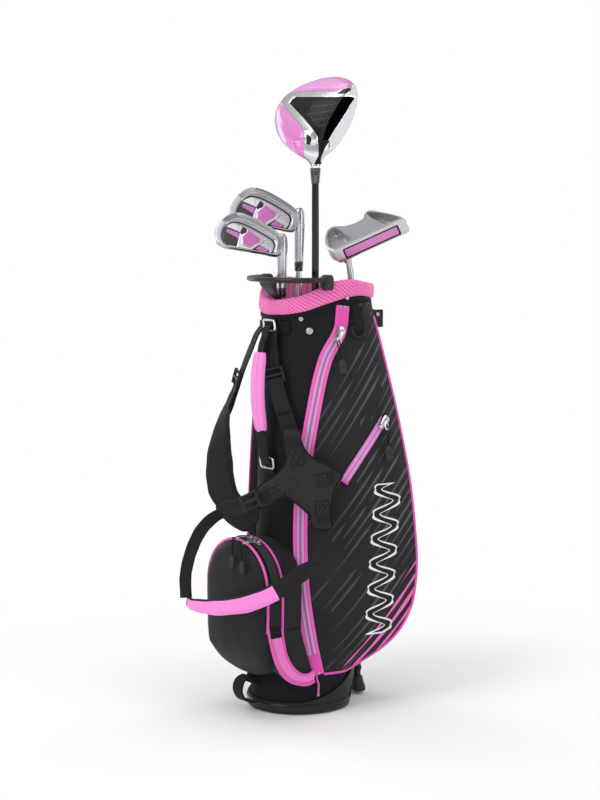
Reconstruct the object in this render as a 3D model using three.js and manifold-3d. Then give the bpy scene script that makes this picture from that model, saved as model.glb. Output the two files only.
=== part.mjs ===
// Junior golf club set: a stand bag with a driver, two cavity-back irons and a mallet putter.
// Millimetres, +Z up, origin on the ground under the middle of the boot. -Y is the spine side
// (carry handle, straps, ball pocket), +Y the leg side, +X the big apparel pocket, -X the far side.
import * as THREE from 'three';
import { mergeVertices } from 'three/addons/utils/BufferGeometryUtils.js';
import Module from 'manifold-3d';

// ---- driving dimensions ----
const TUBE_A0 = 66, TUBE_B0 = 70;        // bag tube half widths at the ground (X, Y)
const TUBE_FLARE = 5 / 560;              // growth of both half widths per mm of height
const TUBE_LEAN = 0.052;                 // rearward lean of the tube axis per mm of height
const WALL = 4;                          // tube wall
const GAP = 0.35;                        // clearance kept between neighbouring pieces
const BOOT_A = TUBE_A0 + 4.2, BOOT_B = TUBE_B0 + 4.2;
const FLAT_END_Y = 34;                   // rear end of the flat underside
const CUT_SLOPE = Math.tan(50 * Math.PI / 180);
const FLAP_ANGLE = 36 * Math.PI / 180;   // rest angle of the base flap
const NS = 40;                           // facets round the tube
const RING_Z = 579, RING_T = 7;          // grab ring height and thickness
const BALL_R = 62, BALL_CZ = 174, BALL_FACE_Y = -114;
const LEG_X = 20, LEG_TOP_Z = 522, LEG_TOP_Y = 113, LEG_R = 5;
const LIE_DRIVER = 49.8, LIE_7 = 61.5, LIE_9 = 62, LIE_PUTTER = 70;

// ---- helpers ----
const wasm = await Module();
wasm.setup();
const V = (x, y, z) => new THREE.Vector3(x, y, z);
const lerp = (a, b, t) => a + (b - a) * t;

function solid(verts, tris) {
  let vol = 0;
  for (const [a, b, c] of tris) vol += verts[a].dot(V(0, 0, 0).copy(verts[b]).cross(verts[c]));
  const vp = new Float32Array(verts.length * 3);
  verts.forEach((p, i) => { vp[3 * i] = p.x; vp[3 * i + 1] = p.y; vp[3 * i + 2] = p.z; });
  const tv = new Uint32Array(tris.length * 3);
  tris.forEach((t, i) => { tv[3 * i] = t[0]; tv[3 * i + 1] = vol < 0 ? t[2] : t[1]; tv[3 * i + 2] = vol < 0 ? t[1] : t[2]; });
  return new wasm.Manifold(new wasm.Mesh({ numProp: 3, vertProperties: vp, triVerts: tv }));
}
// rings: arrays of equal length; wrap joins the last ring to the first
function loft(rings, wrap = false) {
  const n = rings[0].length, verts = rings.flat(), tris = [];
  const m = wrap ? rings.length : rings.length - 1;
  for (let i = 0; i < m; i++) {
    const j = (i + 1) % rings.length;
    for (let k = 0; k < n; k++) {
      const k2 = (k + 1) % n;
      tris.push([i * n + k, i * n + k2, j * n + k2], [i * n + k, j * n + k2, j * n + k]);
    }
  }
  if (!wrap) {
    const cap = (base, flip) => {
      const o = verts[base], pts = [];
      let nrm = V(0, 0, 0);
      for (let k = 0; k < n; k++) nrm.add(V(0, 0, 0).copy(verts[base + k]).sub(o).cross(V(0, 0, 0).copy(verts[base + (k + 1) % n]).sub(o)));
      nrm.normalize();
      const u = Math.abs(nrm.z) < 0.9 ? V(0, 0, 1) : V(1, 0, 0);
      u.addScaledVector(nrm, -u.dot(nrm)).normalize();
      const w = V(0, 0, 0).copy(nrm).cross(u);
      for (let k = 0; k < n; k++) { const d = V(0, 0, 0).copy(verts[base + k]).sub(o); pts.push(new THREE.Vector2(d.dot(u), d.dot(w))); }
      for (const t of THREE.ShapeUtils.triangulateShape(pts, [])) tris.push(flip ? [base + t[0], base + t[2], base + t[1]] : [base + t[0], base + t[1], base + t[2]]);
    };
    cap(0, true); cap((rings.length - 1) * n, false);
  }
  return solid(verts, tris);
}
function spline(pts, n) {
  const c = new THREE.CatmullRomCurve3(pts.map(p => V(...p)), false, 'centripetal');
  return c.getSpacedPoints(n);
}
function tangents(P) {
  return P.map((p, i) => V(0, 0, 0).copy(P[Math.min(i + 1, P.length - 1)]).sub(P[Math.max(i - 1, 0)]).normalize());
}
// flat strap: width direction w per point (made square to the path), section corners chamfer c
function strap(P, W, width, thick, sec = 4) {
  const T = tangents(P);
  const rings = P.map((p, i) => {
    const w = V(...(typeof W === 'function' ? W(i / (P.length - 1), p) : W));
    w.addScaledVector(T[i], -w.dot(T[i])).normalize();
    const n = V(0, 0, 0).copy(T[i]).cross(w);
    const hw = (typeof width === 'function' ? width(i / (P.length - 1)) : width) / 2;
    const ht = (typeof thick === 'function' ? thick(i / (P.length - 1)) : thick) / 2;
    const out = [];
    if (sec === 4) for (const [a, b] of [[-1, -1], [1, -1], [1, 1], [-1, 1]]) out.push(V(0, 0, 0).copy(p).addScaledVector(w, a * hw).addScaledVector(n, b * ht));
    else for (let k = 0; k < sec; k++) {
      const q = 2 * Math.PI * k / sec, c = Math.cos(q), s = Math.sin(q);
      out.push(V(0, 0, 0).copy(p).addScaledVector(w, hw * Math.sign(c) * Math.abs(c) ** 0.6).addScaledVector(n, ht * Math.sign(s) * Math.abs(s) ** 0.8));
    }
    return out;
  });
  return loft(rings);
}
function tube(P, r, sides = 10, wrap = false) {
  const n = P.length, rings = [];
  let ref = null;
  for (let i = 0; i < n; i++) {
    const a = wrap ? P[(i + n - 1) % n] : P[Math.max(i - 1, 0)], b = wrap ? P[(i + 1) % n] : P[Math.min(i + 1, n - 1)];
    const t = V(0, 0, 0).copy(b).sub(a).normalize();
    if (!ref) { ref = Math.abs(t.z) < 0.9 ? V(0, 0, 1) : V(1, 0, 0); }
    ref = V(0, 0, 0).copy(ref).addScaledVector(t, -ref.dot(t)).normalize();
    const s = V(0, 0, 0).copy(t).cross(ref);
    const rr = typeof r === 'function' ? r(i / (n - 1)) : Array.isArray(r) ? r[i] : r;
    rings.push(Array.from({ length: sides }, (_, k) => {
      const q = 2 * Math.PI * k / sides;
      return V(0, 0, 0).copy(P[i]).addScaledVector(ref, rr * Math.cos(q)).addScaledVector(s, rr * Math.sin(q));
    }));
  }
  return loft(rings, wrap);
}
function prism(pts, o, u, w, n, t) {            // polygon pts in (u, w) at o, extruded t along n
  const at = (p, d) => V(0, 0, 0).copy(o).addScaledVector(u, p[0]).addScaledVector(w, p[1]).addScaledVector(n, d);
  return loft([pts.map(p => at(p, 0)), pts.map(p => at(p, t))]);
}
const turn = (p, rx, rz) => p.applyAxisAngle(V(1, 0, 0), rx * Math.PI / 180).applyAxisAngle(V(0, 0, 1), rz * Math.PI / 180);
function box(cx, cy, cz, sx, sy, sz, rotX = 0, rotZ = 0) {
  const q = z => [[-1, -1], [1, -1], [1, 1], [-1, 1]].map(([a, b]) => turn(V(a * sx / 2, b * sy / 2, z * sz / 2), rotX, rotZ).add(V(cx, cy, cz)));
  return loft([q(-1), q(1)]);
}

// ---- the bag tube ----
const tA = z => TUBE_A0 + TUBE_FLARE * z, tB = z => TUBE_B0 + TUBE_FLARE * z, tC = z => TUBE_LEAN * z;
const onTube = (th, z, off = 0) => V((tA(z) + off) * Math.cos(th), tC(z) + (tB(z) + off) * Math.sin(th), z);
function tubeNormal(p) { return V(p.x / tA(p.z) ** 2, (p.y - tC(p.z)) / tB(p.z) ** 2, 0).normalize(); }
function toTube(x, y, z, off) {                 // nearest-by-angle point on the tube, raised by off
  const th = Math.atan2((y - tC(z)) / tB(z), x / tA(z));
  const p = onTube(th, z, 0);
  return p.addScaledVector(tubeNormal(p), off);
}
const TH = Array.from({ length: NS }, (_, k) => 2 * Math.PI * k / NS);
const ringAt = (off, zf) => TH.map(th => onTube(th, zf(th), off));
function tubeSolid(off, z0, z1) { return loft([ringAt(off, () => z0), ringAt(off, () => z1)]); }
// collar heights by angle away from the spine
function table(t, x) { for (let i = 1; i < t.length; i++) if (x <= t[i][0]) { const s = (x - t[i - 1][0]) / (t[i][0] - t[i - 1][0]); return lerp(t[i - 1][1], t[i][1], s * s * (3 - 2 * s)); } return t[t.length - 1][1]; }
const spineAngle = th => { let a = (th + Math.PI / 2) * 180 / Math.PI; a = ((a % 360) + 360) % 360; return a > 180 ? 360 - a : a; };
const rimZ = th => table([[0, 551], [33, 556], [54, 568], [72, 580], [90, 580], [110, 575], [135, 571], [180, 571]], spineAngle(th));
const lowZ = th => table([[0, 531], [37, 536], [63, 549], [88, 558], [105, 558], [130, 552], [180, 549]], spineAngle(th));
const shellBottom = th => { const y = (tB(50) + 1) * Math.sin(th) + 3; return Math.max(8.5, (y - FLAT_END_Y) * CUT_SLOPE + 11.2); };
const bagShell = loft([ringAt(0, shellBottom), ringAt(0, th => lowZ(th) - 0.4), ringAt(-WALL, th => lowZ(th) - 0.4), ringAt(-WALL, shellBottom)], true);

// padded collar: a rounded band over the top edge of the shell
const PAD = [[-6.5, 0.10], [-7.6, 0.35], [-7.4, 0.66], [-4.6, 0.93], [0.5, 1.0], [6.0, 0.94], [9.6, 0.70], [10.2, 0.38], [7.6, 0.10], [1, 0.0]];
let collarPad = loft(TH.map(th => PAD.map(([o, f]) => onTube(th, lerp(lowZ(th), rimZ(th), f), o))), true);

// collar insert with dividers for four clubs
const insertTop = th => lowZ(th) + 14;
let collarFrame = loft([ringAt(-8.1, () => 512), ringAt(-8.1, insertTop), ringAt(-10.8, insertTop), ringAt(-10.8, () => 512)], true);
const INNER = tubeSolid(-9.5, 500, 560);
const bars = box(0, 31, 531, 160, 4.5, 38).add(box(13.5, -5, 531, 4.5, 72.5, 38)).add(box(0, 66, 531, 4.5, 70, 38)).intersect(INNER);
collarFrame = collarFrame.add(bars);

// grab ring: flat U over the spine side, clips on the collar, centre strut down to the insert
const ringPath = spline([[63.5, -3, RING_Z], [65, -14, RING_Z], [63, -32, RING_Z], [52, -49, RING_Z], [29, -61, RING_Z], [0, -65, RING_Z], [-29, -61, RING_Z], [-52, -49, RING_Z], [-63, -32, RING_Z], [-65, -14, RING_Z], [-63.5, -3, RING_Z]], 30);
let carryRing = strap(ringPath, [0, 0, 1], RING_T, 11, 8);
const strut = loft([[[-15, -60], [15, -60], [15, -53], [-15, -53]].map(([x, y]) => V(x, y, RING_Z + 2.5)),
  [[-12, -56], [12, -56], [12, -49.5], [-12, -49.5]].map(([x, y]) => V(x, y, RING_Z - 12)),
  [[-9, -46], [9, -46], [9, -41], [-9, -41]].map(([x, y]) => V(x, y, 557)),
  [[-7, -36.2], [7, -36.2], [7, -32.7], [-7, -32.7]].map(([x, y]) => V(x, y, 549)),
  [[-7, -35.9], [7, -35.9], [7, -32.9], [-7, -32.9]].map(([x, y]) => V(x, y, 522))]);
carryRing = carryRing.add(strut);
const clip = s => box(s * 64.5, -8, 575, 17, 13, 19, 0, s * -8);
const clipBig = s => box(s * 64.5, -8, 575, 17.8, 13.8, 19.8, 0, s * -8);
carryRing = carryRing.add(clip(1)).add(clip(-1));
collarPad = collarPad.subtract(clipBig(1)).subtract(clipBig(-1));
const strutBig = loft([[[-15, -60], [15, -60], [15, -50], [-15, -50]].map(([x, y]) => V(x, y, RING_Z)),
  [[-9.5, -46.5], [9.5, -46.5], [9.5, -40], [-9.5, -40]].map(([x, y]) => V(x, y, 556)),
  [[-7.6, -37.4], [7.6, -37.4], [7.6, -31], [-7.6, -31]].map(([x, y]) => V(x, y, 549)),
  [[-7.6, -36.3], [7.6, -36.3], [7.6, -30], [-7.6, -30]].map(([x, y]) => V(x, y, 521))]);
collarPad = collarPad.subtract(strutBig);
collarFrame = collarFrame.subtract(strutBig);

// boot: floor flat to FLAT_END_Y then cut up, rim rising to the rear
const bootTop = th => { const y = BOOT_B * Math.sin(th); return 15.5 + Math.min(0.0031 * Math.max(0, y + 66) ** 2, 50); };
let boot = loft([TH.map(th => V((BOOT_A - 1.5) * Math.cos(th), (BOOT_B - 1.5) * Math.sin(th), 0)), TH.map(th => V(BOOT_A * Math.cos(th), BOOT_B * Math.sin(th), 1.5)),
  TH.map(th => V(BOOT_A * Math.cos(th), BOOT_B * Math.sin(th) + tC(bootTop(th)), bootTop(th)))]);
const above = (off) => {                         // everything above the rear cut raised by off
  const w = 400, c = Math.cos(Math.atan(CUT_SLOPE)), s = Math.sin(Math.atan(CUT_SLOPE));
  const P = [[FLAT_END_Y - off * s, off * c], [FLAT_END_Y - off * s + w * c, off * c + w * s], [-w, 800], [-w, off * c]];
  return loft([P.map(([y, z]) => V(-200, y, z)), P.map(([y, z]) => V(200, y, z))]);
};
boot = boot.intersect(above(0).add(box(0, -183 + FLAT_END_Y / 2, 200, 400, 400, 400)).intersect(above(0).add(box(0, FLAT_END_Y - 200, 200, 400, 400, 400))));
const bootHollow = tubeSolid(GAP, 8, 120).intersect(above(6.5).add(box(0, FLAT_END_Y - 212, 200, 400, 400, 400)));
boot = boot.subtract(bootHollow);
const bootBlock = loft([ringAt(4.7, () => -5), ringAt(4.7, bootTop)]);

// base flap under the rear cut, hinged on the flat's rear edge
const flapDir = V(0, Math.cos(FLAP_ANGLE), Math.sin(FLAP_ANGLE)), flapN = V(0, Math.sin(FLAP_ANGLE), -Math.cos(FLAP_ANGLE));
const flapO = V(0, FLAT_END_Y + 2.6, 2.9);
const flapOut = [[-46, 0], [46, 0], [46, 14], [40, 26], [28, 36], [12, 41], [-12, 41], [-28, 36], [-40, 26], [-46, 14]];
let baseFlap = prism(flapOut, flapO, V(1, 0, 0), flapDir, flapN, 2.6);

// ---- apparel pocket: stations run from the top down; zip side, corner side ----
const ZIP = [[69, 14, 545], [68, 10, 513], [63, -10, 474], [55, -26, 395], [50, -37, 316], [49, -41, 249], [53, -40, 169], [60, -33, 101], [65, -24, 53]];
const OUT = [[92, 548], [104, 505], [121.2, 436], [130, 398], [146.3, 315], [150.9, 282], [155.8, 232], [157.7, 198], [155.8, 164], [149.9, 136], [136.5, 110], [117, 89], [84, 67], [62, 55]];
const RX = 0.643, RY = 0.766;                    // unit direction across the printed panel's face
const zipCurve = new THREE.CatmullRomCurve3(ZIP.map(p => V(...p)), false, 'centripetal');
const outCurve = new THREE.CatmullRomCurve3(OUT.map(([r, z], i) => { const c = i < 9 ? 14 : lerp(14, 46, (i - 8) / 5); return V(RX * r + RY * c, RY * r - RX * c, z); }), false, 'centripetal');
function zipAt(t) { return zipCurve.getPoint(t); }
function leftAt(t) {                             // zip-side edge of the panel, just clear of the tape
  const p = zipAt(t), q = zipAt(Math.min(1, t + 0.01)), o = zipAt(Math.max(0, t - 0.01)), n = tubeNormal(p);
  const d = V(0, 0, 0).copy(q).sub(o).normalize().cross(n).negate();
  const b = d.x * RX + d.y * RY > 0 ? d : d.negate();
  return toTube(p.x + b.x * 9.4, p.y + b.y * 9.4, p.z, -3);
}
function panelAt(s, t) {
  const L = leftAt(t), R = outCurve.getPoint(t);
  const n = V(R.y - L.y, -(R.x - L.x), 0).normalize();
  const len = Math.hypot(R.x - L.x, R.y - L.y);
  const bulge = Math.min(16, len * 0.13) * Math.sin(Math.PI * s) ** 0.75;
  return V(lerp(L.x, R.x, s), lerp(L.y, R.y, s), lerp(L.z, R.z, s)).addScaledVector(n, bulge);
}
const PT = 18;
const pocketRings = [];
for (let i = 0; i <= PT; i++) {
  const t = i / PT, ring = [];
  for (const s of [0, 0.06, 0.16, 0.3, 0.45, 0.6, 0.75, 0.88, 0.96, 1]) ring.push(panelAt(s, t));
  const R = ring[9], z = R.z, w = Math.min(1, Math.max(0, (z - 50) / 60));
  const rear = toTube(44, tC(z) + 60, z, -6), deep = toTube(20, tC(z) + 20, z, -30);
  const back = V(lerp(RX * 40, rear.x, w), lerp(RY * 40 + 4, rear.y, w), z);
  ring.push(V(lerp(R.x, back.x, 0.04), lerp(R.y, back.y, 0.04) + 1.5, z));
  ring.push(V(lerp(R.x, back.x, 0.5) + 2, lerp(R.y, back.y, 0.5) + 3, z));
  ring.push(back, V(lerp(20, deep.x, w), lerp(10, deep.y, w), z));
  pocketRings.push(ring);
}
const tubeBig = tubeSolid(GAP, -20, 640);
let apparel = loft(pocketRings).subtract(tubeBig).subtract(bootBlock.add(tubeSolid(4.7, -5, 18)));
apparel = apparel.subtract(loft(TH.map(th => PAD.map(([o, f]) => onTube(th, lerp(lowZ(th) - 0.4, rimZ(th), f), o < 0 ? o : o + 0.5))), true));
// keep only the main body if trimming leaves crumbs
function largest(m) { const parts = m.decompose(); let best = parts[0], bv = -1; for (const p of parts) { const v = p.volume ? p.volume() : p.getProperties().volume; if (v > bv) { bv = v; best = p; } } return best; }
apparel = largest(apparel);

// long zip tape on the tube, diagonal zip tape on the panel
const zipPath = Array.from({ length: 25 }, (_, i) => { const p = zipAt(i / 24); return toTube(p.x, p.y, p.z, 0.45 + 1.2); });
let longZip = strap(zipPath, (t, p) => { const n = tubeNormal(p), d = zipAt(Math.min(1, t + 0.02)).sub(zipAt(Math.max(0, t - 0.02))).normalize(); return d.cross(n).toArray(); }, 16.5, 2.4);
longZip = largest(longZip.subtract(tubeSolid(0.3, -20, 640)));
apparel = largest(apparel.subtract(strap(zipPath, (t, p) => { const n = tubeNormal(p), d = zipAt(Math.min(1, t + 0.02)).sub(zipAt(Math.max(0, t - 0.02))).normalize(); return d.cross(n).toArray(); }, 17.4, 4.2)));
function panelNormal(s, t) {
  const a = panelAt(s + 0.01, t).sub(panelAt(s - 0.01, t)), b = panelAt(s, Math.min(1, t + 0.01)).sub(panelAt(s, Math.max(0, t - 0.01)));
  const n = a.cross(b).normalize(); return n.x > 0 ? n : n.negate();
}
function panelFind(r, z) {                       // (s, t) of the panel point at across distance r and height z
  let best = [0.5, 0.5], bd = 1e9;
  for (let i = 1; i < 100; i++) for (let j = 0; j <= 100; j++) { const p = panelAt(i / 100, j / 100), d = Math.hypot(p.x * RX + p.y * RY - r, p.z - z); if (d < bd) { bd = d; best = [i / 100, j / 100]; } }
  return best;
}
const DZ = [[58, 312], [68, 328], [80, 347], [92, 366], [104, 384], [112, 396]].map(([r, z]) => panelFind(r, z));
const dzN = [], dzP = [];
for (let i = 0; i < 13; i++) {
  const f = i / 12 * (DZ.length - 1), k = Math.min(Math.floor(f), DZ.length - 2), u = f - k;
  const s = lerp(DZ[k][0], DZ[k + 1][0], u), t = lerp(DZ[k][1], DZ[k + 1][1], u);
  const n = panelNormal(s, t); dzN.push(n); dzP.push(panelAt(s, t).addScaledVector(n, 1.3));
}
const dzW = (t, p) => { const i = Math.round(t * 12), d = V(0, 0, 0).copy(dzP[Math.min(12, i + 1)]).sub(dzP[Math.max(0, i - 1)]); return d.cross(dzN[i]).toArray(); };
const diagZip = strap(dzP, dzW, 11, 2.2);
apparel = largest(apparel.subtract(strap(dzP, dzW, 11.8, 3.0)));

// far-side pocket
const sideRings = [];
for (let i = 0; i <= 10; i++) {
  const t = i / 10, z = lerp(80, 430, t), d = 26 * Math.sin(Math.PI * Math.min(1, t * 1.02 + 0.02)) ** 0.5 + 1.5;
  sideRings.push([-0.75, -0.6, -0.35, 0, 0.35, 0.6, 0.75].map(u => onTube(Math.PI + u, z, d * Math.max(0.06, 1 - Math.abs(u / 0.75) ** 3))).concat([onTube(Math.PI + 0.75, z, -12), onTube(Math.PI - 0.75, z, -12)]));
}
const sidePocket = largest(loft(sideRings).subtract(tubeBig));

// ball pocket on the spine side
function ballOutline(k) {
  const P = [];
  for (let i = 0; i <= 12; i++) { const a = Math.PI * i / 12; P.push([BALL_R * Math.cos(a), BALL_CZ + BALL_R * Math.sin(a)]); }
  P.push([-61.5, 130], [-60, 95], [-48, 68], [-25, 57], [0, 54], [25, 57], [48, 68], [60, 95], [61.5, 130]);
  return P.map(([x, z]) => [x * k, (z - 150) * k + 150]);
}
const taper = z => Math.max(0, 92 - z) * 0.5;
const ballLayer = (k, y, tp = 1) => ballOutline(k).map(([x, z]) => V(x, y + tp * taper(z), z));
let ballPocket = loft([ballLayer(0.45, BALL_FACE_Y - 6), ballLayer(0.8, BALL_FACE_Y - 4.5), ballLayer(0.93, BALL_FACE_Y - 2), ballLayer(0.985, BALL_FACE_Y + 3), ballLayer(1, BALL_FACE_Y + 8), ballLayer(1.01, -76, 0.5), ballLayer(1.0, -30, 0)]);
ballPocket = ballPocket.subtract(tubeBig);
ballPocket = largest(ballPocket.subtract(box(0, -40, 150, 200, 60, 200).subtract(tubeSolid(60, 0, 300)).add(box(0, 10.5, 150, 300, 120, 260))));
const ballArc = (a, y, off) => V((BALL_R + off) * Math.cos(a), y, BALL_CZ + (BALL_R + off) * Math.sin(a));
const bzP = Array.from({ length: 21 }, (_, i) => ballArc(lerp(-0.18, Math.PI + 0.18, i / 20), -95, 2.6));
const ballZip = strap(bzP, [0, 1, 0], 13, 2.2);
ballPocket = largest(ballPocket.subtract(strap(bzP, [0, 1, 0], 14, 3.0)));

// ---- sliders and pullers ----
function slider(c, dir, n, w, l, h) {            // body of a zip slider: c on the tape, dir along it
  const d = V(...dir).normalize(), nn = V(...n).normalize(), s = V(0, 0, 0).copy(d).cross(nn).normalize(), o = V(...c);
  const P = [[-w * 0.34, -l / 2], [w * 0.34, -l / 2], [w / 2, l * 0.2], [w * 0.36, l / 2], [-w * 0.36, l / 2], [-w / 2, l * 0.2]];
  const b = prism(P, V(0, 0, 0).copy(o), s, d, nn, h * 0.5);
  const br = prism([[-1.6, -l * 0.34], [1.6, -l * 0.34], [1.6, l * 0.34], [-1.6, l * 0.34]], V(0, 0, 0).copy(o).addScaledVector(nn, h * 0.5 - 0.01), s, d, nn, h * 0.5);
  return b.add(br);
}
function puller(top, down, n, len, w) {          // moulded pull: thin cord part ending in a tab
  const d = V(...down).normalize(), nn = V(...n).normalize(), s = V(0, 0, 0).copy(d).cross(nn).normalize(), o = V(...top);
  const st = (a, hw, ht) => [[-1, -1], [1, -1], [1, 1], [-1, 1]].map(([x, y]) => V(0, 0, 0).copy(o).addScaledVector(d, a).addScaledVector(s, x * hw).addScaledVector(nn, y * ht));
  return loft([st(0, 2.4, 1), st(len * 0.1, 2.6, 1.2), st(len * 0.55, 1.9, 1.2), st(len * 0.62, w * 0.4, 1.9), st(len * 0.72, w / 2, 2.2), st(len * 0.93, w / 2, 2.0), st(len, w * 0.36, 1.4)]);
}
const S1z = zipAt(0.142), S1 = toTube(S1z.x, S1z.y, S1z.z, 3.2), S1n = tubeNormal(S1), S1d = zipAt(0.09).sub(zipAt(0.19)).normalize();
const longSlider = slider(S1.toArray(), S1d.toArray(), S1n.toArray(), 9, 15, 6);
const P1top = V(0, 0, 0).copy(S1).addScaledVector(S1n, 5.2).addScaledVector(S1d, -8.6);
const longPull = puller(P1top.toArray(), [0.16, 0.1, -0.98], S1n.toArray(), 42, 10);
const S2 = V(0, 0, 0).copy(dzP[11]).addScaledVector(dzN[11], 2.8), S2n = dzN[11], S2d = V(0, 0, 0).copy(dzP[12]).sub(dzP[10]).normalize();
const diagSlider = slider(S2.toArray(), S2d.toArray(), S2n.toArray(), 9, 14, 6);
const P2top = V(0, 0, 0).copy(S2).addScaledVector(S2n, 5.6).add(V(1, 1.5, -8));
const diagPull = puller(P2top.toArray(), [0.05, 0.06, -1], S2n.toArray(), 42, 10);
const ballAng = [Math.PI / 2 - 0.13, Math.PI / 2 - 0.38];
const ballSl = ballAng.map(a => { const c = ballArc(a, -95, 4.2); return slider(c.toArray(), [-Math.sin(a), 0, Math.cos(a)], [Math.cos(a), 0, Math.sin(a)], 8, 12, 5); });
const ballPulls = ballAng.map((a, i) => { const c = ballArc(a, -101.8, 7.2); return puller([c.x, -123.6, c.z - 1], [i ? 0.08 : -0.1, -0.02, -1], [0, -1, 0], 38, 9); });
const pullArm = ballAng.map((a, i) => { const c = ballArc(a, -95, 7.2); return tube([V(c.x, -94, c.z - 2.5), V(c.x, -99.6, c.z - 0.4), V(c.x, -112, c.z + 1), V(c.x, -121, c.z), V(c.x, -123.6, c.z - 4)], 1.3, 6); });

// ---- spine handle ----
const HX = 8;                                    // handle line
const padPath = spline([[HX - 1, -74, 484], [HX - 0.8, -77.6, 460], [HX - 0.7, -79, 434], [HX - 0.6, -77.4, 408], [HX - 0.6, -73, 379]], 12);
const handlePad = strap(padPath, [1, 0, 0], t => 15.5 - 3 * Math.abs(2 * t - 1) ** 6, t => 11.5 - 3.5 * Math.abs(2 * t - 1) ** 6, 10);
const webTop = strap(spline([[HX - 1.2, -53.4, 527], [HX - 1.2, -54.6, 521.6], [HX - 1.2, -58.4, 518.8], [HX - 1.2, -62.8, 515.5], [HX - 1.2, -66, 506], [HX - 1.1, -71, 494], [HX - 1, -73.7, 484.9]], 10), [1, 0, 0], 13, 2);
const webLow = strap(spline([[HX - 0.6, -72.6, 378.4], [HX - 0.7, -70.3, 364], [HX - 0.8, -68.4, 350], [HX - 1, -67, 341.5], [HX - 1, -62.8, 336.6], [HX - 1, -58.8, 333.5], [HX - 1, -57.6, 322]], 10), [1, 0, 0], 13, 2);
function rectRing(c, w, h, r, tilt = 0, yaw = 0, sides = 6) {
  const P = [], k = 3.2;
  for (const [sx, sz, a0] of [[1, 1, 0], [-1, 1, 90], [-1, -1, 180], [1, -1, 270]]) for (const a of [0, 45, 90]) { const q = (a0 + a) * Math.PI / 180; P.push(V(sx * (w / 2 - k) + k * Math.cos(q), 0, sz * (h / 2 - k) + k * Math.sin(q))); }
  return tube(P.map(p => turn(p, tilt, yaw).add(V(...c))), r, sides, true);
}
const ringTop = rectRing([HX - 1.2, -58.4, 519.2], 22, 13, 1.6, 8);
const ringLow = rectRing([HX - 1, -62.8, 336.4], 22, 13, 1.6, 8);

// base grab loop
const loopPath = spline([[-12, -67.4 - 4.6, 42], [-12, -84, 46], [-12, -95, 42], [-12, -99, 31], [-12, -95, 20], [-12, -86, 13], [-12, -75.4, 11]], 14);
const bottomHandle = strap(loopPath, [1, 0, 0], 22, 2.4);

// ---- shoulder straps ----
const CN = V(0.766, -0.643, 0), CR = V(0.643, 0.766, 0), UP = V(0, 0, 1);
const anchorBlock = largest(strap([onTube(-Math.PI / 2 - 0.42, 516, 2.4), onTube(-Math.PI / 2 - 0.21, 516, 2.4), onTube(-Math.PI / 2, 516, 2.4), onTube(-Math.PI / 2 + 0.21, 516, 2.4), onTube(-Math.PI / 2 + 0.42, 516, 2.4)], [0, 0, 1], 15, 2.8).subtract(tubeSolid(0.3, 400, 560)));
const webFrontP = spline([[9, -57.2, 506.5], [11, -57, 483.4], [18, -56.8, 453.7], [30.9, -56, 417.6], [46, -56.4, 384]], 12);
const webFront = strap(webFrontP, t => [lerp(1, 0.8, t), lerp(0.1, 0.6, t), 0], 21, 2);
const webRearP = spline([[-19, -58.6, 506.5], [-25, -62, 491.1], [-32.6, -67.5, 468.1], [-39.4, -72, 446.4], [-45, -76.5, 424], [-50, -81, 404.5]], 12);
const webRear = strap(webRearP, [0.9, -0.35, 0], 20, 2);
const padUpP = spline([[-52.2, -85.1, 402], [-53.5, -91.8, 376.5], [-49, -99.5, 345], [-38.7, -106.2, 313], [-20.9, -110, 291], [4.3, -108, 280], [24, -101, 283]], 18);
const padUp = strap(padUpP, (t) => [lerp(0.9, 0.643, Math.min(1, t * 1.5)), lerp(-0.35, 0.766, Math.min(1, t * 1.5)), t < 0.25 ? 0 : lerp(0, 0.5, (t - 0.25) / 0.75)], t => 24 + 15 * Math.sin(Math.PI * Math.min(1, t * 1.05)) ** 0.7, t => 4 + 5 * Math.sin(Math.PI * t) ** 0.6, 10);
const HUB = [[-20.3, 387], [-0.8, 385], [1.3, 370], [10, 354], [23, 344.4], [36, 339], [47, 332.3], [55.6, 325.8], [49.1, 314.8], [43.5, 299.4], [42, 288.4], [40.5, 268.5], [41.6, 255], [19.5, 254], [17.7, 266.3], [7.9, 277.3], [-5.2, 288.4], [-18.2, 297.2], [-29.1, 295], [-40, 286.1], [-53.1, 281.7], [-61.7, 299.4], [-50.8, 312.6], [-31.3, 325.8], [-20.4, 338.9], [-18.2, 354.3], [-20.4, 369.6]];
const hub = prism(HUB.map(([r, z]) => [r, z]), CN.clone().multiplyScalar(82), CR, UP, CN, 4.5);
const padLowP = spline([[88.5, -27, 247], [94, -36, 228], [95, -51, 214], [94, -79, 201.5], [89, -109, 186], [77, -130, 174.5], [45, -144, 162], [10, -149, 154.5], [-25, -148.5, 149.5], [-52, -146, 147.5], [-61.5, -144.5, 149.5]], 22);
const padLow = strap(padLowP, t => t < 0.12 ? [0.45, 0.9, 0.1] : [lerp(0.45, 0.766, Math.min(1, (t - 0.12) * 4)), lerp(0.9, -0.643, Math.min(1, (t - 0.12) * 4)), 0.1], t => 22 + 15 * Math.sin(Math.PI * t) ** 0.7, t => 4 + 6 * Math.sin(Math.PI * t) ** 0.5, 10);
const webLowP = spline([[-67.5, -143, 152.4], [-71.5, -140.5, 182.3], [-66, -134.5, 216.4], [-54, -127, 244.4], [-37.5, -120.5, 262], [-24, -118.6, 268]], 12);
const webLow2 = strap(webLowP, [0.766, 0.55, 0.2], 17, 2);
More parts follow.
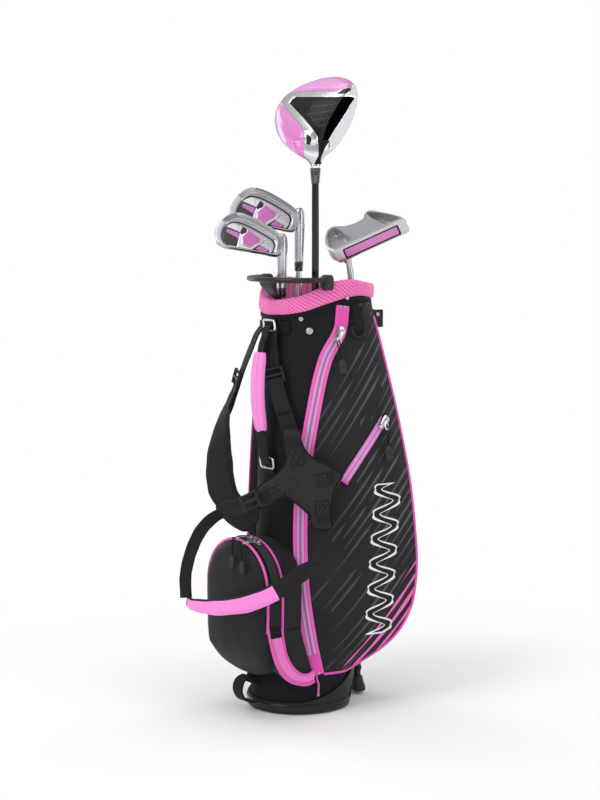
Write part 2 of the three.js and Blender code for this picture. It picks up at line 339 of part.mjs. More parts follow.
function buckle(c, n, up, w, h) {
  const nn = V(...n).normalize(), u = V(...up); u.addScaledVector(nn, -u.dot(nn)).normalize(); const s = V(0, 0, 0).copy(u).cross(nn).normalize(), o = V(...c);
  const P = (hw, hh, cy) => [[-hw, cy - hh], [hw, cy - hh], [hw, cy + hh], [-hw, cy + hh]];
  let b = prism([[-w / 2 + 2, -h / 2], [w / 2 - 2, -h / 2], [w / 2, -h / 2 + 2], [w / 2, h / 2 - 2], [w / 2 - 2, h / 2], [-w / 2 + 2, h / 2], [-w / 2, h / 2 - 2], [-w / 2, -h / 2 + 2]], o, s, u, nn, 4.6);
  for (const k of [-1, 1]) b = b.subtract(prism(P(w / 2 - 3, h * 0.13, k * h * 0.22), V(0, 0, 0).copy(o).addScaledVector(nn, -1), s, u, nn, 8));
  return b;
}
const offN = (p, n, d) => V(...p).addScaledVector(V(...n).normalize(), d).toArray();
const N1 = [0.12, -0.98, -0.05], N2 = [-0.3, -0.93, 0];
const buckleFront = buckle(offN([18, -56.8, 453.7], [0.1, -0.99, 0.02], 4.6), [0.1, -0.99, 0.02], [0.3, 0, -1], 27, 23);
const buckleRear = buckle(offN([-39.4, -72, 446.4], [-0.36, -0.9, 0.2], 2.2), [-0.36, -0.9, 0.2], [-0.3, -0.2, -1], 26, 20);

const BL = [28.6, -108.6, 293];
const buckleLow = buckle(BL, [0.766, -0.643, 0], [-0.3, -0.35, 1], 24, 22);

// towel loop and ring on the apparel panel
const tl = [[73, 548], [74.2, 533], [75.6, 518]].map(([r, z]) => { const [s, t] = panelFind(r, z); const n = panelNormal(s, t); return panelAt(s, t).addScaledVector(n, 1.8); });
const tlST = panelFind(75, 530), tlN = panelNormal(tlST[0], tlST[1]), tlW = UP.clone().cross(tlN).normalize(), tlU = tlN.clone().cross(tlW).normalize();
const tlO = panelAt(tlST[0], tlST[1]).addScaledVector(tlN, 3.6);
let towelLoop = strap([15, 5, -5, -10].map(d => tlO.clone().addScaledVector(tlU, d)), tlW.toArray(), 15, 2.2);
const trO = tlO.clone().addScaledVector(tlU, -10.4 - 6).addScaledVector(tlN, 1.2);
function dRing(w, h, r) { const P = []; for (let i = 0; i <= 8; i++) { const a = Math.PI + Math.PI * i / 8; P.push(V(w / 2 * Math.cos(a), 0, (h - 2) * Math.sin(a) * 0.86)); } P.push(V(w / 2, 0, h * 0.3), V(-w / 2, 0, h * 0.3)); return tube(P.map(p => trO.clone().addScaledVector(tlW, p.x).addScaledVector(tlU, p.z)), r, 6, true); }
const towelRing = dRing(18, 14, 1.7);
towelLoop = largest(towelLoop.subtract(tubeSolid(0.3, 400, 600)));

// ---- legs ----
const legAxis = s => V(0.913, -0.407 * s, 0).normalize();      // hinge line: swings the leg back and outwards
const pinLine = (s, a, b) => [V(s * LEG_X, LEG_TOP_Y, LEG_TOP_Z).addScaledVector(legAxis(s), a * s), V(s * LEG_X, LEG_TOP_Y, LEG_TOP_Z).addScaledVector(legAxis(s), b * s)];
let legBracket = box(0, 100, 522, 68, 9, 26).add(box(31.9, 110, 522, 4, 20, 24)).add(box(-31.9, 110, 522, 4, 20, 24)).add(box(0, 114, 522, 9, 22, 24));
legBracket = legBracket.subtract(tubeSolid(GAP, 480, 560));
for (const s of [-1, 1]) legBracket = legBracket.subtract(tube(pinLine(s, -18.6, 18), 2.35, 12));
const legDir = V(0, -(LEG_TOP_Y - 86.5), -(LEG_TOP_Z - 20)).normalize();
const legAt = (s, d) => V(s * LEG_X, LEG_TOP_Y, LEG_TOP_Z).addScaledVector(legDir, d);
const leg = s => tube([legAt(s, -4.6), legAt(s, 498)], LEG_R, 10).add(tube(pinLine(s, -18.2, 15.2), 2.2, 12));
const legFoot = s => {
  const a = legAt(s, 498.4), b = legAt(s, 515);
  const st = (p, hx, hy, dz, dy = 0) => Array.from({ length: 10 }, (_, k) => { const q = 2 * Math.PI * k / 10; return V(p.x + hx * Math.cos(q), p.y + dy + hy * Math.sin(q), p.z + dz); });
  return loft([st(a, 7.6, 7.6, 0), st(a, 8.6, 8.6, -4), st(b, 10.5, 9.6, 6, 1), st(b, 11.5, 10.5, 0, 2), st(b, 10.5, 9, -5, 3)]);
};
const legWire = tube(spline([[0, 77.8, 32.6], [0, 82.5, 42], [0, 87, 80], [0, 96, 300], [0, 100.5, 455]], 10), 1.6, 6);
apparel = largest(apparel.subtract(box(0, 112, 300, 76, 62, 600)));

// ---- clubs ----
function clubFrame(butt, top, lie, q) {          // shaft line, head axes: T toe, S sole normal, F face
  const A = V(...butt).sub(V(...top)).normalize(), Q = V(...q); Q.addScaledVector(A, -Q.dot(A)).normalize();
  const l = lie * Math.PI / 180;
  const T = A.clone().multiplyScalar(-Math.cos(l)).addScaledVector(Q, Math.sin(l));
  const S = A.clone().multiplyScalar(-Math.sin(l)).addScaledVector(Q, -Math.cos(l));
  return { A, T, S, F: T.clone().cross(S), top: V(...top), butt: V(...butt) };
}
const local = (fr, o, t, h, f) => o.clone().addScaledVector(fr.T, t).addScaledVector(fr.S, -h).addScaledVector(fr.F, f);
function shaftOf(fr, d0, d1, r0, r1, sides = 10) { // distances along A from the head end
  return tube([fr.top.clone().addScaledVector(fr.A, d0), fr.top.clone().addScaledVector(fr.A, d1)], [r0, r1], sides);
}
function gripOf(fr, len, r0, r1, bore) {         // rubber sleeve, open at the head end, capped at the butt
  const L = fr.top.distanceTo(fr.butt), at = d => fr.top.clone().addScaledVector(fr.A, d);
  const g = tube([at(L - len), at(L - len + 3), at(L - len * 0.4), at(L - 4), at(L)], [r0 - 1, r0, lerp(r0, r1, 0.6), r1, r1 - 2.5], 14);
  return g.subtract(tube([at(L - len - 1), at(L - 12)], bore, 10));
}
function taperSleeve(fr, d0, d1, r0, r1, bore, n = 12) {
  const at = d => fr.top.clone().addScaledVector(fr.A, d);
  return tube([at(d0), at(d1)], [r0, r1], n).subtract(tube([at(d0 - 1), at(d1 + 1)], bore, 10));
}
// driver: top = heel point of the head on the shaft axis
const drv = clubFrame([4, 24, 16], [43.4, -10.3, 786], LIE_DRIVER, [-0.2705, 0.9627, 0]);
{
  drv.o = drv.top.clone();
}
const pear = new THREE.CatmullRomCurve3([[-33, -8], [-37, -24], [-32, -44], [-19, -63], [0, -79], [19, -87], [38, -86], [56, -76], [70, -57], [77, -36], [76, -17], [68, -4], [50, 4], [30, 7], [8, 6], [-14, 2]].map(([t, f]) => V((t + 37) * 1.18 - 32.8, (f - 7) * 1.16 + 21.4, 0)), true, 'centripetal').getSpacedPoints(28).slice(0, 28);
const prof = [[0, 0.42], [0.6, 0.66], [3, 0.83], [8, 0.94], [15, 1.0], [22, 0.995], [30, 0.93], [38, 0.80], [44, 0.63], [48.5, 0.40], [50, 0.16]];
let driverHead = loft(prof.map(([h, k]) => pear.map(p => local(drv, drv.o, 29.2 + (p.x - 29.2) * k, h * 1.25 + 0.5, -20.6 + (p.y + 20.6) * (k * 0.94 + 0.06)))));
{
  const nrm = [Math.sin(0.21), Math.cos(0.21)];  // flatten the face, lofted 12 degrees
  const cut = [[0, 0], [60, 0], [60, 60], [0, 60]];
  const fo = local(drv, drv.o, 30, 14, 13.5), up = drv.S.clone().multiplyScalar(-Math.cos(0.21)).addScaledVector(drv.F, -Math.sin(0.21)), out = drv.F.clone().multiplyScalar(Math.cos(0.21)).addScaledVector(drv.S, -Math.sin(0.21));
  driverHead = driverHead.subtract(prism([[-80, -40], [80, -40], [80, 70], [-80, 70]], fo, drv.T, up, out, 40));
  driverHead = driverHead.add(tube([drv.top.clone().addScaledVector(drv.A, 3), drv.top.clone().addScaledVector(drv.A, 34), drv.top.clone().addScaledVector(drv.A, 62)], [9.8, 9.0, 7.6], 14));
}
driverHead = driverHead.subtract(tube([drv.top.clone().addScaledVector(drv.A, 20), drv.top.clone().addScaledVector(drv.A, 80)], 4.95, 10));
const driverShaft = shaftOf(drv, 21, 724, 4.55, 5.6);
const driverFerrule = taperSleeve(drv, 62.4, 82, 7.4, 5.5, 4.99);
const driverGrip = gripOf(drv, 225, 9.2, 12, 6.0);

// irons
function iron(butt, top, lie, q, len, ext) {
  const fr = clubFrame(butt, top, lie, q), loftA = ext.loft * Math.PI / 180;
  const P = [[-3, 13], [2, 4], [12, 1.2], [30, 0], [50, 0.2], [64, 2.6], [74, 9], [79.5, 20], [80.5, 33], [77, 46], [70, 53.5], [62, 54], [48, 48.5], [30, 40.5], [14, 33.5], [4, 30], [-4, 25]];
  const o = fr.top.clone();
  const up = fr.S.clone().multiplyScalar(-Math.cos(loftA)).addScaledVector(fr.F, -Math.sin(loftA)), out = fr.F.clone().multiplyScalar(Math.cos(loftA)).addScaledVector(fr.S, -Math.sin(loftA));
  const oo = local(fr, o, 0, 0, 5);
  const thick = h => 5.5 + 11 * Math.max(0, 1 - h / 22) ** 1.3;
  const lay = k => P.map(([t, h]) => [t * 1.07, h * 1.07]).map(([t, h]) => oo.clone().addScaledVector(fr.T, t).addScaledVector(up, h).addScaledVector(out, -k * thick(h)));
  const inset = (k, d) => P.map(([t, h]) => { const ct = 42, chh = 25; return oo.clone().addScaledVector(fr.T, ct + (t - ct) * k).addScaledVector(up, chh + 2.5 + (h - chh) * k).addScaledVector(out, d); });
  let head = loft([lay(0), lay(1)]);
  // top line softened, hosel added, cavity cut from the rear
  head = head.add(tube([fr.top.clone().addScaledVector(fr.A, -9), fr.top.clone().addScaledVector(fr.A, 22), fr.top.clone().addScaledVector(fr.A, 62)], [6.8, 7.0, 6.4], 14));
  const cav = loft([inset(0.76, -2.8), inset(0.80, -30)]);
  const keep = tube([fr.top.clone().addScaledVector(fr.A, -12), fr.top.clone().addScaledVector(fr.A, 60)], 8.2, 12);
  head = head.subtract(cav.subtract(keep));
  head = head.subtract(tube([fr.top.clone().addScaledVector(fr.A, 12), fr.top.clone().addScaledVector(fr.A, 100)], 4.95, 10));
  const badge = loft([inset(0.66, -3.1), inset(0.64, -4.7)]).subtract(tube([fr.top.clone().addScaledVector(fr.A, -14), fr.top.clone().addScaledVector(fr.A, 60)], 8.6, 12));
  return { fr, head: largest(head), badge: largest(badge), ferrule: taperSleeve(fr, 62.4, 74, 6.4, 5.6, 4.99), shaft: shaftOf(fr, 13, len, 4.5, 5.4), grip: gripOf(fr, 215, 8.8, 11.5, 5.8) };
}
const I7 = iron([-27, 12, 16], [-11.0, 8.0, 662], LIE_7, [-0.70, -0.714, 0], 580, { loft: 32 });
const I9 = iron([-7.5, -26.7, 16], [-5.5, -26.5, 628], LIE_9, [-0.60, -0.80, 0], 552, { loft: 40 });

// putter: bent shaft, mallet head with two sole recesses and a face insert
const put = clubFrame([24, 44, 560], [35.5, 53.5, 608], LIE_PUTTER, [0.60, 0.80, 0]);
{
  // head axes set square to the bag's front rather than to the bent lower shaft
  const C = CN.clone(), R = CR.clone();
  put.S = UP.clone().multiplyScalar(0.85).addScaledVector(R, -0.385).addScaledVector(C, 0.36).normalize();
  put.T = R.clone().multiplyScalar(0.91).addScaledVector(UP, 0.414); put.T.addScaledVector(put.S, -put.T.dot(put.S)).normalize();
  put.F = put.T.clone().cross(put.S);
}
const pO = V(35.5, 53.5, 612);                   // heel-side shaft entry on the crown
const mal = [[-16, 14], [-22, -4], [-21, -33], [-13, -60], [-6, -66], [2, -60], [9, -51], [18, -46], [30, -44], [40, -48], [44, -60], [50, -65], [62, -48], [76, -20], [85, 2], [88, 14]];
const malR = (k, h) => mal.map(([t, f]) => local(put, pO, 33 + (t - 33) * k, h, -22 + (f + 22) * k));
let putterHead = loft([malR(0.975, -17.5), malR(1, -16), malR(1, -2), malR(0.975, 2), malR(0.93, 4)]);
const recess = pts => prism(pts, local(put, pO, 0, -5, 0), put.T, put.F, put.S, 20);
putterHead = putterHead.subtract(recess([[-4, -60], [-11, -54], [-17, -31], [-18, -6], [-12, 7], [13, 5], [6, -26]])).subtract(recess([[47, -60], [60, -44], [73, -19], [82, 5], [76, 7], [58, 0], [52, -28]]));
const insertBox = (g) => prism([[-5 + g, -14 + g], [76 - g, -14 + g], [76 - g, 1.6 - g], [-5 + g, 1.6 - g]], local(put, pO, 0, 0, 9.4 + g), put.T, put.S.clone().negate(), put.F, 10 - g - (g ? 5.6 : 0));
putterHead = putterHead.subtract(insertBox(0));
const putterInsert = insertBox(0.35);
putterHead = putterHead.add(tube([V(35.1, 53.3, 615), V(35.5, 53.6, 604), V(36.2, 54.6, 600)], [6.4, 6.4, 6.0], 12)).subtract(tube([V(34.6, 53.0, 612), V(37, 55.6, 594)], 4.9, 10));
const putterPath = spline([[35.0, 53.4, 611.6], [36.5, 55, 596], [38.6, 57.4, 578], [39, 58, 562], [37.6, 57, 545], [27.2, 47.5, 120], [26.5, 46.8, 90]], 18);
const putPts = [V(35.2, 53.6, 609.5), V(36.6, 55.1, 598), V(38.3, 57.0, 582), V(39.0, 57.9, 570), V(39.1, 58.1, 558), V(38.8, 57.8, 546), V(27, 47, 70)];
const putterShaft = tube(putPts, [4.5, 4.5, 4.5, 4.5, 4.5, 4.6, 5.2], 10);
const putAxis = V(27, 47, 70).sub(V(38.8, 57.8, 546)).normalize();
const putFr = { A: putAxis, top: V(38.8, 57.8, 546), butt: V(38.8, 57.8, 546).addScaledVector(putAxis, 499) };
const putterGrip = gripOf(putFr, 245, 10, 12.5, 5.7);

// ---- output ----
const group = new THREE.Group();
group.name = 'golf_club_set';
function put_(name, m, color, roughness, metalness) {
  const mesh = m.getMesh(), g = new THREE.BufferGeometry(), np = mesh.numProp, n = mesh.vertProperties.length / np;
  const pos = new Float32Array(n * 3);
  for (let i = 0; i < n; i++) for (let k = 0; k < 3; k++) pos[3 * i + k] = mesh.vertProperties[np * i + k];
  g.setAttribute('position', new THREE.BufferAttribute(pos, 3));
  g.setIndex(new THREE.BufferAttribute(new Uint32Array(mesh.triVerts), 1));
  const gm = mergeVertices(g, 1e-5);
  gm.computeVertexNormals();
  const o = new THREE.Mesh(gm, new THREE.MeshStandardMaterial({ color, roughness, metalness, flatShading: true }));
  o.name = name;
  group.add(o);
}
const FAB = 0x17171a, BLK = 0x121214, PINK = 0xee5fa9, PAD_P = 0xf58edb, MET = 0xc8cacd, ZIPP = 0xe987c9;
put_('base_cup', boot, BLK, 0.45, 0);
put_('base_flap', baseFlap, BLK, 0.5, 0);
put_('bag_shell', bagShell, FAB, 0.9, 0);
put_('collar_frame', collarFrame, BLK, 0.5, 0);
put_('collar_pad', largest(collarPad), PINK, 0.9, 0);
put_('carry_ring', carryRing, BLK, 0.4, 0);
put_('apparel_pocket', apparel, FAB, 0.9, 0);
put_('side_pocket', sidePocket, FAB, 0.9, 0);
put_('ball_pocket', ballPocket, FAB, 0.9, 0);
put_('long_zip', longZip, ZIPP, 0.7, 0);
put_('diagonal_zip', diagZip, ZIPP, 0.7, 0);
put_('ball_zip', ballZip, 0x222226, 0.7, 0);
put_('long_slider', longSlider, MET, 0.25, 1);
put_('long_puller', longPull, BLK, 0.6, 0);
put_('diagonal_slider', diagSlider, MET, 0.25, 1);
put_('diagonal_puller', diagPull, BLK, 0.6, 0);
put_('ball_pull_a', ballSl[0].add(ballPulls[0]).add(pullArm[0]), BLK, 0.6, 0);
put_('ball_pull_b', ballSl[1].add(ballPulls[1]).add(pullArm[1]), BLK, 0.6, 0);
put_('handle_pad', handlePad, PAD_P, 0.8, 0);
put_('handle_web_top', webTop, FAB, 0.9, 0);
put_('handle_web_low', webLow, FAB, 0.9, 0);
put_('handle_ring_top', ringTop, MET, 0.3, 1);
put_('handle_ring_low', ringLow, MET, 0.3, 1);
put_('bottom_handle', bottomHandle, FAB, 0.9, 0);
put_('strap_anchor', anchorBlock, FAB, 0.8, 0);
put_('web_front', webFront, FAB, 0.9, 0);
put_('web_rear', webRear, FAB, 0.9, 0);
put_('web_low', webLow2, FAB, 0.9, 0);
put_('strap_hub', hub, FAB, 0.9, 0);
put_('shoulder_pad_upper', padUp, FAB, 0.9, 0);
put_('shoulder_pad_lower', padLow, FAB, 0.9, 0);
put_('buckle_front', buckleFront, BLK, 0.4, 0);
put_('buckle_rear', buckleRear, BLK, 0.4, 0);
put_('buckle_low', buckleLow, BLK, 0.4, 0);
put_('towel_loop', towelLoop, FAB, 0.9, 0);
put_('towel_ring', towelRing, BLK, 0.4, 0);
put_('leg_bracket', legBracket, BLK, 0.45, 0);
put_('leg_left', leg(-1), 0x2a2a2d, 0.35, 0.8);
put_('leg_right', leg(1), 0x2a2a2d, 0.35, 0.8);
put_('leg_foot_left', legFoot(-1), BLK, 0.8, 0);
put_('leg_foot_right', legFoot(1), BLK, 0.8, 0);
put_('leg_wire', legWire, MET, 0.3, 1);
put_('driver_head', driverHead, 0xd98fd0, 0.3, 0.2);
put_('driver_ferrule', driverFerrule, BLK, 0.3, 0);
put_('driver_shaft', driverShaft, 0x1a1a1c, 0.3, 0.3);
put_('driver_grip', driverGrip, BLK, 0.85, 0);
for (const [k, c] of [['iron7', I7], ['iron9', I9]]) {
  put_(k + '_head', c.head, MET, 0.25, 1);
  put_(k + '_badge', c.badge, 0xb870ad, 0.3, 0.7);
  put_(k + '_ferrule', c.ferrule, BLK, 0.3, 0);
  put_(k + '_shaft', c.shaft, MET, 0.3, 0.9);
  put_(k + '_grip', c.grip, BLK, 0.85, 0);
}
put_('putter_head', largest(putterHead), MET, 0.3, 0.9);
put_('putter_insert', putterInsert, 0xe27bc4, 0.5, 0);
put_('putter_shaft', putterShaft, 0xb0b2b5, 0.3, 0.9);
put_('putter_grip', putterGrip, BLK, 0.85, 0);
export default group;
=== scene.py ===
import bpy, bmesh, math
import numpy as np
from math import sin, cos, pi, atan2, sqrt, radians
from mathutils import Vector, Matrix, noise as mnoise


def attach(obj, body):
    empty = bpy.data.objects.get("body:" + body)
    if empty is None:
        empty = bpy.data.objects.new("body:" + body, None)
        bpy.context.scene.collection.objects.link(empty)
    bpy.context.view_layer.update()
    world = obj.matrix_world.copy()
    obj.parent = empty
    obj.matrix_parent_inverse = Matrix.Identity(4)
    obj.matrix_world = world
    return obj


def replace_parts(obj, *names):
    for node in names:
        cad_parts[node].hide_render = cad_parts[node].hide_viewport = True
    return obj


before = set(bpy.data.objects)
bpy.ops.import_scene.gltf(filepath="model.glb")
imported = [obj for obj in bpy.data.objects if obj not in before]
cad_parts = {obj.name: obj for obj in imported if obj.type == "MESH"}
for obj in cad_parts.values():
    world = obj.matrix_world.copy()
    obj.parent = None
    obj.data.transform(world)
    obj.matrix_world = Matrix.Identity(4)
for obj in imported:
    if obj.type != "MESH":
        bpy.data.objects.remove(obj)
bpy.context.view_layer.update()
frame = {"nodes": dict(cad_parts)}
NODES = frame["nodes"]
MM = 0.001
COLL = bpy.context.scene.collection

# ------------------------------------------------------------------ small maths (millimetres)
def A(*p): return np.array(p, float)
def unit(p):
    p = np.asarray(p, float); return p / (np.linalg.norm(p) + 1e-12)
def lerp(a, b, t): return a + (b - a) * t
def sst(e0, e1, x):
    t = min(1.0, max(0.0, (x - e0) / (e1 - e0))); return t * t * (3 - 2 * t)
def nz(x, y, z, s=1.0): return mnoise.noise(Vector((x * s, y * s, z * s)))

class Crv:
    """centripetal Catmull-Rom through points"""
    def __init__(s, pts, closed=False):
        s.p = np.array(pts, float); s.c = closed
    def at(s, t):
        P = s.p; l = len(P); q = (l if s.c else l - 1) * t; i = int(math.floor(q)); w = q - i
        if not s.c and i >= l - 1: i, w = l - 2, 1.0
        if not s.c and i < 0: i, w = 0, 0.0
        p1, p2 = P[i % l], P[(i + 1) % l]
        p0 = P[(i - 1) % l] if s.c or i > 0 else 2 * P[0] - P[1]
        p3 = P[(i + 2) % l] if s.c or i + 2 < l else 2 * P[l - 1] - P[l - 2]
        d = [max(1e-4, float(((b - a) ** 2).sum()) ** .25) for a, b in ((p0, p1), (p1, p2), (p2, p3))]
        t1 = ((p1 - p0) / d[0] - (p2 - p0) / (d[0] + d[1]) + (p2 - p1) / d[1]) * d[1]
        t2 = ((p2 - p1) / d[1] - (p3 - p1) / (d[1] + d[2]) + (p3 - p2) / d[2]) * d[1]
        return p1 + t1 * w + (-3 * p1 + 3 * p2 - 2 * t1 - t2) * w * w + (2 * p1 - 2 * p2 + t1 + t2) * w ** 3
    def spaced(s, n):
        """n+1 points evenly along (n points when closed)"""
        K = 24 * len(s.p); Q = np.array([s.at(i / K) for i in range(K + 1)])
        L = np.concatenate([[0], np.cumsum(np.linalg.norm(np.diff(Q, axis=0), axis=1))])
        x = np.linspace(0, L[-1], n + 1)
        R = np.stack([np.interp(x, L, Q[:, k]) for k in range(Q.shape[1])], 1)
        return R[:-1] if s.c else R

def tangents(P, closed=False):
    P = np.asarray(P, float); n = len(P); T = np.zeros_like(P)
    for i in range(n):
        a = P[(i - 1) % n] if closed else P[max(i - 1, 0)]
        b = P[(i + 1) % n] if closed else P[min(i + 1, n - 1)]
        T[i] = unit(b - a)
    return T

# ------------------------------------------------------------------ mesh builders
def add_mesh(name, V, F, mats, body="bag", idx=None, uvs=None, smooth=True, sharp=38, matrix=None, fix=True, attrs=None):
    me = bpy.data.meshes.new(name)
    V = np.asarray(V, float) * MM
    me.from_pydata([tuple(v) for v in V], [], [tuple(int(i) for i in f) for f in F])
    if not isinstance(mats, (list, tuple)): mats = [mats]
    for m in mats: me.materials.append(m)
    if idx is not None: me.polygons.foreach_set("material_index", [int(i) for i in idx])
    if uvs is not None:
        lay = me.uv_layers.new(name="UVMap")
        flat = np.array([c for f in uvs for p in f for c in p], np.float32)
        lay.data.foreach_set("uv", flat)
    for k, vals in (attrs or {}).items():
        at = me.attributes.new(k, "FLOAT", "POINT"); at.data.foreach_set("value", np.asarray(vals, np.float32))
    if fix:
        bm = bmesh.new(); bm.from_mesh(me); bmesh.ops.recalc_face_normals(bm, faces=bm.faces); bm.to_mesh(me); bm.free()
    me.polygons.foreach_set("use_smooth", [bool(smooth)] * len(me.polygons))
    if smooth and sharp: me.set_sharp_from_angle(angle=radians(sharp))
    me.update()
    ob = bpy.data.objects.new(name, me); COLL.objects.link(ob)
    if matrix is not None: ob.matrix_world = matrix
    if body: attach(ob, body)
    return ob

def skin(name, rings, mats, body="bag", wrap=True, loop=False, caps=("fan", "fan"), uv=None, pick=None, smooth=True, sharp=38, matrix=None, attrs=None, sub=0):
    """surface over a grid of points. rings[m][n]; wrap closes each ring, loop joins last ring to first"""
    R = np.array(rings, float); m, n = R.shape[:2]
    V = list(R.reshape(-1, 3)); F = []; U = []; I = []
    if uv is None:
        nxt = np.roll(R, -1, axis=1)
        du = np.linalg.norm(nxt - R, axis=2).mean(0); us = np.concatenate([[0], np.cumsum(du)]) * MM
        dv = np.linalg.norm(np.roll(R, -1, axis=0) - R, axis=2).mean(1); vs = np.concatenate([[0], np.cumsum(dv)]) * MM
        uvf = lambda i, k: (us[k], vs[i])
    else: uvf = uv
    for i in range(m if loop else m - 1):
        j = (i + 1) % m
        for k in range(n if wrap else n - 1):
            k2 = (k + 1) % n
            F.append((i * n + k, i * n + k2, j * n + k2, j * n + k))
            U.append((uvf(i, k), uvf(i, k + 1), uvf(i + 1, k + 1), uvf(i + 1, k)))
            I.append(pick(i, k) if pick else 0)
    extra = []
    if not loop and wrap:
        for e, base, i in ((0, 0, 0), (1, (m - 1) * n, m - 1)):
            if caps[e] == "fan":
                c = len(V); V.append(R[i].mean(0)); extra.append(i)
                for k in range(n):
                    k2 = (k + 1) % n
                    F.append((base + k, base + k2, c)); u = uvf(i, k); w = uvf(i, k + 1)
                    U.append((u, w, ((u[0] + w[0]) / 2, u[1]))); I.append(pick(min(i, m - 2), k) if pick else 0)
            elif caps[e] == "flat":
                F.append(tuple(range(base, base + n))); U.append(tuple(uvf(i, k) for k in range(n))); I.append(pick(min(i, m - 2), 0) if pick else 0)
    at = None
    if attrs:
        at = {}
        for k, vals in attrs.items():
            a = np.asarray(vals, float).reshape(m, n); at[k] = list(a.reshape(-1)) + [float(a[i].mean()) for i in extra]
    ob = add_mesh(name, V, F, mats, body, I if pick else None, U, smooth, sharp, matrix, attrs=at)
    if sub:
        md = ob.modifiers.new("sub", "SUBSURF"); md.levels = sub; md.render_levels = sub
    return ob

def oval(hw, ht, n=24, ew=.6, et=.8):
    out = []
    for k in range(n):
        q = 2 * pi * k / n; c, s = cos(q), sin(q)
        out.append((hw * math.copysign(abs(c) ** ew, c), ht * math.copysign(abs(s) ** et, s)))
    return out
def rrect(hw, ht, r=None, nx=6, na=3):
    """rounded rectangle, counter-clockwise, starting at the middle of the +w side"""
    r = min(r if r is not None else ht * .8, hw * .98, ht * .98); P = []
    for sx, sy, a0 in ((1, 1, 0), (-1, 1, 90), (-1, -1, 180), (1, -1, 270)):
        for a in range(na + 1):
            q = radians(a0 + 90 * a / na); P.append((sx * (hw - r) + r * cos(q), sy * (ht - r) + r * sin(q)))
        if a0 in (0, 180):
            x0 = sx * (hw - r)
            for i in range(1, nx): P.append((x0 * (1 - 2 * i / nx), sy * ht))
    return P
def sweep(name, P, W, sec, mats, body="bag", closed=False, caps=("fan", "fan"), pick=None, sub=0, sharp=38, smooth=True, matrix=None, nrm=None):
    """sec(t) -> list of (a along width, b along normal); W(t, p) or vector is the width direction"""
    P = np.asarray(P, float); T = tangents(P, closed); m = len(P)
    L = np.concatenate([[0], np.cumsum(np.linalg.norm(np.diff(P, axis=0), axis=1))])
    if closed: L = np.append(L, L[-1] + np.linalg.norm(P[0] - P[-1]))
    rings = []; secs = []
    for i in range(m):
        t = i / (m if closed else m - 1)
        w = A(*(W(t, P[i]) if callable(W) else W)); w = unit(w - T[i] * (w @ T[i])); nn = np.cross(T[i], w)
        s = sec(t) if callable(sec) else sec
        secs.append(s); rings.append([P[i] + w * a + nn * b for a, b in s])
    n = len(secs[0])
    uvf = lambda i, k: (secs[min(i, m - 1) if not closed else i % m][k % n][0] * MM, L[min(i, len(L) - 1)] * MM)
    return skin(name, rings, mats, body, True, closed, caps, uvf, pick, smooth, sharp, matrix, sub=sub)
def pipe(name, P, r, mat, body="bag", sides=10, closed=False, caps=("fan", "fan"), matrix=None, sharp=38):
    P = np.asarray(P, float); n = len(P); T = tangents(P, closed); rings = []
    ref = A(0, 0, 1) if abs(T[0][2]) < .9 else A(1, 0, 0)
    for i in range(n):
        ref = unit(ref - T[i] * (ref @ T[i])); s = np.cross(T[i], ref)
        rr = r(i / (n - 1)) if callable(r) else (r[i] if isinstance(r, (list, tuple, np.ndarray)) else r)
        rings.append([P[i] + ref * rr * cos(2 * pi * k / sides) + s * rr * sin(2 * pi * k / sides) for k in range(sides)])
    if closed:                                        # untwist so the last ring meets the first
        best = min(range(sides), key=lambda o: sum(np.linalg.norm(np.array(rings[-1][(k + o) % sides]) - rings[0][k]) for k in range(sides)))
        if best:
            for i in range(n):
                f = best * i / (n - 1) * 2 * pi / sides; a = rings[i]; c = P[i]; t = T[i]
                rings[i] = [c + (p - c) * cos(f) + np.cross(t, p - c) * sin(f) for p in a]
    return skin(name, rings, mat, body, True, closed, caps, matrix=matrix, sharp=sharp)
def joinup(name, objs, body=None):
    """several meshes become one piece"""
    for o in bpy.context.selected_objects: o.select_set(False)
    for o in objs: o.select_set(True)
    bpy.context.view_layer.objects.active = objs[0]
    bpy.ops.object.join(); o = bpy.context.view_layer.objects.active; o.name = name; o.data.name = name
    o.select_set(False)
    return o
def rbox(name, c, size, mat, body="bag", rx=0, rz=0, bev=2.0, seg=4, M=None):
    bm = bmesh.new(); bmesh.ops.create_cube(bm, size=1.0)
    for v in bm.verts: v.co = Vector((v.co.x * size[0], v.co.y * size[1], v.co.z * size[2]))
    bmesh.ops.bevel(bm, geom=bm.edges[:], offset=bev, segments=seg, profile=.5, affect="EDGES")
    mt = (Matrix.Translation(Vector(c)) @ Matrix.Rotation(radians(rz), 4, "Z") @ Matrix.Rotation(radians(rx), 4, "X")) if M is None else M
    V = [mt @ v.co for v in bm.verts]; F = [[v.index for v in f.verts] for f in bm.faces]; bm.free()
    return add_mesh(name, V, F, mat, body)
def frameM(o, x, y, z):
    """4x4 with columns x, y, z (unit) and origin o in mm, to metres"""
    m = Matrix.Identity(4)
    for i in range(3):
        m[i][0], m[i][1], m[i][2], m[i][3] = x[i], y[i], z[i], o[i] * MM
    return m
def rail(name, pts, h0, h1, o, u, w, n, mat, body="bag", bev=.6, holes=()):
    """flat plate: outline pts in (u, w) from height h0 to h1 along n, rounded edge"""
    P = np.array(pts, float); c = P.mean(0)
    rings = []
    for k, h in ((0, h0), (1, h0 + bev * .3), (2, h0 + bev), (3, h1 - bev), (4, h1 - bev * .3), (5, h1)):
        d = (bev if k in (0, 5) else bev * .3 if k in (1, 4) else 0); q = P + (c - P) / np.maximum(np.linalg.norm(P - c, axis=1, keepdims=True), 1e-6) * d
        rings.append([A(*o) + A(*u) * a + A(*w) * b + A(*n) * h for a, b in q])
    return skin(name, rings, mat, body)

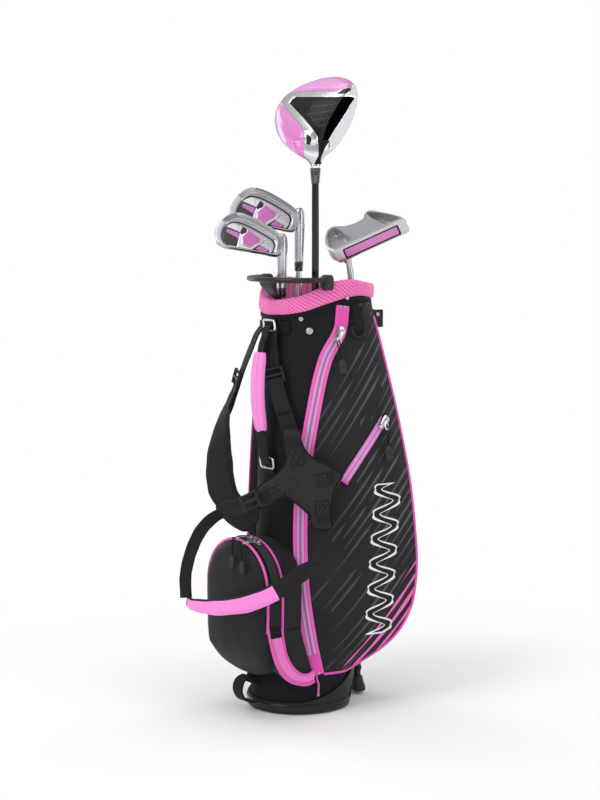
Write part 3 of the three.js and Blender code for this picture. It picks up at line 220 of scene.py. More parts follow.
# ------------------------------------------------------------------ materials
def C(r, g, b):
    return tuple((((c / 255 + .055) / 1.055) ** 2.4 if c > 10 else c / 255 / 12.92) for c in (r, g, b)) + (1,)
class G:
    def __init__(s, name):
        s.m = bpy.data.materials.new(name); s.m.use_nodes = True; s.t = s.m.node_tree; s.t.nodes.clear()
        s.o = s.n("ShaderNodeOutputMaterial"); s.b = s.n("ShaderNodeBsdfPrincipled"); s.t.links.new(s.b.outputs[0], s.o.inputs[0])
    def n(s, kind, **kw):
        x = s.t.nodes.new(kind)
        for k, v in kw.items(): setattr(x, k, v)
        return x
    def p(s, inp, x):
        if isinstance(x, bpy.types.NodeSocket): s.t.links.new(x, inp)
        else: inp.default_value = x
    def set(s, **kw):
        names = dict(base="Base Color", rough="Roughness", metal="Metallic", spec="Specular IOR Level", coat="Coat Weight", coatr="Coat Roughness", sheen="Sheen Weight", sheenr="Sheen Roughness", sheent="Sheen Tint", normal="Normal", coatn="Coat Normal", ani="Anisotropic", emit="Emission Color", emits="Emission Strength")
        for k, v in kw.items(): s.p(s.b.inputs[names[k]], v)
        return s
    def math(s, op, a, b=0.0, c=0.0, clamp=False):
        x = s.n("ShaderNodeMath", operation=op, use_clamp=clamp)
        s.p(x.inputs[0], a); s.p(x.inputs[1], b)
        if op in ("MULTIPLY_ADD", "WRAP", "SMOOTH_MIN", "SMOOTH_MAX", "COMPARE"): s.p(x.inputs[2], c)
        return x.outputs[0]
    def mix(s, f, a, b, mode="MIX"):
        x = s.n("ShaderNodeMix", data_type="RGBA", blend_type=mode); s.p(x.inputs[0], f); s.p(x.inputs[6], a); s.p(x.inputs[7], b); return x.outputs[2]
    def mixf(s, f, a, b):
        x = s.n("ShaderNodeMix", data_type="FLOAT"); s.p(x.inputs[0], f); s.p(x.inputs[2], a); s.p(x.inputs[3], b); return x.outputs[0]
    def uv(s): return s.n("ShaderNodeTexCoord").outputs["UV"]
    def obj(s): return s.n("ShaderNodeTexCoord").outputs["Object"]
    def sep(s, v):
        x = s.n("ShaderNodeSeparateXYZ"); s.p(x.inputs[0], v); return x.outputs[0], x.outputs[1], x.outputs[2]
    def comb(s, x=0.0, y=0.0, z=0.0):
        q = s.n("ShaderNodeCombineXYZ"); s.p(q.inputs[0], x); s.p(q.inputs[1], y); s.p(q.inputs[2], z); return q.outputs[0]
    def scale(s, v, xyz):
        x = s.n("ShaderNodeVectorMath", operation="MULTIPLY"); s.p(x.inputs[0], v); s.p(x.inputs[1], xyz); return x.outputs[0]
    def noise(s, v, scale=5.0, detail=2.0, rough=.5, dist=0.0):
        x = s.n("ShaderNodeTexNoise"); s.p(x.inputs["Vector"], v); x.inputs["Scale"].default_value = scale; x.inputs["Detail"].default_value = detail
        x.inputs["Roughness"].default_value = rough; x.inputs["Distortion"].default_value = dist; return x.outputs[0]
    def white(s, w):
        x = s.n("ShaderNodeTexWhiteNoise", noise_dimensions="1D"); s.p(x.inputs["W"], w); return x.outputs["Value"]
    def map(s, x, a, b, c=0.0, d=1.0, smooth=False):
        q = s.n("ShaderNodeMapRange", interpolation_type="SMOOTHSTEP" if smooth else "LINEAR")
        for i, v in enumerate((x, a, b, c, d)): s.p(q.inputs[i], v)
        return q.outputs[0]
    def bump(s, h, strength=.3, dist=.001, normal=None):
        x = s.n("ShaderNodeBump"); x.inputs["Strength"].default_value = strength; x.inputs["Distance"].default_value = dist; s.p(x.inputs["Height"], h)
        if normal is not None: s.p(x.inputs["Normal"], normal)
        return x.outputs[0]
    def attr(s, name): return s.n("ShaderNodeAttribute", attribute_name=name, attribute_type="GEOMETRY").outputs["Fac"]
    def sinw(s, x, period, phase=0.0): return s.math("SINE", s.math("MULTIPLY_ADD", x, 2 * pi / period, phase))
    def edge(s):
        x = s.n("ShaderNodeNewGeometry"); return x.outputs["Pointiness"]

def weave(g, u, v, pitch=.0014):
    """plain weave height from two coordinates in metres"""
    a = g.sinw(u, pitch); b = g.sinw(v, pitch)
    over = g.math("MULTIPLY", g.sinw(u, pitch * 2), g.sinw(v, pitch * 2))
    return g.math("ADD", g.math("MULTIPLY", g.math("ADD", a, b), .25), g.math("MULTIPLY", over, .5))
def fabric(name, c0, c1, pitch=.0014, rough=.82, bump=.25, sheen=.04, spec=.14, wrinkle=.35, coords="uv"):
    g = G(name); o = g.obj(); u, v, w = g.sep(g.uv() if coords == "uv" else o)
    h = weave(g, u, v, pitch); big = g.noise(o, 14, 3, .55); fine = g.noise(o, 420, 2, .6); wr = g.noise(g.scale(o, (1, 1, .55)), 26, 4, .6, .4)
    col = g.mix(g.math("ADD", g.math("MULTIPLY", big, .6), g.math("MULTIPLY", fine, .4), clamp=True), c0, c1)
    # painted shade: colour darkened towards black in the weave valleys
    col = g.mix(g.math("MULTIPLY", g.math("SUBTRACT", .0, h, clamp=True), .35), col, (0, 0, 0, 1))
    n1 = g.bump(wr, wrinkle, .004); n2 = g.bump(h, bump, .0004, n1)
    g.set(base=col, rough=g.mixf(big, rough - .08, rough + .06), spec=spec, sheen=sheen, sheenr=.5, normal=n2)
    return g.m
def webbing(name, c0, c1, sheen=.04, rib=.0021, spec=.16):
    g = G(name); u, v, w = g.sep(g.uv()); o = g.obj()
    ribs = g.math("ABSOLUTE", g.sinw(u, rib * 2)); chev = g.math("ABSOLUTE", g.sinw(g.math("ADD", v, g.math("MULTIPLY", g.math("ABSOLUTE", g.math("SINE", g.math("MULTIPLY", u, 2 * pi / (rib * 2)))), .0004)), .0018))
    h = g.math("ADD", g.math("MULTIPLY", ribs, .7), g.math("MULTIPLY", chev, .4)); n = g.noise(o, 60, 3); f = g.noise(o, 700, 2)
    # painted shade: colour darkened in the low parts between the ribs
    col = g.mix(g.math("MULTIPLY", g.math("ADD", n, f), .5), c0, c1); col = g.mix(g.math("MULTIPLY", g.math("SUBTRACT", 1.0, h, clamp=True), .5), col, tuple(x * .45 for x in c0[:3]) + (1,))
    g.set(base=col, rough=.7, spec=spec, sheen=sheen, sheenr=.4, normal=g.bump(h, .5, .0004)); return g.m
def plastic(name, c0, c1, rough=.42, grain=900, bump=.12, spec=.22, coat=0.0):
    g = G(name); o = g.obj(); n = g.noise(o, grain, 3, .6); b = g.noise(o, 22, 3)
    g.set(base=g.mix(b, c0, c1), rough=g.mixf(g.noise(o, 60, 4, .7), rough - .08, rough + .1), spec=spec, coat=coat, coatr=.1, normal=g.bump(n, bump, .0003)); return g.m
def metal(name, c0, rough=.16, brush=(1, 1, 1), bump=.03, scale=300, r2=.08, c1=None):
    g = G(name); o = g.scale(g.obj(), brush); n = g.noise(o, scale, 4, .6); s = g.noise(g.obj(), 35, 3, .6)
    g.set(base=g.mix(s, c0, c1 or c0), metal=1.0, rough=g.mixf(n, rough, rough + r2), normal=g.bump(n, bump, .0002)); return g.m

BLK0, BLK1 = C(20, 19, 22), C(33, 32, 36)
M_FAB = fabric("fabric_black", BLK0, BLK1)
M_FAB2 = fabric("fabric_soft_black", C(22, 21, 24), C(33, 32, 36), pitch=.0016, wrinkle=.22, sheen=.04, spec=.2, rough=.62)
M_PADB = fabric("pad_fabric_black", C(17, 16, 18), C(30, 29, 32), pitch=.0020, wrinkle=.45, bump=.45)
M_TRIM = fabric("binding_black", C(17, 17, 19), C(28, 28, 31), pitch=.0012, wrinkle=.1)
M_PADP = fabric("pad_fabric_pink", C(238, 120, 204), C(248, 140, 216), pitch=.0018, wrinkle=.35, bump=.2, sheen=.25, rough=.72)
M_PIPE = fabric("piping_pink", C(226, 84, 176), C(240, 104, 194), pitch=.0011, wrinkle=.05, bump=.4, sheen=.2, rough=.6)
M_GUSP = fabric("gusset_pink", C(236, 116, 196), C(248, 134, 210), pitch=.0013, wrinkle=.2, sheen=.2)
M_WEB = webbing("webbing_black", C(20, 20, 22), C(32, 32, 35))
M_LINE = fabric("lining_black", C(14, 14, 15), C(22, 22, 24), pitch=.0018, wrinkle=.3)
M_PLA = plastic("plastic_black", C(26, 26, 28), C(36, 36, 39))
M_BASE = plastic("boot_black", C(20, 20, 22), C(30, 30, 33), rough=.36, spec=.25, grain=500)
M_RING = plastic("ring_black", C(30, 29, 31), C(42, 41, 44), rough=.34, spec=.3, grain=700)
M_RUB = plastic("rubber_black", C(46, 45, 46), C(60, 59, 60), rough=.66, bump=.3, grain=1400, spec=.25)
M_GLOSS = plastic("gloss_black", C(12, 12, 13), C(18, 18, 19), rough=.14, bump=.0, spec=.3, coat=.12)
M_CHR = metal("chrome", C(218, 219, 222), .12, r2=.08)
M_STEEL = metal("shaft_steel", C(205, 207, 210), .16, brush=(1, 1, .05), scale=500)
M_PSHAFT = metal("putter_shaft_steel", C(196, 200, 204), .26, brush=(1, 1, .05), scale=500)
M_SHAFTB = plastic("shaft_black", C(8, 8, 9), C(12, 12, 13), rough=.18, bump=.0, spec=.3, coat=.1)
M_LEG = metal("leg_black", C(52, 52, 55), .3, brush=(1, 1, .08), scale=300, r2=.12)

def mat_mesh(name, c_hi, c_lo, pitch=.0036):
    g = G(name); u, v, w = g.sep(g.uv()); o = g.obj()
    a = g.math("COSINE", g.math("MULTIPLY", g.math("ADD", u, v), 2 * pi / pitch)); b = g.math("COSINE", g.math("MULTIPLY", g.math("SUBTRACT", u, v), 2 * pi / pitch))
    h = g.math("MULTIPLY", g.math("ADD", a, b), .5); hole = g.map(h, .05, .6, 0, 1, True)
    th = weave(g, u, v, .0009)
    # painted shade: the sunken holes of the mesh take the darker c_lo colour
    col = g.mix(g.noise(o, 18, 3), c_hi, tuple(x * .93 for x in c_hi[:3]) + (1,)); col = g.mix(g.math("MULTIPLY", hole, .85), col, c_lo)
    n1 = g.bump(g.math("SUBTRACT", 1.0, hole), .7, .0009); n2 = g.bump(th, .15, .0003, n1)
    g.set(base=col, rough=.62, spec=.3, sheen=.3, sheenr=.4, sheent=(1, .7, .9, 1), normal=n2); return g.m
M_MESH = mat_mesh("spacer_mesh_pink", C(248, 128, 196), C(206, 42, 124), .0056)
M_MESH2 = mat_mesh("lining_mesh_pink", C(244, 108, 180), C(205, 52, 124))
M_MESHB = mat_mesh("spacer_mesh_black", C(34, 33, 36), C(10, 10, 11), .004)

def mat_zip(name, hw, tape, edge, coil, coilw=1.5, seam=.8, edgew=2.4, rim=None):
    """zip tape, u across in metres from the middle"""
    g = G(name); u, v, w = g.sep(g.uv()); o = g.obj(); au = g.math("MULTIPLY", g.math("ABSOLUTE", u), 1000.0)
    e = g.map(au, hw - edgew - .25, hw - edgew + .25); sm = g.math("MULTIPLY", g.map(au, hw - edgew - seam - .2, hw - edgew - seam + .2), g.map(au, hw - edgew + .2, hw - edgew - .2))
    cc = g.map(au, coilw + .2, coilw - .2); teeth = g.math("ABSOLUTE", g.sinw(v, .0026)); rib = weave(g, u, v, .0011)
    # painted shade: tape colour darkened in the rib valleys
    col = g.mix(g.noise(o, 50, 3), tape, tuple(x * .9 for x in tape[:3]) + (1,)); col = g.mix(g.math("MULTIPLY", g.math("SUBTRACT", .0, rib, clamp=True), .3), col, tuple(x * .55 for x in tape[:3]) + (1,))
    col = g.mix(cc, col, coil); col = g.mix(g.math("MULTIPLY", g.math("MULTIPLY", cc, teeth), .45), col, tuple(x * .35 for x in coil[:3]) + (1,))
    col = g.mix(e, col, edge); col = g.mix(g.math("MULTIPLY", sm, .75), col, rim or tuple(x * .3 for x in edge[:3]) + (1,))
    h = g.math("ADD", g.math("MULTIPLY", g.math("MULTIPLY", cc, teeth), .8), g.math("MULTIPLY", rib, .2))
    g.set(base=col, rough=.55, spec=.35, sheen=.2, normal=g.bump(h, .5, .0006)); return g.m
M_ZIPL = mat_zip("zip_lilac", 8.25, C(226, 150, 214), C(234, 92, 184), C(172, 120, 168), edgew=2.6)
M_ZIPD = mat_zip("zip_lilac_small", 5.5, C(224, 146, 212), C(214, 128, 200), C(176, 84, 158), coilw=.6, edgew=.8, seam=.5)
M_ZIPB = mat_zip("zip_black", 6.5, C(26, 26, 28), C(20, 20, 22), C(16, 16, 17))
M_PATCH = fabric("zip_end_pink", C(222, 78, 170), C(232, 92, 182), pitch=.0012, wrinkle=.1, sheen=.2)

# ------------------------------------------------------------------ stage, light, camera
def stage():
    sc = bpy.context.scene
    me = bpy.data.meshes.new("floor"); s = 9.0
    me.from_pydata([(-s, -s, -.0006), (s, -s, -.0006), (s, s, -.0006), (-s, s, -.0006)], [], [(0, 1, 2, 3)])
    fl = bpy.data.objects.new("floor", me); COLL.objects.link(fl)
    g = G("floor_white"); g.set(base=g.mix(g.noise(g.obj(), 3, 2), (.90, .90, .90, 1), (.92, .92, .92, 1)), rough=.9, spec=.05)
    x, y, z = g.sep(g.obj()); rr = g.math("SQRT", g.math("ADD", g.math("MULTIPLY", x, x), g.math("MULTIPLY", y, y)))
    em = g.n("ShaderNodeEmission"); em.inputs[0].default_value = (1, 1, 1, 1); em.inputs[1].default_value = 1.0; mxs = g.n("ShaderNodeMixShader")
    g.p(mxs.inputs[0], g.map(rr, .24, .75, 0, 1, True)); g.t.links.new(g.b.outputs[0], mxs.inputs[1]); g.t.links.new(em.outputs[0], mxs.inputs[2]); g.t.links.new(mxs.outputs[0], g.o.inputs[0]); me.materials.append(g.m)
    w = bpy.data.worlds.new("studio"); sc.world = w; w.use_nodes = True; t = w.node_tree; t.nodes.clear()
    out = t.nodes.new("ShaderNodeOutputWorld"); bg = t.nodes.new("ShaderNodeBackground"); bg2 = t.nodes.new("ShaderNodeBackground"); mx = t.nodes.new("ShaderNodeMixShader"); lp = t.nodes.new("ShaderNodeLightPath")
    tc = t.nodes.new("ShaderNodeTexCoord"); sp = t.nodes.new("ShaderNodeSeparateXYZ"); t.links.new(tc.outputs["Generated"], sp.inputs[0])
    # studio surround: bright overhead and sides with two grey flags, so that plating has something to show
    ramp = t.nodes.new("ShaderNodeValToRGB"); at = t.nodes.new("ShaderNodeMath"); at.operation = "ARCTAN2"; t.links.new(sp.outputs[1], at.inputs[0]); t.links.new(sp.outputs[0], at.inputs[1])
    mr = t.nodes.new("ShaderNodeMapRange"); t.links.new(at.outputs[0], mr.inputs[0]); mr.inputs[1].default_value = -pi; mr.inputs[2].default_value = pi; t.links.new(mr.outputs[0], ramp.inputs[0])
    el = ramp.color_ramp.elements; el[0].position = 0.0; el[0].color = (.9, .9, .9, 1); el[1].position = 1.0; el[1].color = (.9, .9, .9, 1)
    for pos, c in ((.18, .95), (.215, .12), (.25, .12), (.285, 1.1), (.42, 1.1), (.455, .1), (.49, .1), (.53, 1.0), (.72, .85), (.76, .3), (.80, .85)):
        e = el.new(pos); e.color = (c, c, c, 1)
    zr = t.nodes.new("ShaderNodeMapRange"); t.links.new(sp.outputs[2], zr.inputs[0]); zr.inputs[1].default_value = .45; zr.inputs[2].default_value = .75
    mc = t.nodes.new("ShaderNodeMix"); mc.data_type = "RGBA"; t.links.new(zr.outputs[0], mc.inputs[0]); t.links.new(ramp.outputs[0], mc.inputs[6]); mc.inputs[7].default_value = (1.1, 1.1, 1.1, 1)
    t.links.new(mc.outputs[2], bg.inputs[0]); bg.inputs[1].default_value = .50
    bg2.inputs[0].default_value = (1, 1, 1, 1); bg2.inputs[1].default_value = 1.0
    t.links.new(lp.outputs["Is Camera Ray"], mx.inputs[0]); t.links.new(bg.outputs[0], mx.inputs[1]); t.links.new(bg2.outputs[0], mx.inputs[2]); t.links.new(mx.outputs[0], out.inputs[0])
    def area(name, loc, tgt, size, power, col=(1, 1, 1)):
        l = bpy.data.lights.new(name, "AREA"); l.shape = "RECTANGLE"; l.size, l.size_y = size; l.energy = power; l.color = col
        o = bpy.data.objects.new(name, l); COLL.objects.link(o); o.location = loc
        o.rotation_euler = (Vector(tgt) - Vector(loc)).to_track_quat("-Z", "Y").to_euler(); return o
    cn, cr = Vector((.766, -.643, 0)), Vector((.643, .766, 0)); up = Vector((0, 0, 1))
    area("key", cn * 1.3 - cr * 1.5 + up * 1.7, (0, 0, .45), (1.2, 1.6), 24)
    area("fill", cn * 1.2 + cr * 1.7 + up * 1.1, (0, 0, .4), (1.0, 1.8), 9)
    area("top", up * 2.3 + cn * .2, (0, 0, .4), (1.6, 1.6), 12)
    area("rim_l", -cn * 1.2 - cr * 1.3 + up * 1.0, (0, 0, .4), (.6, 1.6), 8)
    area("rim_r", -cn * 1.2 + cr * 1.3 + up * 1.0, (0, 0, .4), (.6, 1.6), 8)
    area("floor_wash", cn * 1.4 + up * .25, (0, 0, .02), (2.2, .3), 2)
    cam = bpy.data.cameras.new("cam"); cam.lens = 80; cam.sensor_width = 36; cam.clip_start = .05; cam.clip_end = 40
    co = bpy.data.objects.new("cam", cam); COLL.objects.link(co); co.location = cn * 2.381 + up * .683
    co.rotation_euler = (Vector((0, 0, .415)) - co.location).to_track_quat("-Z", "Y").to_euler(); sc.camera = co
    sc.view_settings.view_transform = "Standard"; sc.view_settings.look = "None"
stage()

# ================================================================== the bag: shared geometry (mm)
TUBE_A0, TUBE_B0, FLARE, LEAN = 66, 70, 5 / 560, .052
BOOT_A, BOOT_B, FLAT_Y = 70.2, 74.2, 34
CUT = math.tan(radians(50))
RX, RY = .643, .766
CN, CR, UP = A(.766, -.643, 0), A(.643, .766, 0), A(0, 0, 1)
tA = lambda z: TUBE_A0 + FLARE * z
tB = lambda z: TUBE_B0 + FLARE * z
tC = lambda z: LEAN * z
def onT(th, z, off=0): return A((tA(z) + off) * cos(th), tC(z) + (tB(z) + off) * sin(th), z)
def tubeN(p): return unit(A(p[0] / tA(p[2]) ** 2, (p[1] - tC(p[2])) / tB(p[2]) ** 2, 0))
def toTube(x, y, z, off):
    p = onT(atan2((y - tC(z)) / tB(z), x / tA(z)), z); return p + tubeN(p) * off
def level(p):
    """distance outside the tube surface, about, mm (negative inside)"""
    q = sqrt((p[0] / tA(p[2])) ** 2 + ((p[1] - tC(p[2])) / tB(p[2])) ** 2); return (q - 1) * (tA(p[2]) + tB(p[2])) / 2
def keepOut(p, off=.4):
    return toTube(p[0], p[1], p[2], off) if level(p) < off else A(*p)
def table(t, x):
    for i in range(1, len(t)):
        if x <= t[i][0]:
            s = (x - t[i - 1][0]) / (t[i][0] - t[i - 1][0]); return lerp(t[i - 1][1], t[i][1], s * s * (3 - 2 * s))
    return t[-1][1]
def spineA(th):
    a = ((th + pi / 2) * 180 / pi) % 360; return 360 - a if a > 180 else a
RIMT = Crv([(0, 551), (33, 556), (54, 568), (72, 579), (90, 580), (110, 575.5), (135, 571.5), (180, 571)])
rimZ = lambda th: table([[0, 551], [33, 556], [54, 568], [72, 580], [90, 580], [110, 575], [135, 571], [180, 571]], spineA(th))
lowZ = lambda th: table([[0, 531], [37, 536], [63, 549], [88, 558], [105, 558], [130, 552], [180, 549]], spineA(th))
def smoothed(f, w=.16):
    return lambda th: sum(f(th + d) * k for d, k in ((-2 * w, .1), (-w, .2), (0, .4), (w, .2), (2 * w, .1)))
rimS, lowS = smoothed(rimZ), smoothed(lowZ)
def shellBottom(th):
    y = (tB(50) + 1) * sin(th) + 3; return max(8.5, (y - FLAT_Y) * CUT + 11.2)

ZIP = Crv([(69, 14, 545), (68, 10, 513), (63, -10, 474), (55, -26, 395), (50, -37, 316), (49, -41, 249), (53, -40, 169), (60, -33, 101), (65, -24, 53)])
OUTP = [(92, 548), (104, 505), (121.2, 436), (130, 398), (146.3, 315), (150.9, 282), (155.8, 232), (157.7, 198), (155.8, 164), (149.9, 136), (136.5, 110), (117, 89), (84, 67), (62, 55)]
OUTC = Crv([(RX * r + RY * (14 if i < 9 else lerp(14, 46, (i - 8) / 5)), RY * r - RX * (14 if i < 9 else lerp(14, 46, (i - 8) / 5)), z) for i, (r, z) in enumerate(OUTP)])
def zipDir(t): return unit(ZIP.at(min(1, t + .02)) - ZIP.at(max(0, t - .02)))
def leftAt(t):
    p = ZIP.at(t); d = -np.cross(unit(ZIP.at(min(1, t + .01)) - ZIP.at(max(0, t - .01))), tubeN(p))
    b = d if d[0] * RX + d[1] * RY > 0 else -d
    return toTube(p[0] + b[0] * 9.4, p[1] + b[1] * 9.4, p[2], -3)
def panelAt(s, t):
    L, R = leftAt(t), OUTC.at(t); n = unit(A(R[1] - L[1], -(R[0] - L[0]), 0)); ln = math.hypot(R[0] - L[0], R[1] - L[1])
    return L + (R - L) * s + n * (min(16, ln * .13) * max(0, sin(pi * s)) ** .75)
def panelN(s, t):
    a = panelAt(min(1, s + .01), t) - panelAt(max(0, s - .01), t); b = panelAt(s, min(1, t + .01)) - panelAt(s, max(0, t - .01))
    n = unit(np.cross(a, b)); return n if n[0] > 0 else -n
_grid = None
def panelFind(r, z):
    global _grid
    if _grid is None:
        _grid = [(i / 100, j / 100, panelAt(i / 100, j / 100)) for i in range(1, 100) for j in range(101)]
        _grid = (np.array([(a, b) for a, b, p in _grid]), np.array([(p[0] * RX + p[1] * RY, p[2]) for a, b, p in _grid]))
    k = int(np.argmin(((_grid[1] - A(r, z)) ** 2).sum(1))); return float(_grid[0][k][0]), float(_grid[0][k][1])
CAM = CN * 2381 + A(0, 0, 683); FWD = unit(A(0, 0, 415) - CAM); RT = unit(np.cross(FWD, UP)); VUP = np.cross(RT, FWD); FPX = 800 * 80 / 36
def ray(px, py): return unit(FWD + RT * ((px - 300) / FPX) + VUP * ((400 - py) / FPX))
def onPlane(px, py, n, k):
    """view ray met with the plane n.p = k"""
    d = ray(px, py); return CAM + d * ((k - CAM @ A(*n)) / (d @ A(*n)))
def hitTube(px, py, off=0.0):
    d = ray(px, py); lo, hi = 2100.0, 2420.0
    for t in np.arange(2100, 2480, 4.0):
        if level(CAM + d * t) < off: hi = t; lo = t - 4; break
    for _ in range(24):
        mid = (lo + hi) / 2
        if level(CAM + d * mid) < off: hi = mid
        else: lo = mid
    return CAM + d * hi

# ------------------------------------------------------------------ tube
NB = 112
THB = [2 * pi * k / NB for k in range(NB)]
def fold(th, z):
    """soft inward wrinkles of the fabric, mm"""
    x, y = cos(th), sin(th)
    a = mnoise.noise(Vector((x * 1.6, y * 1.6, z * .011))) + .6 * mnoise.noise(Vector((x * 3.1 + z * .008, y * 3.1, z * .024 + 5)))
    edge = min(1, max(0, (lowS(th) - z) / 40)) * min(1, max(0, (z - 60) / 30)); return -(.75 + .75 * a) * edge
def bag_body():
    rings = []; n = 64
    for i in range(n + 1):
        f = i / n; ring = []
        for th in THB:
            z = lerp(shellBottom(th), lowS(th) - .5, f); ring.append(onT(th, z, min(0, fold(th, z))))
        rings.append(ring)
    for off, f in ((-1.2, 1.0), (-3.9, 1.0), (-3.95, .66), (-3.95, .33), (-3.95, 0.0)):
        rings.append([onT(th, lerp(shellBottom(th), lowS(th) - (.3 if off > -2 else .5), f), off) for th in THB])
    me = skin("bag_body", rings, [M_FAB], loop=True, sharp=50)
    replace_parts(me, "bag_shell"); return me
bag_body()
# black binding sewn round the top of the tube, under the cushion
def band():
    rings = []
    prof = [(0, .1), (.9, .5), (1.3, 1.6), (1.3, .5), (1.3, -.6), (.9, 0), (.0, 0)]
    for j, (o, f) in enumerate([(.05, 0), (.9, .06), (1.25, .14), (1.3, .35), (1.3, .65), (1.25, .86), (.9, .94), (.05, 1)]):
        ring = []
        for th in THB:
            a = spineA(th); h = lerp(7, 12, sst(20, 60, a)); z = lowS(th) - .6 - h * (1 - f); ring.append(onT(th, z, o))
        rings.append(ring)
    for o, f in ((-.4, 1), (-.4, 0)):
        rings.append([onT(th, lowS(th) - .6 - lerp(7, 12, sst(20, 60, spineA(th))) * (1 - f), o) for th in THB])
    b = skin("collar_binding", rings, M_TRIM, loop=True)
band()

# ------------------------------------------------------------------ padded collar
def collar():
    PADP = Crv([(-6.7, .06), (-7.9, .22), (-8.3, .42), (-7.8, .66), (-6.1, .86), (-3.1, .975), (-.6, 1.0), (1.6, .975), (3.0, .90), (3.9, .72), (4.3, .50), (4.1, .26), (3.3, .09), (2.2, .0), (1.2, -.02), (.2, .0)], closed=True)
    S = PADP.spaced(40); n = 168; rings = []
    for i in range(n):
        th = 2 * pi * i / n; lo, hi = lowS(th), rimS(th); ring = []
        for k, (o, f) in enumerate(S):
            d = mnoise.noise(Vector((cos(th) * 4, sin(th) * 4, f * 2))) * .5
            z = lerp(lo, hi, f); p = onT(th, z, o + d * (1 if o > 0 else .5))
            ring.append(p)
        rings.append(ring)
    L = np.concatenate([[0], np.cumsum([np.linalg.norm(onT(2 * pi * (i + 1) / n, 560) - onT(2 * pi * i / n, 560)) for i in range(n)])])
    H = np.concatenate([[0], np.cumsum([math.hypot(S[(k + 1) % 40][0] - S[k][0], 26 * (S[(k + 1) % 40][1] - S[k][1])) for k in range(40)])])
    c = skin("collar_cushion", rings, M_MESH, loop=True, uv=lambda i, k: (L[i] * MM, H[k] * MM), sharp=0)
    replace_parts(c, "collar_pad")
    # points for a narrow seam cord where the cushion is sewn to the binding; no cord is built from them
    P = [onT(2 * pi * i / 150, lowS(2 * pi * i / 150) - .2, 4.2) for i in range(150)]
collar()

def mat_frame():
    g = G("insert_lining"); o = g.obj(); x, y, z = g.sep(o)
    a = g.math("DIVIDE", x, g.math("MULTIPLY_ADD", z, FLARE, TUBE_A0 * MM)); b = g.math("DIVIDE", g.math("SUBTRACT", y, g.math("MULTIPLY", z, LEAN)), g.math("MULTIPLY_ADD", z, FLARE, TUBE_B0 * MM))
    q = g.math("SQRT", g.math("ADD", g.math("MULTIPLY", a, a), g.math("MULTIPLY", b, b)))
    wall = g.map(q, .845, .85); n = g.noise(o, 30, 3); wv = weave(g, g.math("ADD", x, y), z, .0022)
    cw = g.mix(n, C(214, 60, 140), C(226, 74, 152)); cd = g.mix(n, C(236, 150, 196), C(228, 136, 186))
    hole = g.map(wv, .2, .6, 0, 1, True); cw = g.mix(g.math("MULTIPLY", hole, .6), cw, C(140, 26, 86))
    g.set(base=g.mix(wall, cd, cw), rough=.7, sheen=.2, spec=.3, normal=g.bump(wv, .3, .0006)); return g.m
def dress(node, mat, bevel=.8, seg=3, angle=30):
    o = NODES[node] if not isinstance(NODES, list) else bpy.data.objects[node]
    o.data.materials.clear(); o.data.materials.append(mat)
    if bevel:
        b = o.modifiers.new("bevel", "BEVEL"); b.width = bevel * MM; b.segments = seg; b.limit_method = "ANGLE"; b.angle_limit = radians(angle); b.harden_normals = False
    o.data.polygons.foreach_set("use_smooth", [True] * len(o.data.polygons)); o.data.set_sharp_from_angle(angle=radians(38))
    return o

# ------------------------------------------------------------------ grab ring
def carry_ring():
    P = Crv([(63.5, -3, 579), (65, -14, 579), (63, -32, 579), (52, -49, 579), (29, -61, 579), (0, -63.5, 579), (-26, -58, 579), (-45, -46, 579), (-56, -30, 579), (-60, -14, 579), (-60.5, -3, 579)]).spaced(96)
    parts = [sweep("ring_a", P, UP, oval(3.6, 7.0, 24, .55, .75), M_RING)]
    def st(z, w, y0, y1, r=2.0):
        return [A(a, (y0 + y1) / 2 + b, z) for a, b in rrect(w, (y1 - y0) / 2, min(r, (y1 - y0) / 2 * .9), 5, 3)]
    keys = [(581.6, 13.6, -60.6, -53.5), (579, 14.4, -61, -52.5), (574, 14, -59.5, -51), (567, 12, -56, -49.5), (557, 9, -46, -41), (549, 7, -36.2, -32.7), (536, 7, -35.9, -32.9), (522, 7, -35.9, -32.9)]
    K = Crv(keys); rings = [st(*K.at(i / 36)) for i in range(37)]
    parts.append(skin("ring_b", rings, M_RING))
    for s in (1, -1):
        if s < 0: parts.append(rbox("ring_c", (-60.8, -8, 576), (13, 13, 15), M_RING, rz=8, bev=3.2, seg=5)); continue
        parts.append(rbox("ring_c", (s * 64.5, -8, 575), (17, 13, 19), M_RING, rz=s * -8, bev=3.2, seg=5))
        parts.append(rbox("ring_d", (s * 65.2, -8, 584.2), (12, 9, 3), M_RING, rz=s * -8, bev=1.2, seg=3))
    for x in (-42, 42):                                   # empty loop: no stiffening ribs are built under the ring
        pass
    o = joinup("grab_ring", parts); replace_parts(o, "carry_ring")
carry_ring()

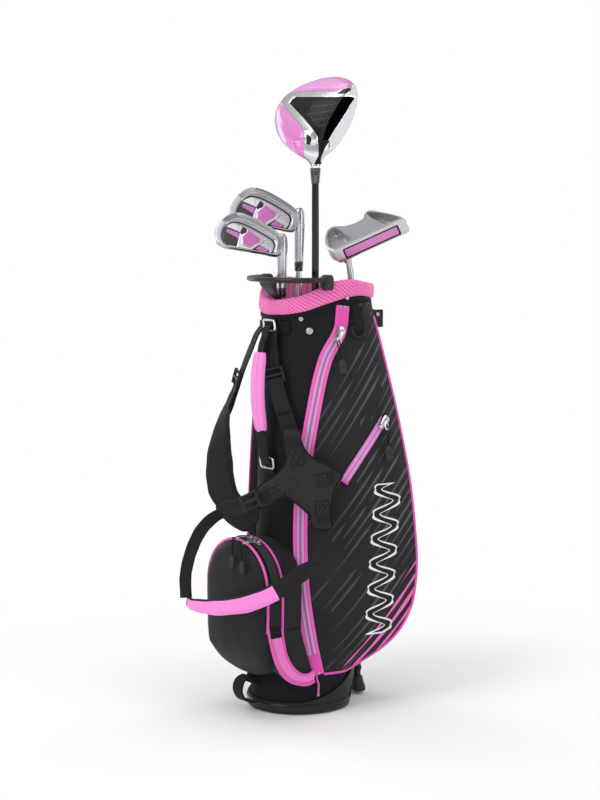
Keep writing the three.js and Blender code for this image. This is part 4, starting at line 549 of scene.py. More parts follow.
# ------------------------------------------------------------------ boot
def boot():
    def rimTop(th): y = BOOT_B * sin(th); return 15.5 + min(.0031 * max(0, y + 66) ** 2, 50)
    def under(y): return max(0.0, (y - FLAT_Y) * CUT)
    def pt(th, k, z):                                      # k: offset outwards from the boot wall at height z
        f = min(1, max(0, (z - 2) / max(1, rimTop(th) - 2))); return A((BOOT_A + k) * cos(th), (BOOT_B + k) * sin(th) + tC(z) * 1.0 * min(1, z / 12), z)
    n = 120; ths = [2 * pi * i / n for i in range(n)]; rings = []
    def base(k, dz):
        r = []
        for th in ths:
            x, y = (BOOT_A + k) * cos(th), (BOOT_B + k) * sin(th); z = under(y) + dz; r.append(A(x, y + tC(z) * min(1, z / 12), z))
        return r
    rings += [base(-62, 0), base(-46, 0), base(-30, 0), base(-14, 0), base(-6, 0), base(-2.4, .2), base(-.9, .9), base(-.2, 2.2), base(.1, 3.6)]
    for f in (.12, .3, .5, .7, .86):
        r = []
        for th in ths:
            z0 = under(BOOT_B * sin(th)) + 3.6; z1 = rimTop(th) - 2.2; z = lerp(z0, max(z1, z0 + .4), f); r.append(pt(th, .1 - .25 * sin(pi * f), z))
        rings.append(r)
    for k, dz in ((.15, -1.9), (.25, -.9), (-.2, -.15), (-1.4, 0), (-2.6, -.1), (-3.5, -.8), (-3.8, -2.2)):
        rings.append([pt(th, k, max(rimTop(th) + dz, under(BOOT_B * sin(th)) + 5)) for th in ths])
    def inner(k, f):
        r = []
        for th in ths:
            y = (BOOT_B + k) * sin(th); zf = max(8.0, (y - FLAT_Y) * CUT + 10.1); z1 = max(rimTop(th) - 2.2, zf + .5); z = lerp(z1, zf, f)
            r.append(A((BOOT_A - 3.85 + k + 0) * cos(th), (BOOT_B - 3.85 + k) * sin(th) + tC(z) * min(1, z / 12), z))
        return r
    rings += [inner(0, .4), inner(0, .85), inner(-1.2, 1.0), inner(-20, 1.0), inner(-40, 1.0), inner(-62, 1.0)]
    g = G("boot_shell"); o = g.obj(); x, y, z = g.sep(o)
    u = g.math("MAXIMUM", 0.0, g.math("MULTIPLY", g.math("SUBTRACT", y, FLAT_Y * MM), CUT)); low = g.map(g.math("SUBTRACT", z, u), .0125, .0115)
    nn = g.noise(o, 500, 3, .6); b = g.noise(o, 16, 3)
    g.set(base=g.mix(low, g.mix(b, C(24, 24, 26), C(32, 32, 35)), C(15, 15, 16)), rough=g.mixf(low, g.mixf(b, .44, .56), .2), spec=.25, coat=g.math("MULTIPLY", low, .25), coatr=.12, normal=g.bump(nn, .12, .0003))
    m = skin("boot", rings, g.m, caps=("fan", "fan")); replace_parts(m, "base_cup")
    # moulded step line round the lower rim
    L = []
    for i in range(120):
        th = 2 * pi * i / 120; y = BOOT_B * sin(th); z = under(y) + 12.2
        if z < rimTop(th) - 3: L.append((th, z))
    ang = sorted(L, key=lambda q: (q[0] - pi / 2) % (2 * pi))
    P = [pt(th, .35, z) for th, z in ang]
    if len(P) > 20:
        o2 = pipe("boot_rib", P, .9, M_GLOSS, sides=8)
boot()
dress("base_flap", M_RUB, .6, angle=30)
dress("leg_bracket", M_PLA, 1.0)
dress("collar_frame", mat_frame(), .5)

# ================================================================== apparel pocket
def mat_print():
    """u = distance across the front in metres, v = height in metres: slanted brush streaks, pink low on the right, wave ribbon"""
    g = G("panel_print"); u, v, w = g.sep(g.uv()); o = g.obj()
    h = weave(g, u, v, .0014); big = g.noise(o, 14, 3, .55); fine = g.noise(o, 420, 2, .6)
    base = g.mix(big, C(22, 21, 24), C(36, 35, 38))
    # streaks run up to the right and steepen with height: a curved coordinate across them
    x = g.math("SUBTRACT", u, .06); y = g.math("SUBTRACT", v, .20)
    ang = .90                                           # radians from horizontal, about 52 degrees
    al0 = g.math("ADD", g.math("MULTIPLY", x, cos(ang)), g.math("MULTIPLY", y, sin(ang)))
    ac0 = g.math("ADD", g.math("MULTIPLY", x, -sin(ang)), g.math("MULTIPLY", y, cos(ang)))
    bend = g.math("MULTIPLY", g.math("MULTIPLY", al0, al0), .35)
    ac = g.math("SUBTRACT", ac0, bend); al = al0
    pitch = .0098; q = g.math("DIVIDE", ac, pitch); row = g.math("FLOOR", q); fr = g.math("SUBTRACT", q, row)
    r1 = g.white(g.math("MULTIPLY", row, 7.13)); r2 = g.white(g.math("ADD", g.math("MULTIPLY", row, 3.7), 41.0)); r3 = g.white(g.math("ADD", g.math("MULTIPLY", row, 5.1), 17.0))
    ln = g.math("MULTIPLY_ADD", r2, .09, .075)           # length of one streak
    ph = g.math("ADD", g.math("DIVIDE", al, ln), g.math("MULTIPLY", r1, 9.0)); cell = g.math("FLOOR", ph); f = g.math("SUBTRACT", ph, cell)
    r4 = g.white(g.math("ADD", g.math("MULTIPLY", cell, 2.3), g.math("MULTIPLY", row, 11.7)))
    grow = g.map(f, .06, .80, .03, .20); off = g.map(f, .98, .80, 0, 1)
    grow = g.math("MULTIPLY", grow, off)
    d = g.math("ABSOLUTE", g.math("SUBTRACT", fr, .5)); line = g.map(g.math("SUBTRACT", grow, d), -.02, .03, 0, 1)
    line = g.math("MULTIPLY", line, g.math("GREATER_THAN", f, .05))
    rag = g.noise(g.comb(g.math("MULTIPLY", al, 60.0), g.math("MULTIPLY", ac, 900.0), 0.0), 1.0, 3, .6)
    side = g.map(g.math("SUBTRACT", u, g.math("MULTIPLY_ADD", v, -.03, .062)), -.02, .06, .10, 1.0)   # fainter to the left
    keep = g.math("GREATER_THAN", g.math("ADD", r4, g.math("MULTIPLY", side, .62)), .70)
    line = g.math("MULTIPLY", g.math("MULTIPLY", line, keep), g.map(rag, .28, .42))
    grey = g.mix(side, C(50, 50, 52), C(80, 80, 82))
    col = g.mix(line, base, grey)
    # pink streaks: low and right of a falling line
    pz = g.math("SUBTRACT", g.math("MULTIPLY_ADD", u, 1.60, -.040), v)     # > 0 low on the right
    pk = g.map(g.math("ADD", pz, g.math("MULTIPLY", g.math("SUBTRACT", r4, .5), .05)), 0.0, .004)
    q2 = g.math("DIVIDE", ac, .0105); fr2 = g.math("SUBTRACT", q2, g.math("FLOOR", q2)); row2 = g.math("FLOOR", q2); rr = g.white(g.math("MULTIPLY", row2, 4.9))
    wdt = g.math("ADD", g.map(g.math("ADD", pz, g.math("MULTIPLY", g.math("SUBTRACT", rr, .5), .06)), -.004, .11, .05, .38), g.math("MULTIPLY", g.sinw(al, .05, 1.0), .03))
    pl = g.map(g.math("SUBTRACT", wdt, g.math("ABSOLUTE", g.math("SUBTRACT", fr2, .5))), -.02, .02)
    pl = g.math("MULTIPLY", pl, g.map(g.math("ADD", pz, g.math("MULTIPLY", g.math("SUBTRACT", rr, .5), .07)), -.002, .004))
    pink = g.mix(g.noise(o, 60, 3), C(232, 92, 182), C(244, 120, 200))
    col = g.mix(g.math("MULTIPLY", line, g.map(pz, -.002, .008, 0, 1)), col, base)      # no grey streaks among the pink ones
    col = g.mix(pl, col, pink)
    # generic ribbon: a wave in black with a white outline standing up the panel
    z0, z1, amp, per = .108, .305, .0125, .0335
    vv = g.math("SUBTRACT", v, z0); cx = g.math("MULTIPLY_ADD", vv, .065, .1045)
    sn = g.math("MULTIPLY", g.math("SINE", g.math("MULTIPLY", vv, 2 * pi / per)), amp); slope = g.math("MULTIPLY", g.math("COSINE", g.math("MULTIPLY", vv, 2 * pi / per)), amp * 2 * pi / per)
    dist = g.math("DIVIDE", g.math("ABSOLUTE", g.math("SUBTRACT", g.math("SUBTRACT", u, cx), sn)), g.math("SQRT", g.math("MULTIPLY_ADD", slope, slope, 1.0)))
    # rounded ends of the ribbon
    endd = g.math("MAXIMUM", g.math("SUBTRACT", z0, v), g.math("SUBTRACT", v, z1)); dist = g.math("MAXIMUM", dist, g.math("ADD", endd, .002))
    wob = g.math("MULTIPLY", g.sinw(vv, per * .5, .8), .0007)
    white = g.map(dist, .0052, .0047); blk = g.map(g.math("ADD", dist, wob), .0033, .0028)
    col = g.mix(white, col, C(236, 236, 238)); col = g.mix(blk, col, C(20, 20, 22))
    # painted shade: colour darkened towards black in the weave valleys
    col = g.mix(g.math("MULTIPLY", g.math("SUBTRACT", .0, h, clamp=True), .3), col, (0, 0, 0, 1))
    wr = g.noise(g.scale(o, (1, 1, .5)), 20, 4, .6, .4)
    n1 = g.bump(wr, .22, .004); n2 = g.bump(h, .22, .0004, n1)
    g.set(base=col, rough=g.mixf(g.math("MAXIMUM", line, pl), g.mixf(big, .74, .84), .5), spec=.28, sheen=.1, normal=n2); return g.m

def apparel():
    M_PRN = mat_print(); nt, ns = 132, 44
    ts = [i / nt for i in range(nt + 1)]
    SS = [0, .015, .035, .06, .1] + list(np.linspace(.15, .85, ns - 14)) + [.9, .93, .955, .975, .99, 1.0]
    rings = []; uvs = []; NP = len(SS)
    for t in ts:
        ring = []; L, R = leftAt(t), OUTC.at(t); z = R[2]
        n = unit(A(R[1] - L[1], -(R[0] - L[0]), 0)); ln = math.hypot(R[0] - L[0], R[1] - L[1])
        bul = min(16, ln * .13)
        for s in SS:
            # the edge is tucked under the piping with a small radius
            p = L + (R - L) * s + n * (bul * max(0, sin(pi * s)) ** .75)
            q = mnoise.noise(Vector((s * 2.3, t * 6.0, 3.1))) * .9 + mnoise.noise(Vector((s * 5.0 + t * 2, t * 15.0, 7.7))) * .45
            p = p + n * q * min(1, 6 * s) * min(1, 6 * (1 - s)) - n * (.9 * max(0, 1 - s / .03) if s < .03 else 0)
            ring.append(p)
        wdt = min(1, max(0, (z - 50) / 60)); rear = toTube(44, tC(z) + 60, z, -1.5); 
        back = A(lerp(RX * 40, rear[0], wdt), lerp(RY * 40 + 4, rear[1], wdt), z)
        ax = unit(back - R)
        K = (.0, .03, .07, .12, .2, .3, .4, .5, .6, .7, .8, .9, 1.0)
        mid = A(lerp(R[0], back[0], .5) + 2, lerp(R[1], back[1], .5) + 3, z)
        G_ = Crv([R, lerp(R, back, .04) + A(0, 1.5, 0), mid, back])
        for j, k in enumerate(K[1:]):
            p = G_.at(k * .999); q = mnoise.noise(Vector((k * 3, t * 9.0, 1.3))) * 1.3 * sin(pi * k)
            ring.append(A(p[0] + q * RX * .4, p[1] + q * .9, z))
        # far side of the closed surface, hidden against the tube
        deep = toTube(20, tC(z) + 20, z, -3.2)
        ring.append(toTube(back[0], back[1] + 1, z, -3.2) if wdt >= 1 else A(back[0] - 2, back[1], z))
        for k in (.25, .5, .75):
            p = lerp(back, np.array(L), k); ring.append(toTube(p[0], p[1], z, -3.0))
        rings.append([keepOut(p, .35) if i < NP + 12 and lowS(atan2((p[1] - tC(p[2])) / tB(p[2]), p[0] / tA(p[2]))) - .6 > p[2] else A(*p) for i, p in enumerate(ring)])
    # near the collar cushion a limit is worked out for each point, but the points are left unchanged
    for ring in rings:
        for i, p in enumerate(ring):
            th = atan2((p[1] - tC(p[2])) / tB(p[2]), p[0] / tA(p[2])); lo = lowS(th)
            if p[2] > lo - 3 and level(p) < 13:
                f = (p[2] - lo) / max(1, rimS(th) - lo)
                lim = 8.0 if f < .12 else 10.6 if f < .8 else 6
                ring[i] = p
    m, n = len(rings), len(rings[0])
    R = np.array(rings); rr = (R[:, :, 0] * RX + R[:, :, 1] * RY) * MM; zz = R[:, :, 2] * MM
    g_u = np.concatenate([np.zeros((m, 1)), np.cumsum(np.linalg.norm(np.diff(R, axis=1), axis=2), axis=1)], 1) * MM
    def uvf(i, k):
        k = min(k, n - 1); i = min(i, m - 1)
        return (float(rr[i, k]), float(zz[i, k])) if k <= NP - 1 else (float(g_u[i, k]), float(zz[i, k]))
    ap = skin("pocket_apparel", rings, [M_PRN, M_FAB], wrap=True, caps=("flat", "flat"), uv=uvf, pick=lambda i, k: 0 if k < NP - 1 else 1, sharp=50)
    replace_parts(ap, "apparel_pocket")
    return rings, NP
AP, AP_NP = apparel()

# ------------------------------------------------------------------ piping round the printed panel
def piping():
    P = []
    for i in range(150):
        t = lerp(.035, 1, i / 149); R = OUTC.at(t); L = leftAt(t); n = unit(A(R[1] - L[1], -(R[0] - L[0]), 0)); P.append(R + n * .5 + A(RX, RY, 0) * .3)
    # along the bottom edge of the panel to the foot of the long zip
    E = []
    for k in range(1, 24):
        s = 1 - k / 24; p = panelAt(s, 1.0); E.append(keepOut(p + A(0, 0, -.4), 1.2))
    P = np.array(P + E); P = Crv(P[::2]).spaced(190)
    a = pipe("panel_piping", P, 1.75, M_PIPE, sides=12)
    # points for a flat stitched flange beside the cord, on the panel; no flange is built
    Q = [p for p in P[6:150]]
    b = None
    return P
PP = piping()

# ------------------------------------------------------------------ zips
def zip_at(zP, W, hw, th, mat, name, node, ends=None):
    sec = [(hw, 0), (hw, th * .45), (hw - .5, th * .5 + .35), (hw - 2.2, th * .5 + .45), (hw - 3.0, th * .5 - .05), (2.1, th * .5 - .05), (1.6, th * .5 + .75), (.25, th * .5 + .95), (0, th * .5 + .7), (-.25, th * .5 + .95), (-1.6, th * .5 + .75), (-2.1, th * .5 - .05),
           (-hw + 3.0, th * .5 - .05), (-hw + 2.2, th * .5 + .45), (-hw + .5, th * .5 + .35), (-hw, th * .45), (-hw, 0), (-hw, -th * .5), (0, -th * .5), (hw, -th * .5)]
    z = sweep(name, zP, W, sec, mat, sharp=60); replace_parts(z, node); return z
def long_zip():
    n = 150; zt = [i / (n - 1) for i in range(n)]; P = []; 
    for t in zt:
        p = ZIP.at(t); P.append(toTube(p[0], p[1], p[2], .45 + 1.2))
    W = lambda t, p: np.cross(zipDir(t), tubeN(p))
    z = zip_at(P, W, 9.4, 2.4, [M_ZIPL], "zip_long", "long_zip")
    # solid end patches above the slider and at the foot
    def patch(name, t0, t1, mat):
        Q = []; m = 26
        for i in range(m):
            p = ZIP.at(lerp(t0, t1, i / (m - 1))); Q.append(toTube(p[0], p[1], p[2], 3.2))
        o = sweep(name, Q, lambda t, p: np.cross(zipDir(lerp(t0, t1, t)), tubeN(p)), rrect(7.6, .55, .5, 6, 2), mat)
    patch("zip_end_top", .012, .115, M_PATCH); patch("zip_end_foot", .925, .992, M_PATCH)
    # thin cord hanging from the foot, over the boot
    p0 = ZIP.at(.99); a = toTube(p0[0], p0[1], 56, 2.4); b = toTube(p0[0] + .6, p0[1] - 1, 48, 4.6)
    R = []
    for z in (41, 33, 25): 
        th = atan2(-25 / 74, 66 / 70); R.append(A((BOOT_A + 2.1) * cos(-.355), (BOOT_B + 2.1) * sin(-.355) + tC(z), z))
    Q = Crv([a, b] + R).spaced(26)
    c = pipe("zip_tail_cord", Q, lambda t: 1.7 if t > .9 else 1.35, M_PIPE, sides=10)
long_zip()

DZ = [panelFind(r, z) for r, z in [(58, 312), (68, 328), (80, 347), (92, 366), (104, 384), (112, 396)]]
def diag():
    # same stations as the zip tape, smoothed
    n = 61; P = []; N = []
    for i in range(13):
        f = i / 12 * 5; k = min(int(f), 4); u = f - k; s = lerp(DZ[k][0], DZ[k + 1][0], u); t = lerp(DZ[k][1], DZ[k + 1][1], u)
        nn = panelN(s, t); N.append(nn); P.append(panelAt(s, t) + nn * 1.45)
    P = np.array(P); N = np.array(N)
    for _ in range(14): P[1:-1] = P[1:-1] * .5 + (P[:-2] + P[2:]) * .25; N[1:-1] = N[1:-1] * .5 + (N[:-2] + N[2:]) * .25
    P = P + N * .5; PC, NC = Crv(P), Crv(N); Q = [PC.at(i / (n - 1)) for i in range(n)]; NN = [unit(NC.at(i / (n - 1))) for i in range(n)]; T = tangents(Q)
    z = zip_at(Q, lambda t, p: np.cross(T[int(round(t * (n - 1)))], NN[int(round(t * (n - 1)))]), 5.5, 2.2, [M_ZIPD], "zip_diagonal", "diagonal_zip")
    # stitched reinforcing bars across both ends
    for q, k in ((1, "a"), (n - 2, "b")):
        w = np.cross(T[q], NN[q]); c = Q[q] + NN[q] * 1.2
        o = sweep("zip_stop_" + k, [c - w * 6.2, c - w * 3, c, c + w * 3, c + w * 6.2], T[q], rrect(1.7, .6, .5, 3, 2), M_PATCH if k == "a" else M_TRIM)
    return Q, NN
DQ, DN = diag()

# ------------------------------------------------------------------ side pocket on the far side
def side_pocket():
    nz_, nu = 72, 40; rings = []
    def fill(t): return sst(0, .10, t) * sst(0, .10, 1 - t)
    for i in range(nz_ + 1):
        t = i / nz_; z = lerp(80.5, 429.5, t); d = 25.2 * max(0.02, sin(pi * min(1, max(0, t)))) ** .32 * (1 if .02 < t < .98 else .4); ring = []
        for k in range(nu + 1):
            u = lerp(-.745, .745, k / nu); f = max(0.015, 1 - abs(u / .745) ** 3.4); w = mnoise.noise(Vector((u * 4, t * 8, 2.0))) * 1.0 * f
            ring.append(onT(pi + u, z, max(.36, min(26.6, d * f + w))))
        for u in (.73, .35, 0, -.35, -.73): ring.append(onT(pi + u, z, .36))
        rings.append(ring)
    m = skin("pocket_side", rings, [M_FAB], caps=("flat", "flat"), sharp=50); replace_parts(m, "side_pocket")
    def edge(f):
        P = []
        for i in range(97):
            t = i / 96; z = lerp(84, 426, t); d = 25.2 * max(.02, sin(pi * t)) ** .32; u = .745 * f
            P.append(onT(pi + u, z, max(1.0, d * (1 - abs(f) ** 3.4) + .9)))
        return P
    # piping where the front face meets the gusset, one closed loop
    L = []
    for i in range(90): q = 2 * pi * i / 90; uu = .60 * math.copysign(abs(cos(q)) ** .5, cos(q)); tt = .5 + .47 * math.copysign(abs(sin(q)) ** .35, sin(q)); z = lerp(80.5, 429.5, tt); d = 25.2 * max(.02, sin(pi * tt)) ** .32; L.append(onT(pi + uu, z, d * (1 - abs(uu / .745) ** 3.4) + .8))
    L = Crv(L, closed=True).spaced(200); o = pipe("side_piping", L, 1.6, M_PIPE, sides=10, closed=True)
    # zip down the rear edge of that pocket
    Z = []
    for i in range(70): z = lerp(410, 120, i / 69); Z.append(onT(pi - .40, z, 25.2 * max(.02, sin(pi * (z - 80.5) / 349)) ** .32 * (1 - (.40 / .745) ** 3.4) + 1.1))
    o = sweep("side_zip", Z, lambda t, p: np.cross(A(0, 0, -1), unit(A(-1, .35, 0))), [(5, 0), (4.6, .6), (1.6, .7), (1.2, 1.3), (0, 1.5), (-1.2, 1.3), (-1.6, .7), (-4.6, .6), (-5, 0), (-4, -.8), (4, -.8)], M_ZIPB)
side_pocket()

# ================================================================== ball pocket
BR, BCZ = 62, 174
def ballOut(n=120):
    P = [(BR * cos(pi * i / 24), BCZ + BR * sin(pi * i / 24)) for i in range(25)] + [(-61.5, 130), (-60, 95), (-48, 68), (-25, 57), (0, 54), (25, 57), (48, 68), (60, 95), (61.5, 130)]
    return Crv([(x, 0, z) for x, z in P], closed=True).spaced(n)
BO = ballOut(); taper = lambda z: max(0, 92 - z) * .5
def ballLayer(k, y, tp=1.0): return [A(p[0] * k, y + tp * taper((p[2] - 150) * k + 150), (p[2] - 150) * k + 150) for p in BO]
def ball_pocket():
    # front cushion bulges softly; the rim is tucked in behind the front piping
    keys = [(.03, -119.0), (.25, -118.9), (.45, -118.2), (.64, -117.2), (.8, -115.6), (.9, -113.6), (.955, -111.6), (.985, -109.6), (1.0, -107.4), (1.004, -103), (1.006, -98), (1.008, -92), (1.01, -84), (1.01, -76), (1.005, -66), (1.0, -58), (1.0, -49.6)]
    rings = []
    for k, y in keys:
        ring = []
        for p in ballLayer(k, y):
            f = min(1, max(0, (p[1] + 112) / -8)) if y < -112 else 0
            w = mnoise.noise(Vector((p[0] * .025, p[2] * .025, 9.0))) * 1.2 * (1 if y < -112 else 0) - (1.6 * sst(.75, .95, k) * (1 - sst(.95, 1.0, k)))
            q = A(p[0], p[1] + w * .8, p[2])
            if y >= -112: q = q + unit(A(p[0], 0, p[2] - 150)) * (mnoise.noise(Vector((p[0] * .03, y * .03, p[2] * .03))) * .7 - .3 * (1 if -104 < y < -80 else 0))
            q[1] = min(q[1], -49.6 + .0) if p[2] > 120 else q[1]
            ring.append(q if level(q) > .4 else toTube(q[0], q[1], q[2], .4))
        rings.append(ring)
    # the lower rear edge follows the tube and the boot
    m = skin("pocket_ball", rings, M_FAB2, uv=None, caps=("fan", "fan"), sharp=60)
    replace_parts(m, "ball_pocket")
def loopPart(y, off, r, name, a0=None, a1=None, mat=None, tp=1.0):
    """cord following the pocket outline at depth y, between outline angles a0..a1 (degrees about the middle, anticlockwise)"""
    P = []
    for p in BO:
        d = unit(A(p[0], 0, p[2] - 150)); P.append(A(p[0] * 1.006, y + tp * taper(p[2]), (p[2] - 150) * 1.006 + 150) + d * off)
    ang = np.array([math.degrees(atan2(p[2] - 150, p[0])) % 360 for p in BO])
    if a0 is None: Q = Crv(P[::2], closed=True).spaced(220); o = pipe(name, Q, r, mat or M_PIPE, sides=12, closed=True)
    else:
        o_ = np.argsort((ang - a0) % 360); Q = [P[i] for i in o_ if (ang[i] - a0) % 360 <= (a1 - a0) % 360]
        Q = Crv(Q[::2]).spaced(180); o = pipe(name, Q, r, mat or M_PIPE, sides=12)
    return Q
ball_pocket()
# front piping from the lower right round over the top and down the left side
FP = loopPart(-107.9, 1.6, 1.85, "ball_piping_front", 333, 216 + 360)
RP = loopPart(-82.6, .9, 1.7, "ball_piping_rear", 322, 200 + 360)
def ball_zip():
    n = 90; P = []
    for i in range(n):
        a = lerp(-.18, pi + .18, i / (n - 1)); P.append(A((BR + 2.6) * cos(a), -95, BCZ + (BR + 2.6) * sin(a)))
    z = zip_at(P, (0, 1, 0), 6.5, 2.2, [M_ZIPB], "zip_ball", "ball_zip")
    for s in (0, n - 1):
        c = P[s]; o = sweep("ball_zip_stop_%d" % s, [c + A(0, -6.6, 0), c, c + A(0, 6.6, 0)], A(0, 0, 1), rrect(3.4, .9, .7, 3, 2), M_TRIM)
ball_zip()
# gusset skirt: the pocket's side wall runs back and down to the foot of the long zip
def gusset():
    F = [onPlane(px, py, (1, 0, 0), x) for px, py, x in ((267.5, 628, 62.6), (269.5, 640, 62.9), (272.5, 653, 63.3), (277, 666, 63.8), (283.5, 676.5, 64.3), (291.5, 682, 65.0), (300, 684.2, 65.8), (307.5, 684.2, 66.6), (314, 681, 67.4))]
    R = [onPlane(px, py, (1, 0, 0), x) for px, py, x in ((281.5, 628, 63.0), (283.2, 642, 63.2), (285.2, 652, 63.5), (288.5, 661, 64.0), (293.5, 668.5, 64.6), (299, 673.2, 65.3), (304.5, 675, 66.0), (309, 673.8, 66.7), (314, 670.5, 67.4))]
    n = 72; FC, RC = Crv(F).spaced(n), Crv(R).spaced(n)
    # black side wall behind the strip
    top = [A(60, y, 122) for y in np.linspace(-104, -54, 30)] + [A(60, lerp(-54, -34, j / 12), lerp(122, 62, j / 12)) for j in range(1, 13)]
    low = Crv([A(p[0] - 1.2, p[1] + .6, p[2] + .6) for p in F]).spaced(60)
    poly = [(p[1], p[2]) for p in low] + [(p[1], p[2]) for p in top[::-1]]
    c = np.mean(poly, 0); rings = []
    xof = lambda y: lerp(62.4, 66.2, min(1, max(0, (y + 106) / 78)))
    for k, dx in ((.03, .3), (.3, .3), (.6, .2), (.85, 0), (.94, -.2), (.985, -.9), (1.0, -2.2), (1.0, -9), (.95, -20), (.85, -30), (.03, -30)):
        rings.append([A(xof(y) + dx, c[0] + (y - c[0]) * k, c[1] + (z - c[1]) * k) for y, z in poly])
    o = skin("pocket_gusset_wall", rings, M_FAB2, sharp=60)
    # pink strip between the two cords
    rings = []
    for i in range(n + 1):
        f, r = FC[i], RC[i]; d = r - f; nn = unit(np.cross(d, FC[min(i + 1, n)] - FC[max(i - 1, 0)])); nn = nn if nn[0] > 0 else -nn; ring = []
        for j in range(9): s_ = j / 8; ring.append(f + d * s_ + nn * (.5 + .7 * sin(pi * s_)))
        for j in range(8, -1, -1): s_ = j / 8; ring.append(f + d * s_ - nn * .9)
        rings.append(ring)
    q = int(n * .13)
    o = skin("pocket_gusset_pink", rings[q:], M_GUSP, sharp=50)
    o = skin("pocket_gusset_black", rings[:q + 1], M_ZIPX, sharp=50)
    a = pipe("gusset_piping_front", [p + A(.9, 0, -.3) for p in FC], 1.8, M_PIPE, sides=12)
    b = pipe("gusset_piping_rear", [p + A(.9, 0, .2) for p in RC], 1.6, M_PIPE, sides=12)
    # dashed sewing line just inside the front cord
    segs = []
    for i in range(q + 2, n - 2, 2): p0, p1 = FC[i] + (RC[i] - FC[i]) * .2 + A(1.35, 0, 0), FC[i + 1] + (RC[i + 1] - FC[i + 1]) * .2 + A(1.35, 0, 0); segs.append(pipe("s", [p0, (p0 + p1) / 2, p1], .33, M_STP, sides=6))
    o = joinup("gusset_stitch", segs)
M_ZIPX = fabric("zip_tape_black", C(18, 18, 20), C(27, 27, 29), pitch=.0011)
M_STP = plastic("thread_dark_pink", C(150, 40, 110), C(168, 52, 124), rough=.6)
gusset()

# ================================================================== sliders and pulls
def fr3(d, n):
    d = unit(d); n = unit(n - d * (np.asarray(n) @ d)); return d, n, np.cross(d, n)
def slider(name, c, d, n, w, l, h, mat, body, node=None, bridge=True):
    d, n, s = fr3(d, n); c = A(*c)
    out = [(-w * .30, -l / 2), (w * .30, -l / 2), (w * .36, -l * .40), (w * .44, -l * .02), (w / 2, l * .22), (w * .48, l * .36), (w * .34, l / 2), (0, l * .54), (-w * .34, l / 2), (-w * .48, l * .36), (-w / 2, l * .22), (-w * .44, -l * .02), (-w * .36, -l * .40)]
    P = Crv([(a, b, 0) for a, b in out], closed=True).spaced(40)[:, :2]
    parts = [rail(name + "_1", P, 0, h * .48, c, s, d, n, mat, body, bev=.55)]
    Q = [c + d * a + n * b for a, b in ((-l * .36, h * .40), (-l * .30, h * .80), (-l * .12, h * .98), (l * .14, h * .98), (l * .30, h * .78), (l * .36, h * .40))]
    parts.append(sweep(name + "_2", Crv(Q).spaced(18), s, rrect(1.5, .45, .4, 3, 2), mat, body))
    o = joinup(name, parts)
    if node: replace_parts(o, node)
    return o
def puller(top, down, n, ln, w, body, node, name, bodyobj=None):
    """cord loop with a moulded tab"""
    d, n, s = fr3(down, n); o = A(*top)
    L = ln * .60
    loop = [o + n * .2 + s * a + d * b for a, b in ((0, -2.4), (1.7, -1.4), (1.75, 3), (1.2, L * .45), (1.05, L * .8), (1.2, L + 3), (0, L + 5), (-1.2, L + 3), (-1.05, L * .8), (-1.2, L * .45), (-1.75, 3), (-1.7, -1.4))]
    parts = [pipe(name + "_1", Crv(loop, closed=True).spaced(64), .85, M_PCORD, body, 8, closed=True)]
    def st(a, hw, ht): return [o + d * a + s * x + n * y for x, y in rrect(hw, ht, ht * .9, 4, 3)]
    K = [(L - 1.5, w * .20, 1.1), (L - .6, w * .27, 1.5), (L + 1.2, w * .34, 1.9), (L + 3, w * .42, 2.0), (L + 6, w * .47, 1.8), (L + 8, w * .48, 1.65), (L + 10, w * .49, 1.85), (ln - 3.6, w * .5, 2.0), (ln - 1.6, w * .46, 1.8), (ln - .5, w * .38, 1.3), (ln, w * .28, .7)]
    KC = Crv(K); parts.append(skin(name + "_2", [st(*KC.at(i / 32)) for i in range(33)], M_RUB, body))
    for k in range(4):                                    # raised grip bars on the tab
        a = L + 5.5 + k * 2.6; q = [o + d * a + s * x + n * 1.75 for x in (-w * .34, -w * .17, 0, w * .17, w * .34)]
        parts.append(pipe(name + "_b", q, .55, M_RUB, body, 8))
    ob = joinup(name, parts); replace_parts(ob, node); return ob
M_PCORD = fabric("pull_cord_black", C(20, 20, 22), C(34, 34, 36), pitch=.0012, wrinkle=.1, bump=.6)
M_DCHR = metal("dark_chrome", C(196, 197, 200), .14, r2=.1)
S1z = ZIP.at(.142); S1 = toTube(S1z[0], S1z[1], S1z[2], 3.2); S1n = tubeN(S1); S1d = unit(ZIP.at(.09) - ZIP.at(.19))
o = slider("slider_long", S1, S1d, S1n, 11, 19, 7, M_CHR, "long_slider", "long_slider")
P1 = S1 + S1n * 6.2 - S1d * 10.8
ring1 = pipe("slider_long_ring", Crv([S1 + S1n * a - S1d * b + np.cross(S1d, S1n) * c for a, b, c in ((5.6, 4.4, 0), (6.2, 5.8, 2.0), (6.4, 9.6, 2.4), (6.2, 11.8, 1.6), (6.2, 12.4, 0), (6.2, 11.8, -1.6), (6.4, 9.6, -2.4), (6.2, 5.8, -2.0))], closed=True).spaced(40), .75, M_CHR, "long_puller", 8, closed=True)
puller(P1, [.16, .1, -.98], S1n, 42, 10, "long_puller", "long_puller", "pull_long")
k = 11; PA = [panelAt(lerp(DZ[min(int(i / 12 * 5), 4)][0], DZ[min(int(i / 12 * 5), 4) + 1][0], i / 12 * 5 - min(int(i / 12 * 5), 4)), lerp(DZ[min(int(i / 12 * 5), 4)][1], DZ[min(int(i / 12 * 5), 4) + 1][1], i / 12 * 5 - min(int(i / 12 * 5), 4))) for i in (10, 11, 12)]
S2, S2n, S2d = A(103.1318, 57.7514, 390.3835), A(.9884, -.0988, .1154), A(-.0228, .6495, .76); P2 = A(109.6668, 58.6981, 383.0299)
o = slider("slider_diagonal", S2 - S2n * .6, DQ[58] - DQ[46], S2n, 10.5, 18, 6.6, M_CHR, "diagonal_slider", "diagonal_slider")
sd, sn, ss = fr3(S2d, S2n)
